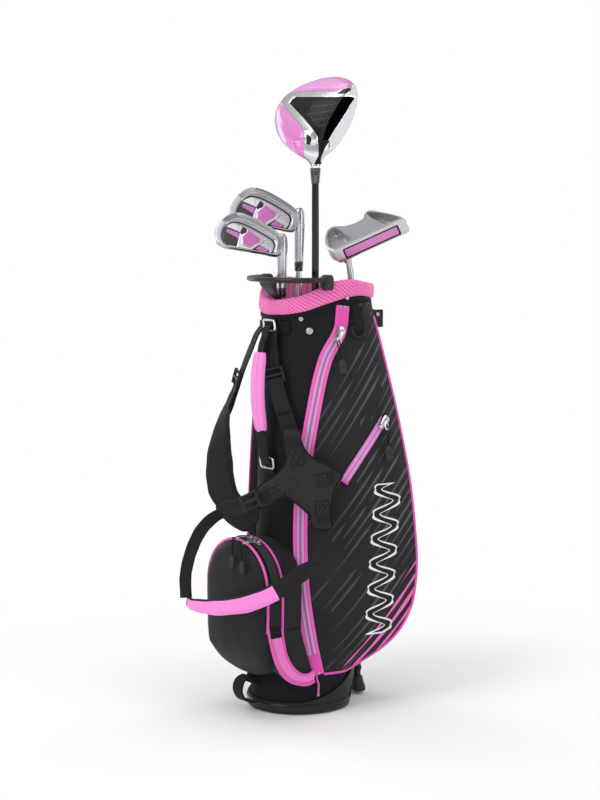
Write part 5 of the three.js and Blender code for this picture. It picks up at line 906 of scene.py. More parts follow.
ring2 = pipe("slider_diagonal_ring", Crv([S2 + A(*v) for v in ((5.9, 0, .2), (6.2, 2.0, -1.2), (6.4, 2.6, -5), (7.2, 1.8, -9), (7.3, .6, -9.8), (7.0, -1.2, -9), (6.3, -1.8, -5), (6.0, -1.6, -1.2))], closed=True).spaced(40), .7, M_CHR, "diagonal_puller", 8, closed=True)
puller(P2, [.05, .06, -1], S2n, 42, 10, "diagonal_puller", "diagonal_puller", "pull_diagonal")
for i, a in enumerate((pi / 2 - .13, pi / 2 - .38)):
    body = "ball_pull_" + "ab"[i]; c = A((BR + 4.2) * cos(a), -95, BCZ + (BR + 4.2) * sin(a)); c2 = A((BR + 7.2) * cos(a), 0, BCZ + (BR + 7.2) * sin(a))
    s_ = slider("ball_slider_" + "ab"[i], c - unit(c - A(0, -95, BCZ)) * .6, A(-sin(a), 0, cos(a)), A(cos(a), 0, sin(a)), 9, 13, 5.4, M_DCHR, body)
    W_ = A(-sin(a), 0, cos(a))
    R_ = [A(c2[0], -93.6, c2[2] - 3.0) + W_ * 0, A(c2[0], -95.5, c2[2] - 1.4) + W_ * 1.9, A(c2[0], -104, c2[2] + .4) + W_ * 2.3, A(c2[0], -113, c2[2] + .6) + W_ * 1.8, A(c2[0], -119, c2[2] - .8) + W_ * .9, A(c2[0], -120.5, c2[2] - 1.4), A(c2[0], -119, c2[2] - .8) - W_ * .9, A(c2[0], -113, c2[2] + .6) - W_ * 1.8, A(c2[0], -104, c2[2] + .4) - W_ * 2.3, A(c2[0], -95.5, c2[2] - 1.4) - W_ * 1.9]
    r_ = pipe("ball_ring_" + "ab"[i], Crv(R_, closed=True).spaced(56), .8, M_DCHR, body, 8, closed=True)
    puller([c2[0], -121.6, c2[2] - 1.6], [.08 if i else -.1, -.02, -1], [0, -1, 0], 39, 9, body, body, "pull_ball_" + "ab"[i])

# ================================================================== carry handle on the spine
HX = 8
def stitch_mat(name, c0, c1, us, pitch=.0018, rough=.72, thr=(240, 150, 215), half=.00022, width=.0003, sheen=.12, groove_shade=.55):
    """cloth with dashed stitch rows at the given |u| (metres)"""
    g = G(name); u, v, w = g.sep(g.uv()); o = g.obj(); h = weave(g, u, v, pitch); n = g.noise(o, 20, 3); f = g.noise(o, 500, 2)
    col = g.mix(g.math("MULTIPLY", g.math("ADD", n, f), .5), c0, c1); au = g.math("ABSOLUTE", u); tot = None; gro = None
    for x in us:
        d = g.math("ABSOLUTE", g.math("SUBTRACT", au, x)); l = g.map(d, width, width * .5); q = g.math("FRACT", g.math("MULTIPLY", v, 1 / .0034)); l = g.math("MULTIPLY", l, g.math("LESS_THAN", q, .68)); gg = g.map(d, .0016, .0)
        tot = l if tot is None else g.math("MAXIMUM", tot, l); gro = gg if gro is None else g.math("MAXIMUM", gro, gg)
    # painted shade: colour darkened in the sunken groove beside each stitch row
    col = g.mix(g.math("MULTIPLY", gro, 1 - groove_shade), col, tuple(x * .45 for x in c0[:3]) + (1,)); col = g.mix(tot, col, C(*thr))
    hh = g.math("ADD", g.math("MULTIPLY", h, .15), g.math("SUBTRACT", g.math("MULTIPLY", tot, .8), g.math("MULTIPLY", gro, .6)))
    wr = g.noise(g.scale(o, (1, 1, .6)), 30, 4, .6, .5); n1 = g.bump(wr, .35, .003)
    g.set(base=col, rough=rough, spec=.18, sheen=sheen, normal=g.bump(hh, .6, .0009, n1)); return g.m
def handle():
    padC = Crv([(HX - 1, -74, 484), (HX - .8, -77.6, 460), (HX - .7, -79, 434), (HX - .6, -77.4, 408), (HX - .6, -73, 379)])
    g = stitch_mat("handle_pink", C(240, 128, 208), C(252, 152, 224), [.0048], thr=(250, 170, 228))
    n = 84; P = [padC.at(i / n) for i in range(n + 1)]
    def sec(t):
        hw = (20.5 - 3 * abs(2 * t - 1) ** 6) / 2; ht = (13 - 3.5 * abs(2 * t - 1) ** 6) / 2; out = []
        for k in range(40):
            q = 2 * pi * k / 40; c, s = cos(q), sin(q); x = hw * math.copysign(abs(c) ** .6, c); y = ht * math.copysign(abs(s) ** .75, s)
            gr = math.exp(-((abs(x) - 4.8) / .8) ** 2); y -= math.copysign(.55 * gr, y) if abs(s) > .3 else 0; out.append((x * (1 + .02 * nz(0, 0, t * 9)), y))
        return out
    m = sweep("handle_cushion", P, (1, 0, 0), sec, g, sharp=70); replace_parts(m, "handle_pad")
    # dark webbing sleeve bound over the low end
    for a, b, nm in ((.975, 1, "low"),):
        Q = [padC.at(lerp(a, b, i / 10)) for i in range(11)]
        o = sweep("handle_cap_" + nm, Q, (1, 0, 0), lambda t: [(x * 1.0, y) for x, y in rrect(8.9, 4.9, 2.2, 5, 4)], M_WEB)
    wt = Crv([(HX - 1.2, -53.4, 527), (HX - 1.2, -54.6, 521.6), (HX - 1.2, -58.4, 518.8), (HX - 1.2, -62.8, 515.5), (HX - 1.2, -66, 506), (HX - 1.1, -71, 494), (HX - 1, -73.7, 483)]).spaced(60)
    o = sweep("handle_strap_top", wt, (1, 0, 0), rrect(6.5, 1.0, .8, 6, 2), M_WEB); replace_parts(o, "handle_web_top")
    wl = Crv([(HX - .6, -73.4, 381), (HX - .7, -70.3, 364), (HX - .8, -68.4, 350), (HX - 1, -67, 341.5), (HX - 1, -62.8, 336.6), (HX - 1, -58.8, 333.5), (HX - 1, -57.6, 322)]).spaced(60)
    o = sweep("handle_strap_low", wl, (1, 0, 0), rrect(9.5, 1.0, .8, 6, 2), M_WEB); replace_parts(o, "handle_web_low")
    def rring(name, c, w, h, r, tilt, node):
        P = []; k = 2.6; M = Matrix.Rotation(radians(tilt), 3, "X")
        for sx, sz, a0 in ((1, 1, 0), (-1, 1, 90), (-1, -1, 180), (1, -1, 270)):
            for a in range(0, 91, 15): q = radians(a0 + a); v = M @ Vector((sx * (w / 2 - k) + k * cos(q), 0, sz * (h / 2 - k) + k * sin(q))); P.append(A(v.x + c[0], v.y + c[1], v.z + c[2]))
            nx = {0: (-1, 1), 90: (-1, -1), 180: (1, -1), 270: (1, 1)}[a0]
        o = pipe(name, Crv(P, closed=True).spaced(96), r, M_CHR, sides=12, closed=True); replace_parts(o, node)
    rring("ring_handle_top", (HX - 1.2, -58.4, 519.2), 22, 13, 1.6, 8, "handle_ring_top"); rring("ring_handle_low", (HX - 1, -62.8, 336.4), 27, 13, 1.6, 8, "handle_ring_low")
    # small sewn tabs that hold both ends on the tube
    for z, nm in ((528, "top"), (316, "low")):
        c = [onT(-pi / 2 + .09 + d, z, 1.3) for d in (-.14, -.07, 0, .07, .14)]
        o = sweep("handle_tab_" + nm, c, UP, rrect(8, .9, .7, 5, 2), M_TRIM)
handle()
def bottom_loop():
    P = Crv([(-12, -72, 42), (-12, -84, 46), (-12, -95, 42), (-12, -99, 31), (-12, -95, 20), (-12, -86, 13), (-12, -75.4, 11)]).spaced(70)
    o = sweep("loop_bottom", P, (1, 0, 0), lambda t: rrect(11 - .9 * sin(pi * t) ** 2 + .3 * sin(t * 17), 1.25, 1.0, 7, 2), M_WEB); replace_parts(o, "bottom_handle")
    o = rbox("loop_bottom_tab", (-12, -73.4, 41), (24, 3, 13), M_TRIM, rx=-6, bev=1.2, seg=3)
bottom_loop()

# ================================================================== shoulder straps
M_WEBX = webbing("webbing_strap_black", C(24, 24, 27), C(38, 38, 42), rib=.0026)
def web(name, pts, W, hw, node, th=1.05, n=90, tw=None, mat=None):
    P = Crv(pts).spaced(n)
    def sec(t): return [(a, b + .28 * sin(a * .55 + t * 20) * .5) for a, b in rrect(hw * (1 - .03 * sin(t * 23) ** 2), th, .8, 8, 2)]
    o = sweep(name, P, W, sec, mat or M_WEBX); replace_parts(o, node) if node else None; return P
an = [onT(-pi / 2 + d, 516, 2.4) for d in np.linspace(-.42, .42, 25)]
o = sweep("strap_yoke", an, UP, lambda t: rrect(7.5, 1.45, 1.1, 7, 3), M_TRIM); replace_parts(o, "strap_anchor")
WF = web("strap_front", [(8.5, -54.2, 516), (9, -57.4, 506.5), (11, -60, 483.4), (18, -60.6, 453.7), (30.9, -57.6, 417.6), (46, -56.4, 384)], lambda t, p: tuple(lerp(np.array((1, .1, 0.)), np.array((.643, .766, 0.)), sst(.05, .4, t))), 10.5, "web_front")
WR = web("strap_rear", [(-15, -51.5, 517), (-17.5, -56, 511), (-20, -59.4, 504), (-25, -62, 491.1), (-32.6, -67.5, 468.1), (-39.4, -72, 446.4), (-45, -76.5, 424), (-50, -81, 404.5), (-52.6, -86.6, 393)], (.9, -.35, 0), 10, "web_rear")
WL = web("strap_low", [(-67.5, -143, 152.4), (-71.5, -140.5, 182.3), (-66, -134.5, 216.4), (-54, -127, 244.4), (-37.5, -120.5, 262), (-24, -114.6, 271), (-10, -106.5, 279), (0, -102, 284)], (.766, .55, .2), 8.5, "web_low")
# loose end of the front strap, folded back on itself below the buckle
Q = Crv([A(19.5, -60.2, 450) + CN * 3.4, A(24, -59.4, 436) + CN * 3.6, A(29, -58.2, 421) + CN * 3.6, A(34, -57.4, 407) + CN * 4.6]).spaced(40)
o = sweep("strap_front_tail", Q, (.643, .766, 0), rrect(9.6, .95, .8, 7, 2), M_WEBX)
Q = Crv([(-40.4, -75.4, 443), (-43, -78.6, 431), (-47, -82.8, 419), (-49, -87, 407)]).spaced(30)
o = sweep("strap_rear_tail", Q, (.9, -.35, 0), rrect(9.2, .95, .8, 7, 2), M_WEBX)

def pad(name, pts, W, wid, thk, node, mats, n=120, fold=1.0, pick=None, seed=0.0, sec_n=48):
    P = Crv(pts).spaced(n)
    def sec(t):
        hw, ht = wid(t) / 2, thk(t) / 2; out = []; end = min(1, t / .05, (1 - t) / .05)
        for k in range(sec_n):
            q = 2 * pi * k / sec_n; c, s = cos(q), sin(q); x = hw * math.copysign(abs(c) ** .55, c); y = ht * math.copysign(abs(s) ** .8, s)
            e = abs(x) / hw; y *= 1 - .42 * sst(.76, .86, e) * (1 - sst(.9, 1.0, e) * .5)          # flat bound edge beside the foam
            y += math.copysign(1, y) * (.9 * mnoise.noise(Vector((x * .07, t * 9, seed))) + .9 * abs(mnoise.noise(Vector((x * .05 + t * 3, t * 26, seed + 4)))) - .3) * fold * (1 - .7 * sst(.7, .95, e)) * end
            out.append((x + 1.1 * mnoise.noise(Vector((t * 10, seed, 3 + (1 if x > 0 else 0)))), y))
        return out
    o = sweep(name, P, W, sec, mats, sharp=75, pick=pick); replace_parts(o, node); return o, P
M_SPAD = stitch_mat("shoulder_black", C(19, 18, 20), C(33, 32, 35), [.0146], pitch=.0024, thr=(36, 36, 38), sheen=.04, rough=.7)
o, PU = pad("shoulder_upper", [(-50.8, -82.0, 411), (-52.2, -85.6, 402), (-53.5, -91.8, 376.5), (-49, -99.5, 345), (-38.7, -106.2, 313), (-20.9, -110, 291), (4.3, -108, 280), (24, -101, 283)],
    lambda t, p: (lerp(.9, .643, min(1, t * 1.5)), lerp(-.35, .766, min(1, t * 1.5)), 0 if t < .25 else lerp(0, .5, (t - .25) / .75)),
    lambda t: 24 + 15 * max(0, sin(pi * min(1, t * 1.05))) ** .7, lambda t: 4 + 5 * max(0, sin(pi * t)) ** .6, "shoulder_pad_upper", M_SPAD, seed=1.0)
PLP = [(88.5, -27, 247), (94, -36, 228), (95, -51, 214), (94, -79, 201.5), (89, -109, 186), (77, -130, 174.5), (45, -144, 162), (10, -149, 154.5), (-25, -148.5, 149.5), (-52, -146, 147.5), (-61.5, -144.5, 149.5)]
PLW = lambda t, p: tuple(lerp(np.array((.45, .9, .1)), np.array((-.36, .16, .92)), sst(.05, .34, t)))
M_SPP = stitch_mat("shoulder_pink", C(238, 124, 206), C(250, 146, 222), [.0200], thr=(250, 172, 228), sheen=.25)
PINKSIDE = lambda a: a > .42 and cos(2 * pi * a) < .5
def lowpick(i, k):
    # outer lower half of the tube of cloth is pink from a third of the way to the tip
    a = (k % 48) / 48; t = i / 120
    return 1 if (.40 < t < .985 and PINKSIDE(a)) else 0
o, PL = pad("shoulder_lower", PLP, PLW, lambda t: 14 + 9.5 * max(0, sin(pi * t)) ** .8, lambda t: 4.5 + 5.5 * max(0, sin(pi * t)) ** .6, "shoulder_pad_lower", [M_SPAD, M_SPP], seed=6.0, pick=lowpick)

# sewn end flap of the upper pad
def flap():
    O = [(216.5, 507), (222, 500), (236, 497.5), (252, 497), (259.5, 501), (258.5, 512), (257, 521), (250, 529), (244.5, 531), (236, 527.5), (226, 520)]
    P = Crv([onPlane(a, b, CN, 66.0) for a, b in O], closed=True).spaced(110); c = P.mean(0); rings = []
    for k in (.02, .2, .4, .6, .78, .9, .97, 1.0):
        rings.append([c + (p - c) * k + CN * ((3.4 + 1.5 * mnoise.noise(Vector((p[0] * .07 * k, p[2] * .07 * k, 7)))) * (1 - k ** 4) + .9) for p in P])
    for k in (1.0, .97, .8, .5, .2, .02): rings.append([c + (p - c) * k - CN * (.9 + .6 * (1 - k)) for p in P])
    o = skin("shoulder_flap", rings, fabric("flap_black", C(18, 18, 20), C(33, 32, 35), pitch=.002, wrinkle=.6, sheen=.04, spec=.22, rough=.6, coords="obj"), sharp=75)
    q = [c + (p - c) * 1.0 + CN * .2 for p in P]; o = pipe("shoulder_flap_binding", q, 1.1, M_TRIM, sides=8, closed=True)
    D = Crv([onPlane(a, b, CN, 67.6) for a, b in ((241, 528), (249, 525.5), (255.5, 518), (257, 510.5), (253, 507))]).spaced(60); segs = []
    for i in range(0, 58, 2): segs.append(pipe("d", [D[i] + CN * 2.2, D[i + 1] + CN * 2.2], .35, M_THRX, sides=6))
    o = joinup("shoulder_flap_stitch", segs)
M_THRX = plastic("thread_grey", C(58, 58, 62), C(72, 72, 76), rough=.6)
flap()
# hub where the straps meet: a creased fabric patch with sewn tabs
def hub():
    H = [(-20.3, 387), (-.8, 385), (1.3, 370), (10, 354), (23, 344.4), (36, 339), (47, 332.3), (55.6, 325.8), (49.1, 314.8), (43.5, 299.4), (42, 288.4), (40.5, 268.5), (41.6, 255), (19.5, 254), (17.7, 266.3), (7.9, 277.3), (-5.2, 288.4), (-18.2, 297.2), (-29.1, 295), (-40, 286.1), (-53.1, 281.7), (-61.7, 299.4), (-50.8, 312.6), (-31.3, 325.8), (-20.4, 338.9), (-18.2, 354.3), (-20.4, 369.6)]
    P = Crv([(a, 0, b) for a, b in H], closed=True).spaced(150)[:, [0, 2]]; c = A(3, 322)
    rings = []; ks = [.02, .15, .3, .45, .6, .72, .82, .9, .95, .985, 1.0]
    def hgt(a, b, k): return 2.6 * (1 - k ** 4) + (2.2 * mnoise.noise(Vector((a * .05, b * .05, 1.0))) + 2.4 * (abs(mnoise.noise(Vector((a * .085 + b * .05, b * .06 - a * .03, 4.0)))) ** .8)) * (1 - k ** 3)
    for k in ks:                                         # front
        r = []
        for a, b in P:
            x, y = c[0] + (a - c[0]) * k, c[1] + (b - c[1]) * k; r.append(CN * (82 + 2.4 + hgt(x, y, k) * .9 + (-.9 if k > .97 else 0)) + CR * x + UP * y)
        rings.append(r)
    for k in ks[::-1]:                                   # back
        r = []
        for a, b in P:
            x, y = c[0] + (a - c[0]) * k, c[1] + (b - c[1]) * k; r.append(CN * (82 + 1.0 - hgt(x, y, k) * .25 + (.6 if k > .97 else 0)) + CR * x + UP * y)
        rings.append(r)
    mat = fabric("hub_black", C(17, 17, 19), C(34, 33, 37), pitch=.0018, wrinkle=.7, sheen=.04, spec=.28, rough=.5, coords="obj")
    o = skin("strap_hub_patch", rings, mat, sharp=75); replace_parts(o, "strap_hub")
    # binding round the outline
    B = [CN * (82 + 1.8) + CR * a + UP * b for a, b in P]
    o = pipe("strap_hub_binding", B, 1.25, M_TRIM, sides=8, closed=True)
    # two sewn webbing tabs with box stitching
    for (x0, z0), (x1, z1), hw, nm in (((-10, 376), (-2, 338), 9.5, "a"), ((44, 322), (22, 318), 8.5, "b"), ((-48, 296), (-22, 307), 8.5, "c"), ((31, 262), (29, 292), 9.5, "d")):
        Q = [CN * (82 + 5.0 + .8 * sin(pi * i / 14)) + CR * lerp(x0, x1, i / 14) + UP * lerp(z0, z1, i / 14) for i in range(15)]; w = np.cross(unit(Q[-1] - Q[0]), CN)
        o = sweep("hub_tab_" + nm, Q, w, rrect(hw, .95, .8, 7, 2), M_WEBX)
        q0, q1 = A(x0, z0), A(x1, z1); dd = unit(q1 - q0); nn = A(-dd[1], dd[0]); L = np.linalg.norm(q1 - q0); segs = []
        a, b = q0 + dd * L * .45, q0 + dd * L * .92; cs = [a + nn * hw * .66, b + nn * hw * .66, b - nn * hw * .66, a - nn * hw * .66]
        for s, e in ((0, 1), (1, 2), (2, 3), (3, 0), (0, 2), (1, 3)):
            m = int(np.linalg.norm(cs[e] - cs[s]) / 2.6)
            for j in range(m):
                u0, u1 = (j + .15) / m, (j + .8) / m; p0, p1 = cs[s] + (cs[e] - cs[s]) * u0, cs[s] + (cs[e] - cs[s]) * u1
                segs.append(pipe("st", [CN * (82 + 7.0) + CR * p[0] + UP * p[1] for p in (p0, (p0 + p1) / 2, p1)], .32, M_THR, sides=6))
        if segs: o = joinup("hub_stitch_" + nm, segs)
M_THR = plastic("thread_black", C(60, 60, 64), C(74, 74, 78), rough=.6)
hub()
def ladder(c, n, up, w, h, node, name):
    nn = unit(n); u = unit(A(*up) - nn * (A(*up) @ nn)); s = np.cross(u, nn); c = A(*c); parts = []
    def bar(p0, p1, r, ht): 
        d = unit(p1 - p0); return sweep("b", Crv([p0, (p0 + p1) / 2, p1]).spaced(8), np.cross(d, nn), rrect(r, ht, ht * .8, 3, 3), M_PLA)
    m = c + nn * 2.3
    for k in (-1, 1): parts.append(bar(m + s * k * (w / 2 - 1.8) - u * (h / 2), m + s * k * (w / 2 - 1.8) + u * (h / 2), 2.1, 2.3))
    for k, r in ((-1, 1.7), (0, 1.9), (1, 1.7)): parts.append(bar(m - s * (w / 2 - .6) + u * k * (h / 2 - 1.7) + nn * (.5 if k == 0 else 0), m + s * (w / 2 - .6) + u * k * (h / 2 - 1.7) + nn * (.5 if k == 0 else 0), r, 2.0))
    for k in (-1, 1):                                    # grip ribs on the end bars
        for j in range(7):
            x = lerp(-w / 2 + 4.5, w / 2 - 4.5, j / 6); p = m + s * x + u * k * (h / 2 - 1.7) + nn * 2.0; parts.append(pipe("r", [p - u * 1.1, p, p + u * 1.1], .42, M_PLA, sides=6))
    o = joinup(name, parts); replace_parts(o, node)
nf = unit(CN + A(0, 0, .06)); ladder(A(18, -60.6, 453.7) + nf * 1.6, nf, (.16, .19, -1), 28, 21, "buckle_front", "ladder_front")
nr = unit(A(-.36, -.9, .2)); ladder(A(-39.4, -72, 446.4) + nr * 2.2, nr, (-.3, -.2, -1), 26, 20, "buckle_rear", "ladder_rear")
ladder((28.6, -108.6, 293), CN, (-.3, -.35, 1), 24, 22, "buckle_low", "ladder_low")

# ================================================================== towel loop, ring, snaps
tlST = panelFind(75, 530); tlN = panelN(*tlST); tlW = unit(np.cross(UP, tlN)); tlU = unit(np.cross(tlN, tlW)); tlO = panelAt(*tlST) + tlN * 3.6
Q = Crv([tlO + tlU * 15 - tlN * .4, tlO + tlU * 5, tlO - tlU * 5, tlO - tlU * 10 + tlN * .1, tlO - tlU * 15.6 + tlN * 2.2, tlO - tlU * 14.5 + tlN * 3.4, tlO - tlU * 8 + tlN * 2.6, tlO - tlU * 2 + tlN * 1.7]).spaced(50)
o = sweep("towel_strap", Q, tlW, rrect(7.5, .8, .7, 6, 2), M_WEB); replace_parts(o, "towel_loop")
trO = tlO - tlU * 16.4 + tlN * 1.2; w_, h_ = 18, 14
P = [trO + tlW * (w_ / 2 * cos(pi + pi * i / 12)) + tlU * ((h_ - 2) * sin(pi + pi * i / 12) * .86) for i in range(13)] + [trO + tlW * w_ / 2 * .98 + tlU * h_ * .24, trO + tlW * (w_ / 2 - 1.6) + tlU * h_ * .31, trO + tlU * h_ * .31, trO - tlW * (w_ / 2 - 1.6) + tlU * h_ * .31, trO - tlW * w_ / 2 * .98 + tlU * h_ * .24]
o = pipe("towel_dring", Crv(P, closed=True).spaced(90), 1.75, M_PLA, "towel_ring", 12, closed=True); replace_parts(o, "towel_ring")
def stud(name, px, py, r, h, mat, off=1.3):
    p = hitTube(px, py, off); n = tubeN(p); x = unit(np.cross(UP, n)); y = np.cross(n, x); p = toTube(p[0], p[1], p[2], off)
    rings = [[p + (x * cos(q) + y * sin(q)) * r * k + n * z for q in np.linspace(0, 2 * pi, 33)[:-1]] for k, z in ((.96, -.8), (1, .1), (1, h * .35), (.93, h * .62), (.8, h * .72), (.66, h * .66), (.58, h * .8), (.4, h * .95), (.2, h), (.04, h))]
    o = skin(name, rings, mat, sharp=50)
M_SNAP = metal("snap_nickel", C(176, 176, 180), .2, r2=.12)
stud("rivet_collar", 347, 298, 2.6, 1.6, M_SNAP, 4.2); stud("snap_upper", 301, 319, 3.3, 2.2, M_SNAP); stud("snap_lower", 309.5, 331, 4.8, 2.8, M_SNAP)

# ================================================================== stand legs
LX, LZ, LY = 20, 522, 113; LD = unit(A(0, -(LY - 86.5), -(LZ - 20)))
def legs():
    for s, nm in ((-1, "left"), (1, "right")):
        body = "leg_" + nm; at = lambda d: A(s * LX, LY, LZ) + LD * d; ax = unit(A(.913, -.407 * s, 0))
        rr = [(-4.6, 4.2), (-4.2, 4.8), (-3.4, 5), (60, 5), (60.4, 4.9), (498, 4.9)]
        ds = [-4.6, -4.3, -3.6, -2] + list(np.linspace(0, 496, 40)) + [497.2, 498]
        P = [at(d) for d in ds]; o1 = pipe(nm + "1", P, [4.0, 4.7, 5, 5] + [5] * 40 + [5, 4.8], M_LEG, body, 24)
        pin = [A(s * LX, LY, LZ) + ax * k * s for k in (-18.2, -17.6, -10, 0, 10, 14.6, 15.2)]; o2 = pipe(nm + "2", pin, [1.7, 2.2, 2.2, 2.2, 2.2, 2.2, 1.7], M_LEG, body, 16)
        o3 = [pipe(nm + "3", [at(d) for d in (a, a + .6, a + 5.4, a + 6)], [5.1, 5.9, 5.9, 5.1], M_PLA, body, 24) for a in (6, 484)]
        o = joinup("stand_leg_" + nm, [o1, o2] + o3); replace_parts(o, "leg_" + nm)
        a, b = at(498.4), at(515)
        def st(p, hx, hy, dz, dy=0): return [A(p[0] + hx * cos(q), p[1] + dy + hy * sin(q), p[2] + dz) for q in np.linspace(0, 2 * pi, 37)[:-1]]
        K = [(a, 5.6, 5.6, .0, 0), (a, 7.0, 7.0, -.2, 0), (a, 7.6, 7.6, -.9, 0), (a, 7.9, 7.9, -2, 0), (a, 8.3, 8.3, -4, 0), (lerp(a, b, .5), 9.3, 9.0, 1, .5), (b, 10.3, 9.5, 6, 1), (b, 11.2, 10.3, 2.6, 1.6), (b, 11.5, 10.5, 0, 2), (b, 11.4, 10.2, -2.2, 2.5), (b, 10.8, 9.5, -4.2, 2.8), (b, 9.2, 8.2, -5, 3), (b, 5, 4, -5, 3)]
        f = skin("foot_" + nm, [st(*k) for k in K], M_RUB, body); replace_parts(f, "leg_foot_" + nm)
    P = Crv([(0, 77.8, 32.6), (0, 82.5, 42), (0, 87, 80), (0, 96, 300), (0, 100.5, 455)]).spaced(70)
    o = pipe("stand_wire", P, 1.6, metal("wire_zinc", C(170, 171, 173), .28), "wire", 12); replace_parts(o, "leg_wire")
    for s in (-1, 1):
        o = skin("bracket_screw_%d" % s, [[A(s * 34.0, 110 + r * cos(q), 528 + r * sin(q)) + A(s * h, 0, 0) for q in np.linspace(0, 2 * pi, 25)[:-1]] for r, h in ((3.1, -.6), (3.2, .1), (2.9, .9), (1.8, 1.25), (1.2, .7), (.1, .7))], M_SNAP)
legs()

# ================================================================== clubs
def clubFrame(butt, top, lie, q):
    a = unit(A(*butt) - A(*top)); Q = A(*q); Q = unit(Q - a * (Q @ a)); l = radians(lie)
    T = -a * cos(l) + Q * sin(l); S = -a * sin(l) - Q * cos(l); return dict(A=a, T=T, S=S, F=np.cross(T, S), top=A(*top), butt=A(*butt))
def pxOf(P):
    d = np.asarray(P, float) - CAM; z = d @ FWD; return 300 + FPX * (d @ RT) / z, 400 - FPX * (d @ VUP) / z
def sdf(poly, X, Y):
    """distance inside (+) or outside (-) a polygon"""
    X = np.asarray(X, float); Y = np.asarray(Y, float); P = np.array(poly, float); best = np.full(X.shape, 1e9); ins = np.zeros(X.shape, bool)
    for i in range(len(P)):
        a, b = P[i], P[(i + 1) % len(P)]; e = b - a; L = (e ** 2).sum() + 1e-9; t = np.clip(((X - a[0]) * e[0] + (Y - a[1]) * e[1]) / L, 0, 1)
        best = np.minimum(best, np.hypot(X - a[0] - t * e[0], Y - a[1] - t * e[1]))
        c = ((a[1] > Y) != (b[1] > Y)); xx = a[0] + (Y - a[1]) / np.where(abs(b[1] - a[1]) < 1e-9, 1e-9, b[1] - a[1]) * e[0]; ins ^= c & (X < xx)
    return np.where(ins, best, -best)
def line_sd(a, b, w, X, Y):
    a, b = A(*a), A(*b); e = b - a; t = np.clip(((X - a[0]) * e[0] + (Y - a[1]) * e[1]) / (e @ e), 0, 1); return w - np.hypot(X - a[0] - t * e[0], Y - a[1] - t * e[1])
def smoothstep(e0, e1, x): t = np.clip((x - e0) / (e1 - e0), 0, 1); return t * t * (3 - 2 * t)
def band_(g, name, w=.12): return g.map(g.attr(name), -w, w)

M_FERR = plastic("ferrule_black", C(14, 14, 15), C(20, 20, 21), rough=.12, bump=.0, spec=.6, coat=.7)
def sleeve(name, fr, d0, d1, r0, r1, node, body, rings_=2, mat=None):
    at = lambda d: fr["top"] + fr["A"] * d; L = d1 - d0
    K = [(0, r0 - 1.3), (.02, r0 - .35), (.06, r0)] + [(.06 + .88 * i / 26, lerp(r0, r1, .06 + .88 * i / 26) - (.28 if rings_ and i in (5, 9) else 0)) for i in range(27)] + [(.98, r1 - .2), (1, r1 - .5)]
    o = pipe(name, [at(d0 + L * a) for a, r in K], [r for a, r in K], mat or M_FERR, body, 32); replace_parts(o, node); return o
def shaft(name, fr, d0, d1, r0, r1, mat, node, body, steps=0):
    at = lambda d: fr["top"] + fr["A"] * d; D = []; R = []
    n = 60
    for i in range(n + 1):
        f = i / n; D.append(lerp(d0, d1, f)); R.append(lerp(r0, r1, f))
    if steps:                                             # drawn steel shaft: short steps in diameter
        D, R = [], []; K = [(d0, r0)]; s0 = 78
        D.append(d0); R.append(r0); r = r0; k = 0; d = s0
        while d < d1 - 30: D += [d, d + .8]; R += [r, r + .13]; r += .13; d += steps
        D.append(d1); R.append(r)
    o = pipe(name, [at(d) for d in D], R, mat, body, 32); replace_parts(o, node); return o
def mat_grip():
    g = G("grip_rubber"); u, v, w = g.sep(g.uv()); o = g.obj(); x = g.math("ABSOLUTE", g.sinw(g.math("ADD", u, v), .004)); y = g.math("ABSOLUTE", g.sinw(g.math("SUBTRACT", u, v), .004)); h = g.math("MINIMUM", x, y)
    # painted shade: the grooves of the grip pattern are painted darker
    g.set(base=g.mix(h, C(12, 12, 13), C(30, 30, 31)), rough=.8, spec=.25, normal=g.bump(h, .5, .0006)); return g.m
M_GRIP = mat_grip()
def grip(name, fr, ln, r0, r1, node, body, L=None):
    L = L or float(np.linalg.norm(fr["top"] - fr["butt"])); at = lambda d: fr["top"] + fr["A"] * d
    K = [(L - ln, r0 - 2.4), (L - ln + .6, r0 - 1), (L - ln + 3, r0)] + [(lerp(L - ln + 3, L * 1.0 - 6, i / 30), lerp(r0, r1, (i / 30) ** .8)) for i in range(1, 31)] + [(L - 4, r1), (L - 2, r1 - .5), (L - .6, r1 - 1.8), (L, r1 - 3.5)]
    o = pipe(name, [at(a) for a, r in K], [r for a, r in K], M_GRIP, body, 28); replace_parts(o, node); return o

# ------------------------------------------------------------------ driver
drv = clubFrame([4, 24, 16], [43.4, -10.3, 786], 49.8, [-.2705, .9627, 0])
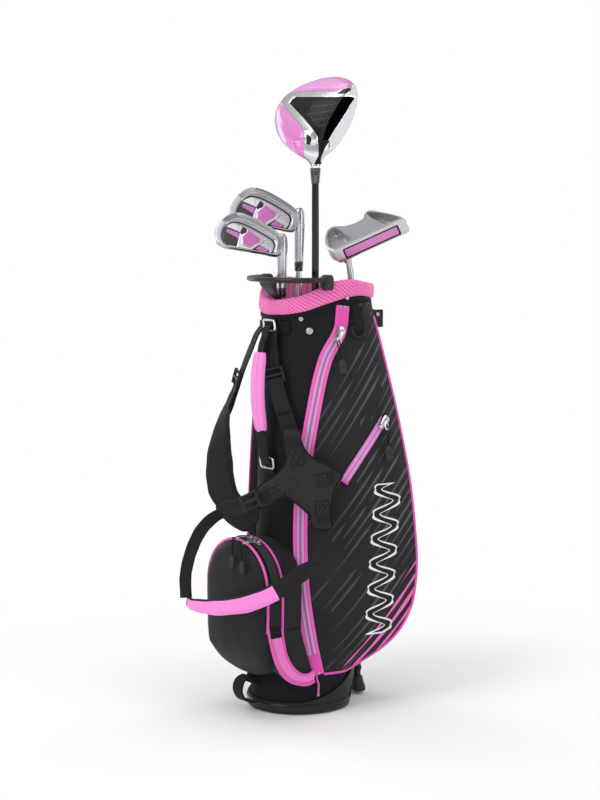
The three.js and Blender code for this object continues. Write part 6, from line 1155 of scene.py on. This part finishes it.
def driver():
    PR = Crv([((t + 37) * 1.18 - 32.8, (f - 7) * 1.16 + 21.4, 0) for t, f in [(-33, -8), (-37, -24), (-32, -44), (-19, -63), (0, -79), (19, -87), (38, -86), (56, -76), (70, -57), (77, -36), (76, -17), (68, -4), (50, 4), (30, 7), (8, 6), (-14, 2)]], closed=True).spaced(240)
    prof = Crv([(0, -.9), (.12, -.8), (.28, -.45), (.42, .0), (.66, .75), (.83, 3.75), (.94, 10), (1.0, 18.75), (.995, 27.5), (.93, 37.5), (.80, 47.5), (.63, 55), (.40, 60.6), (.16, 62.5), (0.01, 62.9)])
    K = np.array([prof.at(i / 110) for i in range(111)]); K[:, 0] = np.maximum(K[:, 0], .006); ca, sa = cos(.21), sin(.21)
    m, n = len(K), len(PR); Rr = np.zeros((m, n, 3))
    for i, (k, h) in enumerate(K):
        x = 29.2 + (PR[:, 0] - 29.2) * k; y = -20.6 + (PR[:, 1] + 20.6) * (k * .94 + .06 if k > .06 else k); z = np.full(n, h + .5)
        over = (y - 13.5) * ca + (z - 14) * sa; w = 1.1; cl = np.where(over > w, over, np.where(over < -w, 0, (over + w) ** 2 / (4 * w)))
        cl = np.where(over > w, over, cl); y = y - cl * ca; z = z - cl * sa
        Rr[i] = np.stack([x, y, z], 1)
    W = drv["top"] + Rr[..., 0:1] * drv["T"] + Rr[..., 1:2] * drv["F"] - Rr[..., 2:3] * drv["S"]
    X, Y = pxOf(W); front = Rr[..., 2] < 30
    sil = [(349.3, 86.6), (337, 90.8), (317, 90.8), (296.4, 92.3), (285.6, 94.2), (280.7, 102.7), (287.2, 110.3), (294.8, 119.5), (301, 127.2), (304.4, 133.3), (303.9, 148.7), (304.4, 158.7), (308, 166), (310, 172), (322, 172), (336, 160), (352, 140), (368, 112), (364, 90)]
    plate = [(289.5, 103.4), (292, 99.4), (296, 96.8), (337, 97), (349, 96.3), (359.6, 98.5), (353.9, 102.7), (344.7, 115.7), (331.7, 137.2), (324.7, 148.7), (320.9, 157.1), (317.8, 168), (313.4, 167), (317.4, 154.8), (317.8, 137.2), (310.9, 127.2), (303.3, 118)]
    v1 = [(337, 93.5), (344.7, 88.5), (350, 88.1), (351.6, 90.4), (345.5, 93.9)]; v2 = [(306.7, 133), (311.7, 138), (309, 149.8), (306, 149.5)]
    pool = [(297, 100.5), (315, 100.5), (312, 106), (306.5, 113.5), (300, 109)]
    far = lambda a: np.where(front, a, -3.0) * 1.318
    FC_ = np.where(Rr[..., 2] > 11, ((Rr[..., 1] - 13.5) * ca + (Rr[..., 2] - 14) * sa) + .9, -6.0); FC_ = np.where(Rr[..., 2] < 60, FC_, -3)
    S_ = np.maximum(far(sdf(sil, X, Y)), FC_ * 2); P_ = far(sdf(plate, X, Y)); V_ = far(np.maximum(sdf(v1, X, Y), sdf(v2, X, Y)))
    SLR = far(sdf([(315.5, 99.6), (341.5, 99.2), (333, 113), (322.5, 130.5), (318.5, 128), (306.5, 113.6)], X, Y))
    SL = SLR; FR = np.full(X.shape, -9.0)
    for j in range(7):                                   # fine score marks along the leading edge
        FR = np.maximum(FR, line_sd((lerp(334, 352, j / 6), lerp(141, 113, j / 6)), (lerp(337.5, 356.5, j / 6), lerp(143.5, 114.5, j / 6)), .28, X, Y))
    FR = far(FR); HT = far(np.minimum(sdf([(286, 93), (292, 86), (302, 80), (318, 76.5), (338, 79), (347, 84), (338, 88.5), (317, 89), (298, 90.5)], X, Y), 3))
    ridge = far(sdf([(300.5, 101.5), (330, 101), (318, 131), (312, 125)], X, Y))
    # relief: silver frame stands proud, plate and vents are let in
    rel = 0.55 * smoothstep(-.6, .6, S_) - 1.1 * smoothstep(-.5, .7, P_) - 1.0 * smoothstep(-.3, .5, V_) - .0 * smoothstep(-.4, .4, SL) + .35 * smoothstep(-.5, .7, ridge)
    edge = np.clip((30 - Rr[..., 2]) / 14, 0, 1); Wd = W + (rel * edge)[..., None] * drv["S"] * .9
    mt = np.stack([drv["T"], drv["F"], -drv["S"]]); L = (Wd - drv["top"]) @ mt.T
    g = G("driver_sole"); o = g.obj(); u, v, w = g.sep(g.uv())
    fl = g.noise(o, 2200, 2, .6); pink = g.mix(g.noise(o, 9, 2), C(212, 122, 194), C(224, 140, 206)); hat = g.math("GREATER_THAN", g.math("FRACT", g.math("MULTIPLY", g.math("ADD", u, g.math("MULTIPLY", v, .6)), 330.0)), .5); hr = g.math("LESS_THAN", g.math("FRACT", g.math("MULTIPLY", v, 400.0)), .62)
    hm = g.math("MULTIPLY", g.math("MULTIPLY", band_(g, "hatch", .8), hat), hr); pink = g.mix(g.math("MULTIPLY", hm, .75), pink, C(246, 206, 238))
    s_, p_, v_, l_, f_ = (band_(g, k, .10) for k in ("silver", "plate", "vent", "slots", "score"))
    p_ = g.math("MULTIPLY", p_, 1.0); car = g.math("MULTIPLY", g.sinw(g.math("ADD", u, v), .0024), g.sinw(g.math("SUBTRACT", u, v), .0024)); blk = g.mix(g.map(car, -.3, .3), C(24, 24, 26), C(34, 34, 37))
    brush = g.noise(g.scale(g.uv(), (900, 60, 1)), 1.0, 3, .6); sil_c = g.mix(brush, C(186, 188, 192), C(224, 226, 229))
    col = g.mix(s_, pink, sil_c); col = g.mix(f_, col, C(70, 70, 74)); col = g.mix(p_, col, blk); PX = g.math("DIVIDE", u, .001318); PY = g.math("DIVIDE", v, -.001318); st = g.math("LESS_THAN", g.math("FRACT", g.math("DIVIDE", g.math("MULTIPLY_ADD", PY, .45, PX), 2.15)), .5); rw = g.math("LESS_THAN", g.math("FRACT", g.math("DIVIDE", g.math("ADD", g.math("MULTIPLY_ADD", PX, .16, PY), 28.0), 6.6)), .80)
    col = g.mix(g.math("MULTIPLY", l_, p_), col, C(58, 57, 61)); l_ = g.math("MULTIPLY", l_, g.math("MULTIPLY", st, rw)); col = g.mix(g.math("MULTIPLY", l_, p_), col, C(6, 6, 7)); col = g.mix(g.math("MULTIPLY", band_(g, "cham", .4), p_), col, C(6, 6, 7)); col = g.mix(v_, col, C(5, 5, 6))
    rim = g.math("MULTIPLY", g.map(g.attr("plate"), -.75, -.45), g.map(g.attr("plate"), .05, -.15)); col = g.mix(g.math("MULTIPLY", rim, s_), col, C(238, 240, 242))
    metal_ = g.math("MULTIPLY", s_, g.math("SUBTRACT", 1.0, g.math("MAXIMUM", p_, v_)))
    ch_ = g.math("SUBTRACT", 1.0, g.math("MULTIPLY", band_(g, "cham", .4), p_)); fp_ = band_(g, "facep", .2); col = g.mix(fp_, col, g.mix(f_, C(172, 174, 178), C(90, 90, 94))); p_ = g.math("MULTIPLY", p_, g.math("SUBTRACT", 1.0, fp_))
    g.set(base=col, metal=g.math("MULTIPLY", g.math("MULTIPLY_ADD", metal_, .75, .22), g.math("SUBTRACT", 1.0, g.math("MAXIMUM", p_, g.math("MULTIPLY", fp_, .7)))), rough=g.mixf(s_, g.mixf(fl, .18, .26), g.mixf(p_, g.mixf(brush, .20, .32), .26)), spec=g.math("MULTIPLY", g.mixf(g.math("MAXIMUM", p_, fp_), .5, .08), ch_), coat=g.math("MULTIPLY", g.mixf(g.math("MAXIMUM", s_, g.math("MAXIMUM", p_, fp_)), .45, .03), ch_), coatr=.12, normal=g.bump(g.math("SUBTRACT", g.math("MULTIPLY", g.math("MULTIPLY", brush, metal_), .2), g.math("MULTIPLY", l_, p_)), .35, .0008))
    face = g
    uvf = lambda i, k: ((float(X[min(i, m - 1), k % n]) - 318) * .001318, (128 - float(Y[min(i, m - 1), k % n])) * .001318)
    ob = skin("driver_clubhead", L, g.m, "driver", caps=("fan", "fan"), uv=uvf, matrix=frameM(drv["top"], drv["T"], drv["F"], -drv["S"]), attrs={"silver": S_, "plate": P_, "vent": V_, "slots": SL, "score": FR, "hatch": HT, "facep": np.where(P_ > -.8, -4.0, FC_ * 2), "cham": ((Rr[..., 1] - 13.5) * ca + (Rr[..., 2] - 14) * sa + .7) * 2}, sharp=0)
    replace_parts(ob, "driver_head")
    at = lambda d: drv["top"] + drv["A"] * d
    e1 = unit(RT - drv["A"] * (RT @ drv["A"])); e2 = np.cross(drv["A"], e1); rings = []
    FLR = Crv([(26, 30, 20, 9), (37, 29, 20, 11), (44, 24, 15, 11), (48, 17.5, 12, 10.4), (52, 11.5, 9.7, 9.4), (55.8, 8.3, 8.3, 8.3), (56.2, 7.9, 7.9, 7.9)])
    for i in range(44):
        d, rl, rr, rd_ = FLR.at(i / 43); c = at(d)
        rings.append([c + e1 * (rr if cos(q) > 0 else rl) * cos(q) + e2 * rd_ * sin(q) for q in np.linspace(0, 2 * pi, 97)[:-1]])
    RG = np.array(rings); X2, Y2 = pxOf(RG); m2 = len(RG)
    sil2 = [(303.9, 125), (304, 148.7), (304.6, 162), (306.5, 169), (309, 180), (330, 180), (352, 140), (345, 110), (310, 110)]; pl2 = [(317.9, 125), (318.5, 148), (318.3, 156), (313.5, 164.5), (306, 169), (306, 182), (327, 182), (325, 168), (320.8, 161.5), (321.4, 157), (324.9, 148.7), (331.9, 137.2), (336, 130)]
    L2 = (RG - drv["top"]) @ mt.T; z0 = np.full(X2.shape, -9.0)
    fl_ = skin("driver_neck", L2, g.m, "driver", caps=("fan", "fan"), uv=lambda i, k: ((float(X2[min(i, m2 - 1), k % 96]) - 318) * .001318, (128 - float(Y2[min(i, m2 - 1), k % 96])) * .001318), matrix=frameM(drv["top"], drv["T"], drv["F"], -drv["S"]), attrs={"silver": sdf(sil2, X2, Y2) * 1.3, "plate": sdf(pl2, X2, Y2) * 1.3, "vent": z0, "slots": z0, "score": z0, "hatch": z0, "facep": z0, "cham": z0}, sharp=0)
    H = Crv([(14, 7.4), (20, 8.2), (23, 8.9), (25, 9.0), (34, 8.7), (50, 8.1), (56.5, 7.8)]); hs = [H.at(i / 40) for i in range(41)]
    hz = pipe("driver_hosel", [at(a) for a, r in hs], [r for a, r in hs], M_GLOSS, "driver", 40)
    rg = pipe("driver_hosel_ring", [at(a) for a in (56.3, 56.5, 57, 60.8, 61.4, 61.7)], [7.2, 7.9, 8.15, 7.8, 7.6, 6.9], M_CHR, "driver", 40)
    sleeve("driver_collar", drv, 61.9, 82, 7.4, 5.5, "driver_ferrule", "driver")
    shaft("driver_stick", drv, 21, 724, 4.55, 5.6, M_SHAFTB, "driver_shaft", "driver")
    grip("driver_handle", drv, 225, 9.2, 12, "driver_grip", "driver")
driver()

# ------------------------------------------------------------------ irons
def iron(key, num, butt, top, lie, q, ln, loft_):
    fr = clubFrame(butt, top, lie, q); la = radians(loft_); T, S, F = fr["T"], fr["S"], fr["F"]
    up = -S * cos(la) - F * sin(la); out = F * cos(la) - S * sin(la); oo = fr["top"] + F * 5
    P = Crv([(a, b, 0) for a, b in [(-3, 13), (2, 4), (12, 1.2), (30, 0), (50, .2), (64, 2.6), (74, 9), (79.5, 20), (80.5, 33), (77, 46), (70, 53.5), (62, 54), (48, 48.5), (30, 40.5), (14, 33.5), (4, 30), (-4, 25)]], closed=True).spaced(200)[:, :2]
    th = lambda h: 5.5 + 11 * max(0, 1 - h / 22) ** 1.3
    c = A(42, 27.5)
    Q = P * 1.07
    def inset(k):
        kt = k + np.where(P[:, 0] > 42, .11, .03) * min(1, k / .6); kh = k + np.where(P[:, 1] > 25, .09, .03) * min(1, k / .6); return np.stack([42 + (P[:, 0] - 42) * kt, 27.2 + (P[:, 1] - 25) * kh], 1)
    rows = []                                            # (points 2-D, depth)
    for k in np.linspace(.02, .97, 16): rows.append((c + (Q - c) * k, np.full(200, 0.0)))
    rows += [(c + (Q - c) * .985, np.full(200, -.12)), (c + (Q - c) * .996, np.full(200, -.55)), (Q, np.full(200, -1.3))]
    tq = np.array([th(h) for h in Q[:, 1]])
    rows += [(Q, -tq * .35 - .8), (Q, -tq * .65), (Q, -tq + 1.4), (c + (Q - c) * .996, -tq + .6), (c + (Q - c) * .985, -tq + .1), (c + (Q - c) * .97, -tq)]
    cav = inset(.80); rim = inset(.835)
    t2 = lambda q_: np.array([th(h) for h in q_[:, 1]])
    for f in (.25, .5, .75): r_ = lerp(c + (Q - c) * .97, rim, f); rows.append((r_, -np.minimum(t2(r_), 12.5)))
    rows += [(rim, -np.minimum(t2(rim), 12)), (lerp(rim, cav, .5), -np.minimum(t2(rim), 12) + .35), (cav, -np.minimum(t2(cav), 12) + 1.1)]
    flo = inset(.765)
    for f in (.3, .6, .88): rows.append((lerp(cav, flo, f), lerp(-np.minimum(t2(cav), 12) + 1.1, np.full(200, -2.95), f)))
    rows.append((inset(.755), np.full(200, -2.8)))
    for k in (.72, .5, .25, .02): rows.append((inset(k), np.full(200, -2.8)))
    R = np.array([[oo + T * a + up * b + out * d for (a, b), d in zip(p, dd)] for p, dd in rows])
    # painted shade: the topline edge is painted near-black, placed by position
    TT = np.array([[a for a, b in p] for p, dd in rows]); HH = np.array([[b for a, b in p] for p, dd in rows]); DD = np.array([dd for p, dd in rows])
    M4 = frameM(oo, T, up, out); inv = np.stack([T, up, out]); L = (R - oo) @ inv.T
    g = G(key + "_chrome"); o = g.obj(); x, y, z = g.sep(o); mil = g.math("MULTIPLY", g.math("GREATER_THAN", z, -.0002), g.math("MULTIPLY", g.math("GREATER_THAN", x, .016), g.math("LESS_THAN", x, .066)))
    gr = g.math("MULTIPLY", g.math("LESS_THAN", g.math("FRACT", g.math("MULTIPLY", y, 330.0)), .22), mil); cavm = g.map(g.attr("cavity"), .3, .7); br = g.noise(g.scale(o, (120, 3000, 400)), 1.0, 3, .6)
    # painted shade on the topline edge: near-black colour and less metal
    topline_shade = g.map(g.attr("edge"), .45, .55)
    col = g.mix(cavm, g.mix(br, C(176, 178, 182), C(204, 206, 210)), C(40, 40, 44)); col = g.mix(gr, col, C(60, 60, 64)); col = g.mix(topline_shade, col, C(14, 14, 15))
    g.set(base=col, metal=g.math("SUBTRACT", 1.0, g.math("MULTIPLY", topline_shade, .9)), rough=g.mixf(cavm, g.mixf(br, .26, .36), .38), normal=g.bump(g.math("SUBTRACT", g.math("MULTIPLY", br, .1), gr), .25, .0005))
    nrow = len(rows); cv = np.array([[1.0 if i >= nrow - 6 else 0.0] * 200 for i in range(nrow)])
    # painted shade: a near-black line where the topline turns into the rear, a narrow band of the rim above mid height
    topline_shade_rows = np.zeros_like(TT); ring_i = [i for i in range(nrow) if 19 <= i <= 24]
    for i in ring_i: topline_shade_rows[i] = np.where((HH[i] > 24 + .0 * TT[i]) & (TT[i] < 58), 1.0, 0.0) * (1.0 if 20 <= i <= 23 else 0)
    ob = skin(key + "_clubhead", L, g.m, key, matrix=M4, attrs={"cavity": cv, "edge": topline_shade_rows}, sharp=42); 
    # hosel, blended into the heel
    at = lambda d: fr["top"] + fr["A"] * d
    Hc = Crv([(-10.5, 2.0), (-9.6, 4.6), (-6, 6.5), (0, 7.2), (8, 7.6), (16, 7.35), (24, 7.0), (42, 6.7), (61, 6.4), (61.8, 6.1)]); hs = [Hc.at(i / 60) for i in range(61)]
    g2 = metal(key + "_hosel_chrome", C(186, 188, 192), .24, r2=.08)
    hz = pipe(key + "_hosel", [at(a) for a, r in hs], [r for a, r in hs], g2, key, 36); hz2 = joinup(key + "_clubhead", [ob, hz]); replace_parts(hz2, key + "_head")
    # badge: painted relief plate in the cavity
    k88 = lambda p: (42 + (p[0] - 42) * .95, 27.0 + ((p[1] + 3) / 71 * 58 - 27.0) * 1.0)
    F_ = {"toeb": [(78.6, 28.8), (55.5, 25.4), (51.2, 55.1), (74.7, 64.4), (79.2, 44.5)], "toep": [(74, 31.5), (56.4, 27.4), (53.7, 38.7), (73.4, 37.6)], "shield": [(49.6, 12.6), (26.5, 17.3), (25.7, 26.9), (33, 43.5), (45.6, 46.2), (51.4, 31.3), (47.8, 18.7)],
          "corner": [(55.7, 11.6), (49.6, 12.6), (47.8, 18.7), (52.5, 28.5), (55.9, 25.7)], "heelp": [(22.8, 30), (9.7, 29.9), (11.6, 39.8), (26.2, 40.3)], "heelb": [(32.4, 49.5), (24.8, 29.2), (7.4, 29.8), (12.8, 45.7), (50.8, 56.2)]}
    F_ = {k: [k88(p) for p in v] for k, v in F_.items()}
    ks = list(np.linspace(.02, .745, 54)); O = inset(1.0); cc = A(42, 27.5)
    rows2 = [(inset(k), k) for k in ks]; Rb = []; Tt = []; Hh = []
    for p, k in rows2: Tt.append(p[:, 0]); Hh.append(p[:, 1])
    Tt, Hh = np.array(Tt), np.array(Hh); sd = {k: sdf(v, Tt, Hh) for k, v in F_.items()}
    e1, e2 = k88((62, 9.5)), k88((60, 22.6)); e3, e4 = k88((20.6, 16)), k88((23, 26)); tick = np.maximum(line_sd(e1, e2, .35, Tt, Hh), line_sd(e3, e4, .35, Tt, Hh))
    ribs = np.where(sd["toeb"] > 0, np.sin(Hh * 2 * pi / 2.1), 0)
    rel = .55 * smoothstep(-.4, .5, sd["shield"]) - .55 * smoothstep(-.4, .5, sd["toeb"]) - .4 * smoothstep(-.4, .5, sd["heelb"]) + .35 * smoothstep(-.4, .4, sd["toep"]) + .35 * smoothstep(-.4, .4, sd["heelp"]) - .3 * smoothstep(-.3, .3, sd["corner"]) + .12 * ribs * smoothstep(0, .8, sd["toeb"]) * (sd["toep"] < 0)
    dep = -4.3 - rel; kk = np.array([k for p, k in rows2])[:, None]; dep = dep + .9 * smoothstep(.73, .745, kk)
    rows3 = np.stack([Tt, Hh, dep], 2); ex = inset(.745); rows3 = np.concatenate([rows3, np.stack([ex[:, 0], ex[:, 1], np.full(200, -3.1)], 1)[None], np.stack([42 + (ex[:, 0] - 42) * .03, 27.5 + (ex[:, 1] - 27.5) * .03, np.full(200, -3.1)], 1)[None]])
    ext = lambda a, v=-3.0: np.concatenate([a, np.full((2, 200), v)])
    g = G(key + "_badge_paint"); o = g.obj(); br = g.noise(g.scale(o, (2500, 90, 90)), 1.0, 3, .6); x, y, z = g.sep(o)
    chrome = g.mix(br, C(204, 206, 209), C(230, 232, 234)); B = {k: band_(g, k, .09) for k in ("toeb", "toep", "shield", "corner", "heelp", "heelb", "tick")}
    rib = g.math("ABSOLUTE", g.sinw(y, .0016)); rib2 = g.math("LESS_THAN", g.math("FRACT", g.math("MULTIPLY", y, 900.0)), .45)
    col = g.mix(B["toeb"], chrome, g.mix(rib, C(14, 14, 15), C(40, 40, 43))); col = g.mix(B["heelb"], col, C(16, 16, 17)); col = g.mix(B["corner"], col, C(18, 18, 20))
    pk = g.mix(g.noise(o, 60, 2), C(196, 104, 178), C(214, 128, 198)); col = g.mix(B["toep"], col, g.mix(g.math("MULTIPLY", rib2, .6), pk, C(110, 44, 100))); col = g.mix(B["heelp"], col, g.mix(g.math("MULTIPLY", rib2, .6), pk, C(110, 44, 100))); col = g.mix(B["shield"], col, pk)
    sh = g.map(g.attr("shield"), .55, .8); shi = g.map(g.attr("shield"), 1.25, 1.0); col = g.mix(g.math("MULTIPLY", sh, shi), col, C(226, 228, 230)); col = g.mix(B["tick"], col, C(30, 30, 32))
    nm = g.math("MAXIMUM", g.math("MAXIMUM", B["toeb"], B["heelb"]), B["corner"])
    g.set(base=col, metal=g.mixf(nm, .8, .1), rough=g.mixf(nm, g.mixf(br, .18, .3), .3), coat=.4, coatr=.08, normal=g.bump(br, .05, .0002))
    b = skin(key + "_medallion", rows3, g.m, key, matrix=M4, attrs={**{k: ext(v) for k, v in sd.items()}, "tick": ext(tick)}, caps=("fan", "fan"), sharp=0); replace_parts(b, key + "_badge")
    # number stamped on the sole
    digs = {7: [(-2, 3), (2, 3), (2, 2.4), (-.4, -3)], 9: [(1.7, 1.2), (.6, .3), (-1.0, .6), (-1.6, 1.8), (-.7, 3), (.9, 3), (1.8, 1.6), (1.5, -.8), (.2, -3)]}
    hb = -th(0) * .55; q_ = [oo + T * (53 + a * 1.05) + up * (-.12) + out * (hb + b * 1.05) for a, b in digs[num]]
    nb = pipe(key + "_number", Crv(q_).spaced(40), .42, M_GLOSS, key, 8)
    sleeve(key + "_collar", fr, 61.9, 74, 6.4, 5.6, key + "_ferrule", key)
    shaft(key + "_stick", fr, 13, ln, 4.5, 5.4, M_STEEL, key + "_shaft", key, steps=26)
    grip(key + "_handle", fr, 215, 8.8, 11.5, key + "_grip", key)
iron("iron7", 7, [-27, 12, 16], [-11.0, 8.0, 662], 61.5, [-.70, -.714, 0], 580, 32)
iron("iron9", 9, [-7.5, -26.7, 16], [-5.5, -26.5, 628], 62, [-.60, -.80, 0], 552, 40)

# ------------------------------------------------------------------ putter
def putter():
    S = unit(UP * .85 - CR * .385 + CN * .36); T = CR * .91 + UP * .414; T = unit(T - S * (T @ S)); F = np.cross(T, S); pO = A(35.5, 53.5, 612)
    loc = lambda t, h, f: pO + T * t - S * h + F * f
    mal = Crv([(-16, 14, 0), (-18.6, 6, 0), (-22, -4, 0), (-22.6, -18, 0), (-21, -33, 0), (-17.4, -48, 0), (-13, -60, 0), (-6, -66, 0), (2, -60, 0), (9, -51, 0), (18, -46, 0), (30, -44, 0), (40, -48, 0), (44, -60, 0), (50, -65, 0), (57, -58, 0), (62, -48, 0), (69, -34, 0), (76, -20, 0), (81, -8, 0), (85, 2, 0), (88, 14, 0)])
    side = mal.spaced(150)[:, :2]; fr_ = np.stack([np.linspace(88, -16, 46)[1:-1], np.full(44, 14.0)], 1); O = np.concatenate([side, fr_])
    def ringk(k, h, cap=None): return [loc(33 + (a - 33) * k, h, -22 + (b + 22) * k) for a, b in O]
    K = [(.03, -17.9), (.3, -17.9), (.6, -17.8), (.9, -17.7), (.955, -17.6), (.972, -17.45), (.985, -17.0), (.996, -16.3), (1.0, -15.2), (1.0, -9), (1.0, -3.2), (.998, -1.8), (.99, .2), (.975, 1.9), (.955, 3.1), (.93, 3.9), (.9, 4.2), (.6, 4.5), (.3, 4.6), (.03, 4.6)]
    body = skin("putter_body", [ringk(k, h) for k, h in K], M_CHR, "putter", sharp=0)
    def cutter(pts, h0, h1, f=None, closed=True, n=110):
        P = Crv([(a, b, 0) for a, b in pts], closed=True).spaced(n)[:, :2]; c = P.mean(0)
        return skin("cut", [[loc(*(lambda q: (q[0], h, q[1]))(c + (p - c) * k)) for p in P] for k, h in ((.03, h0), (.86, h0), (.93, h0 - .4), (.97, h0 - 1.6), (1.0, h1 + 3), (1.03, h1), (.03, h1))], M_CHR, "putter")
    c1 = cutter([(-4, -60), (-8, -58), (-11, -54), (-15, -42), (-17, -31), (-18, -18), (-18, -6), (-16.5, 3), (-12, 7), (0, 6), (10, 5.4), (13, 2), (11, -10), (7, -24), (4, -42), (-1, -57)], -5, -25)
    c2 = cutter([(47, -60), (52, -55), (60, -44), (67, -31), (73, -19), (79, -6), (82, 3), (80, 7), (72, 6), (60, 1.5), (57, -4), (54, -18), (50, -32), (47, -50)], -5, -25)
    # rounded pocket for the insert in the front face
    IP = rrect(40.5 - .2, 7.8, 2.4, 12, 5); cx, cy = 35.5, -6.2
    pk = skin("cut3", [[loc(cx + a * k, cy + b * k, f) for a, b in IP] for k, f in ((.03, 9.6), (1, 9.6), (1, 18), (.03, 18))], M_CHR, "putter")
    for i, c in enumerate((c1, c2, pk)):
        md = body.modifiers.new("cut%d" % i, "BOOLEAN"); md.operation = "DIFFERENCE"; md.object = c; md.solver = "EXACT"
    bpy.context.view_layer.update(); dg = bpy.context.evaluated_depsgraph_get(); me = bpy.data.meshes.new_from_object(body.evaluated_get(dg)); body.modifiers.clear(); body.data = me
    for c in (c1, c2, pk): bpy.data.objects.remove(c, do_unlink=True)
    g = G("putter_satin"); o = g.obj(); bl = g.noise(o, 1500, 3, .7); b2 = g.noise(o, 26, 2)
    g.set(base=g.mix(b2, C(188, 190, 193), C(206, 208, 211)), metal=.9, rough=g.mixf(bl, .28, .44), normal=g.bump(bl, .12, .0002)); me.materials.clear(); me.materials.append(g.m)
    me.polygons.foreach_set("material_index", [0] * len(me.polygons)); me.polygons.foreach_set("use_smooth", [True] * len(me.polygons)); me.set_sharp_from_angle(angle=radians(32)); 
    bv = body.modifiers.new("bevel", "BEVEL"); bv.width = .5 * MM; bv.segments = 2; bv.limit_method = "ANGLE"; bv.angle_limit = radians(40)
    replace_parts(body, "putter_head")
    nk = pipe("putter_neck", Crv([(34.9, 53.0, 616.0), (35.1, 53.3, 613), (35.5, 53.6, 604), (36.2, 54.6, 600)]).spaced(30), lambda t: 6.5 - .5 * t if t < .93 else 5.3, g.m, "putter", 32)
    # insert: dark bezel and pink plate
    def plate(name, k_in, f0, f1, mat, hw, hh, r):
        R_ = rrect(hw, hh, r, 12, 5); o = skin(name, [[loc(cx + a * k, cy + b * k2, f) for a, b in R_] for k, k2, f in ((.03, .03, f0), (1, 1, f0), (1, 1, f1 - .45), (.994, .97, f1 - .1), (.985, .93, f1), (.5, .5, f1), (.03, .03, f1))], mat, "putter", sharp=30); return o
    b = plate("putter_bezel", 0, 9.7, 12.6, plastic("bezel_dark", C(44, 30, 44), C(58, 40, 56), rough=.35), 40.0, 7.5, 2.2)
    gi = G("insert_pink"); o = gi.obj(); x, y, z = gi.sep(o); nn = gi.noise(o, 900, 3, .6)
    gi.set(base=gi.mix(gi.noise(o, 30, 2), C(200, 112, 178), C(212, 126, 190)), rough=.42, spec=.5, coat=.25, coatr=.2, normal=gi.bump(nn, .15, .0003))
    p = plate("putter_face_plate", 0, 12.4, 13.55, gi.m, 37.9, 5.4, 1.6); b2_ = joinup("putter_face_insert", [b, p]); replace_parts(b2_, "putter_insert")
    # shaft bent twice below the head
    SP = Crv([(35.2, 53.6, 609.5), (36.6, 55.1, 598), (38.3, 57.0, 582), (39.0, 57.9, 570), (39.1, 58.1, 558), (38.8, 57.8, 546), (27, 47, 70)]); P = np.concatenate([[SP.at(5 / 6 * i / 60) for i in range(60)], [lerp(A(38.8, 57.8, 546), A(27, 47, 70), i / 60) for i in range(61)]])
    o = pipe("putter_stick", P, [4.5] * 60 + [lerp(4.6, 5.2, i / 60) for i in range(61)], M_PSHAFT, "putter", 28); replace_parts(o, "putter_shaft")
    ax = unit(A(27, 47, 70) - A(38.8, 57.8, 546)); grip("putter_handle", dict(A=ax, top=A(38.8, 57.8, 546), butt=A(38.8, 57.8, 546) + ax * 499), 245, 10, 12.5, "putter_grip", "putter")
putter()
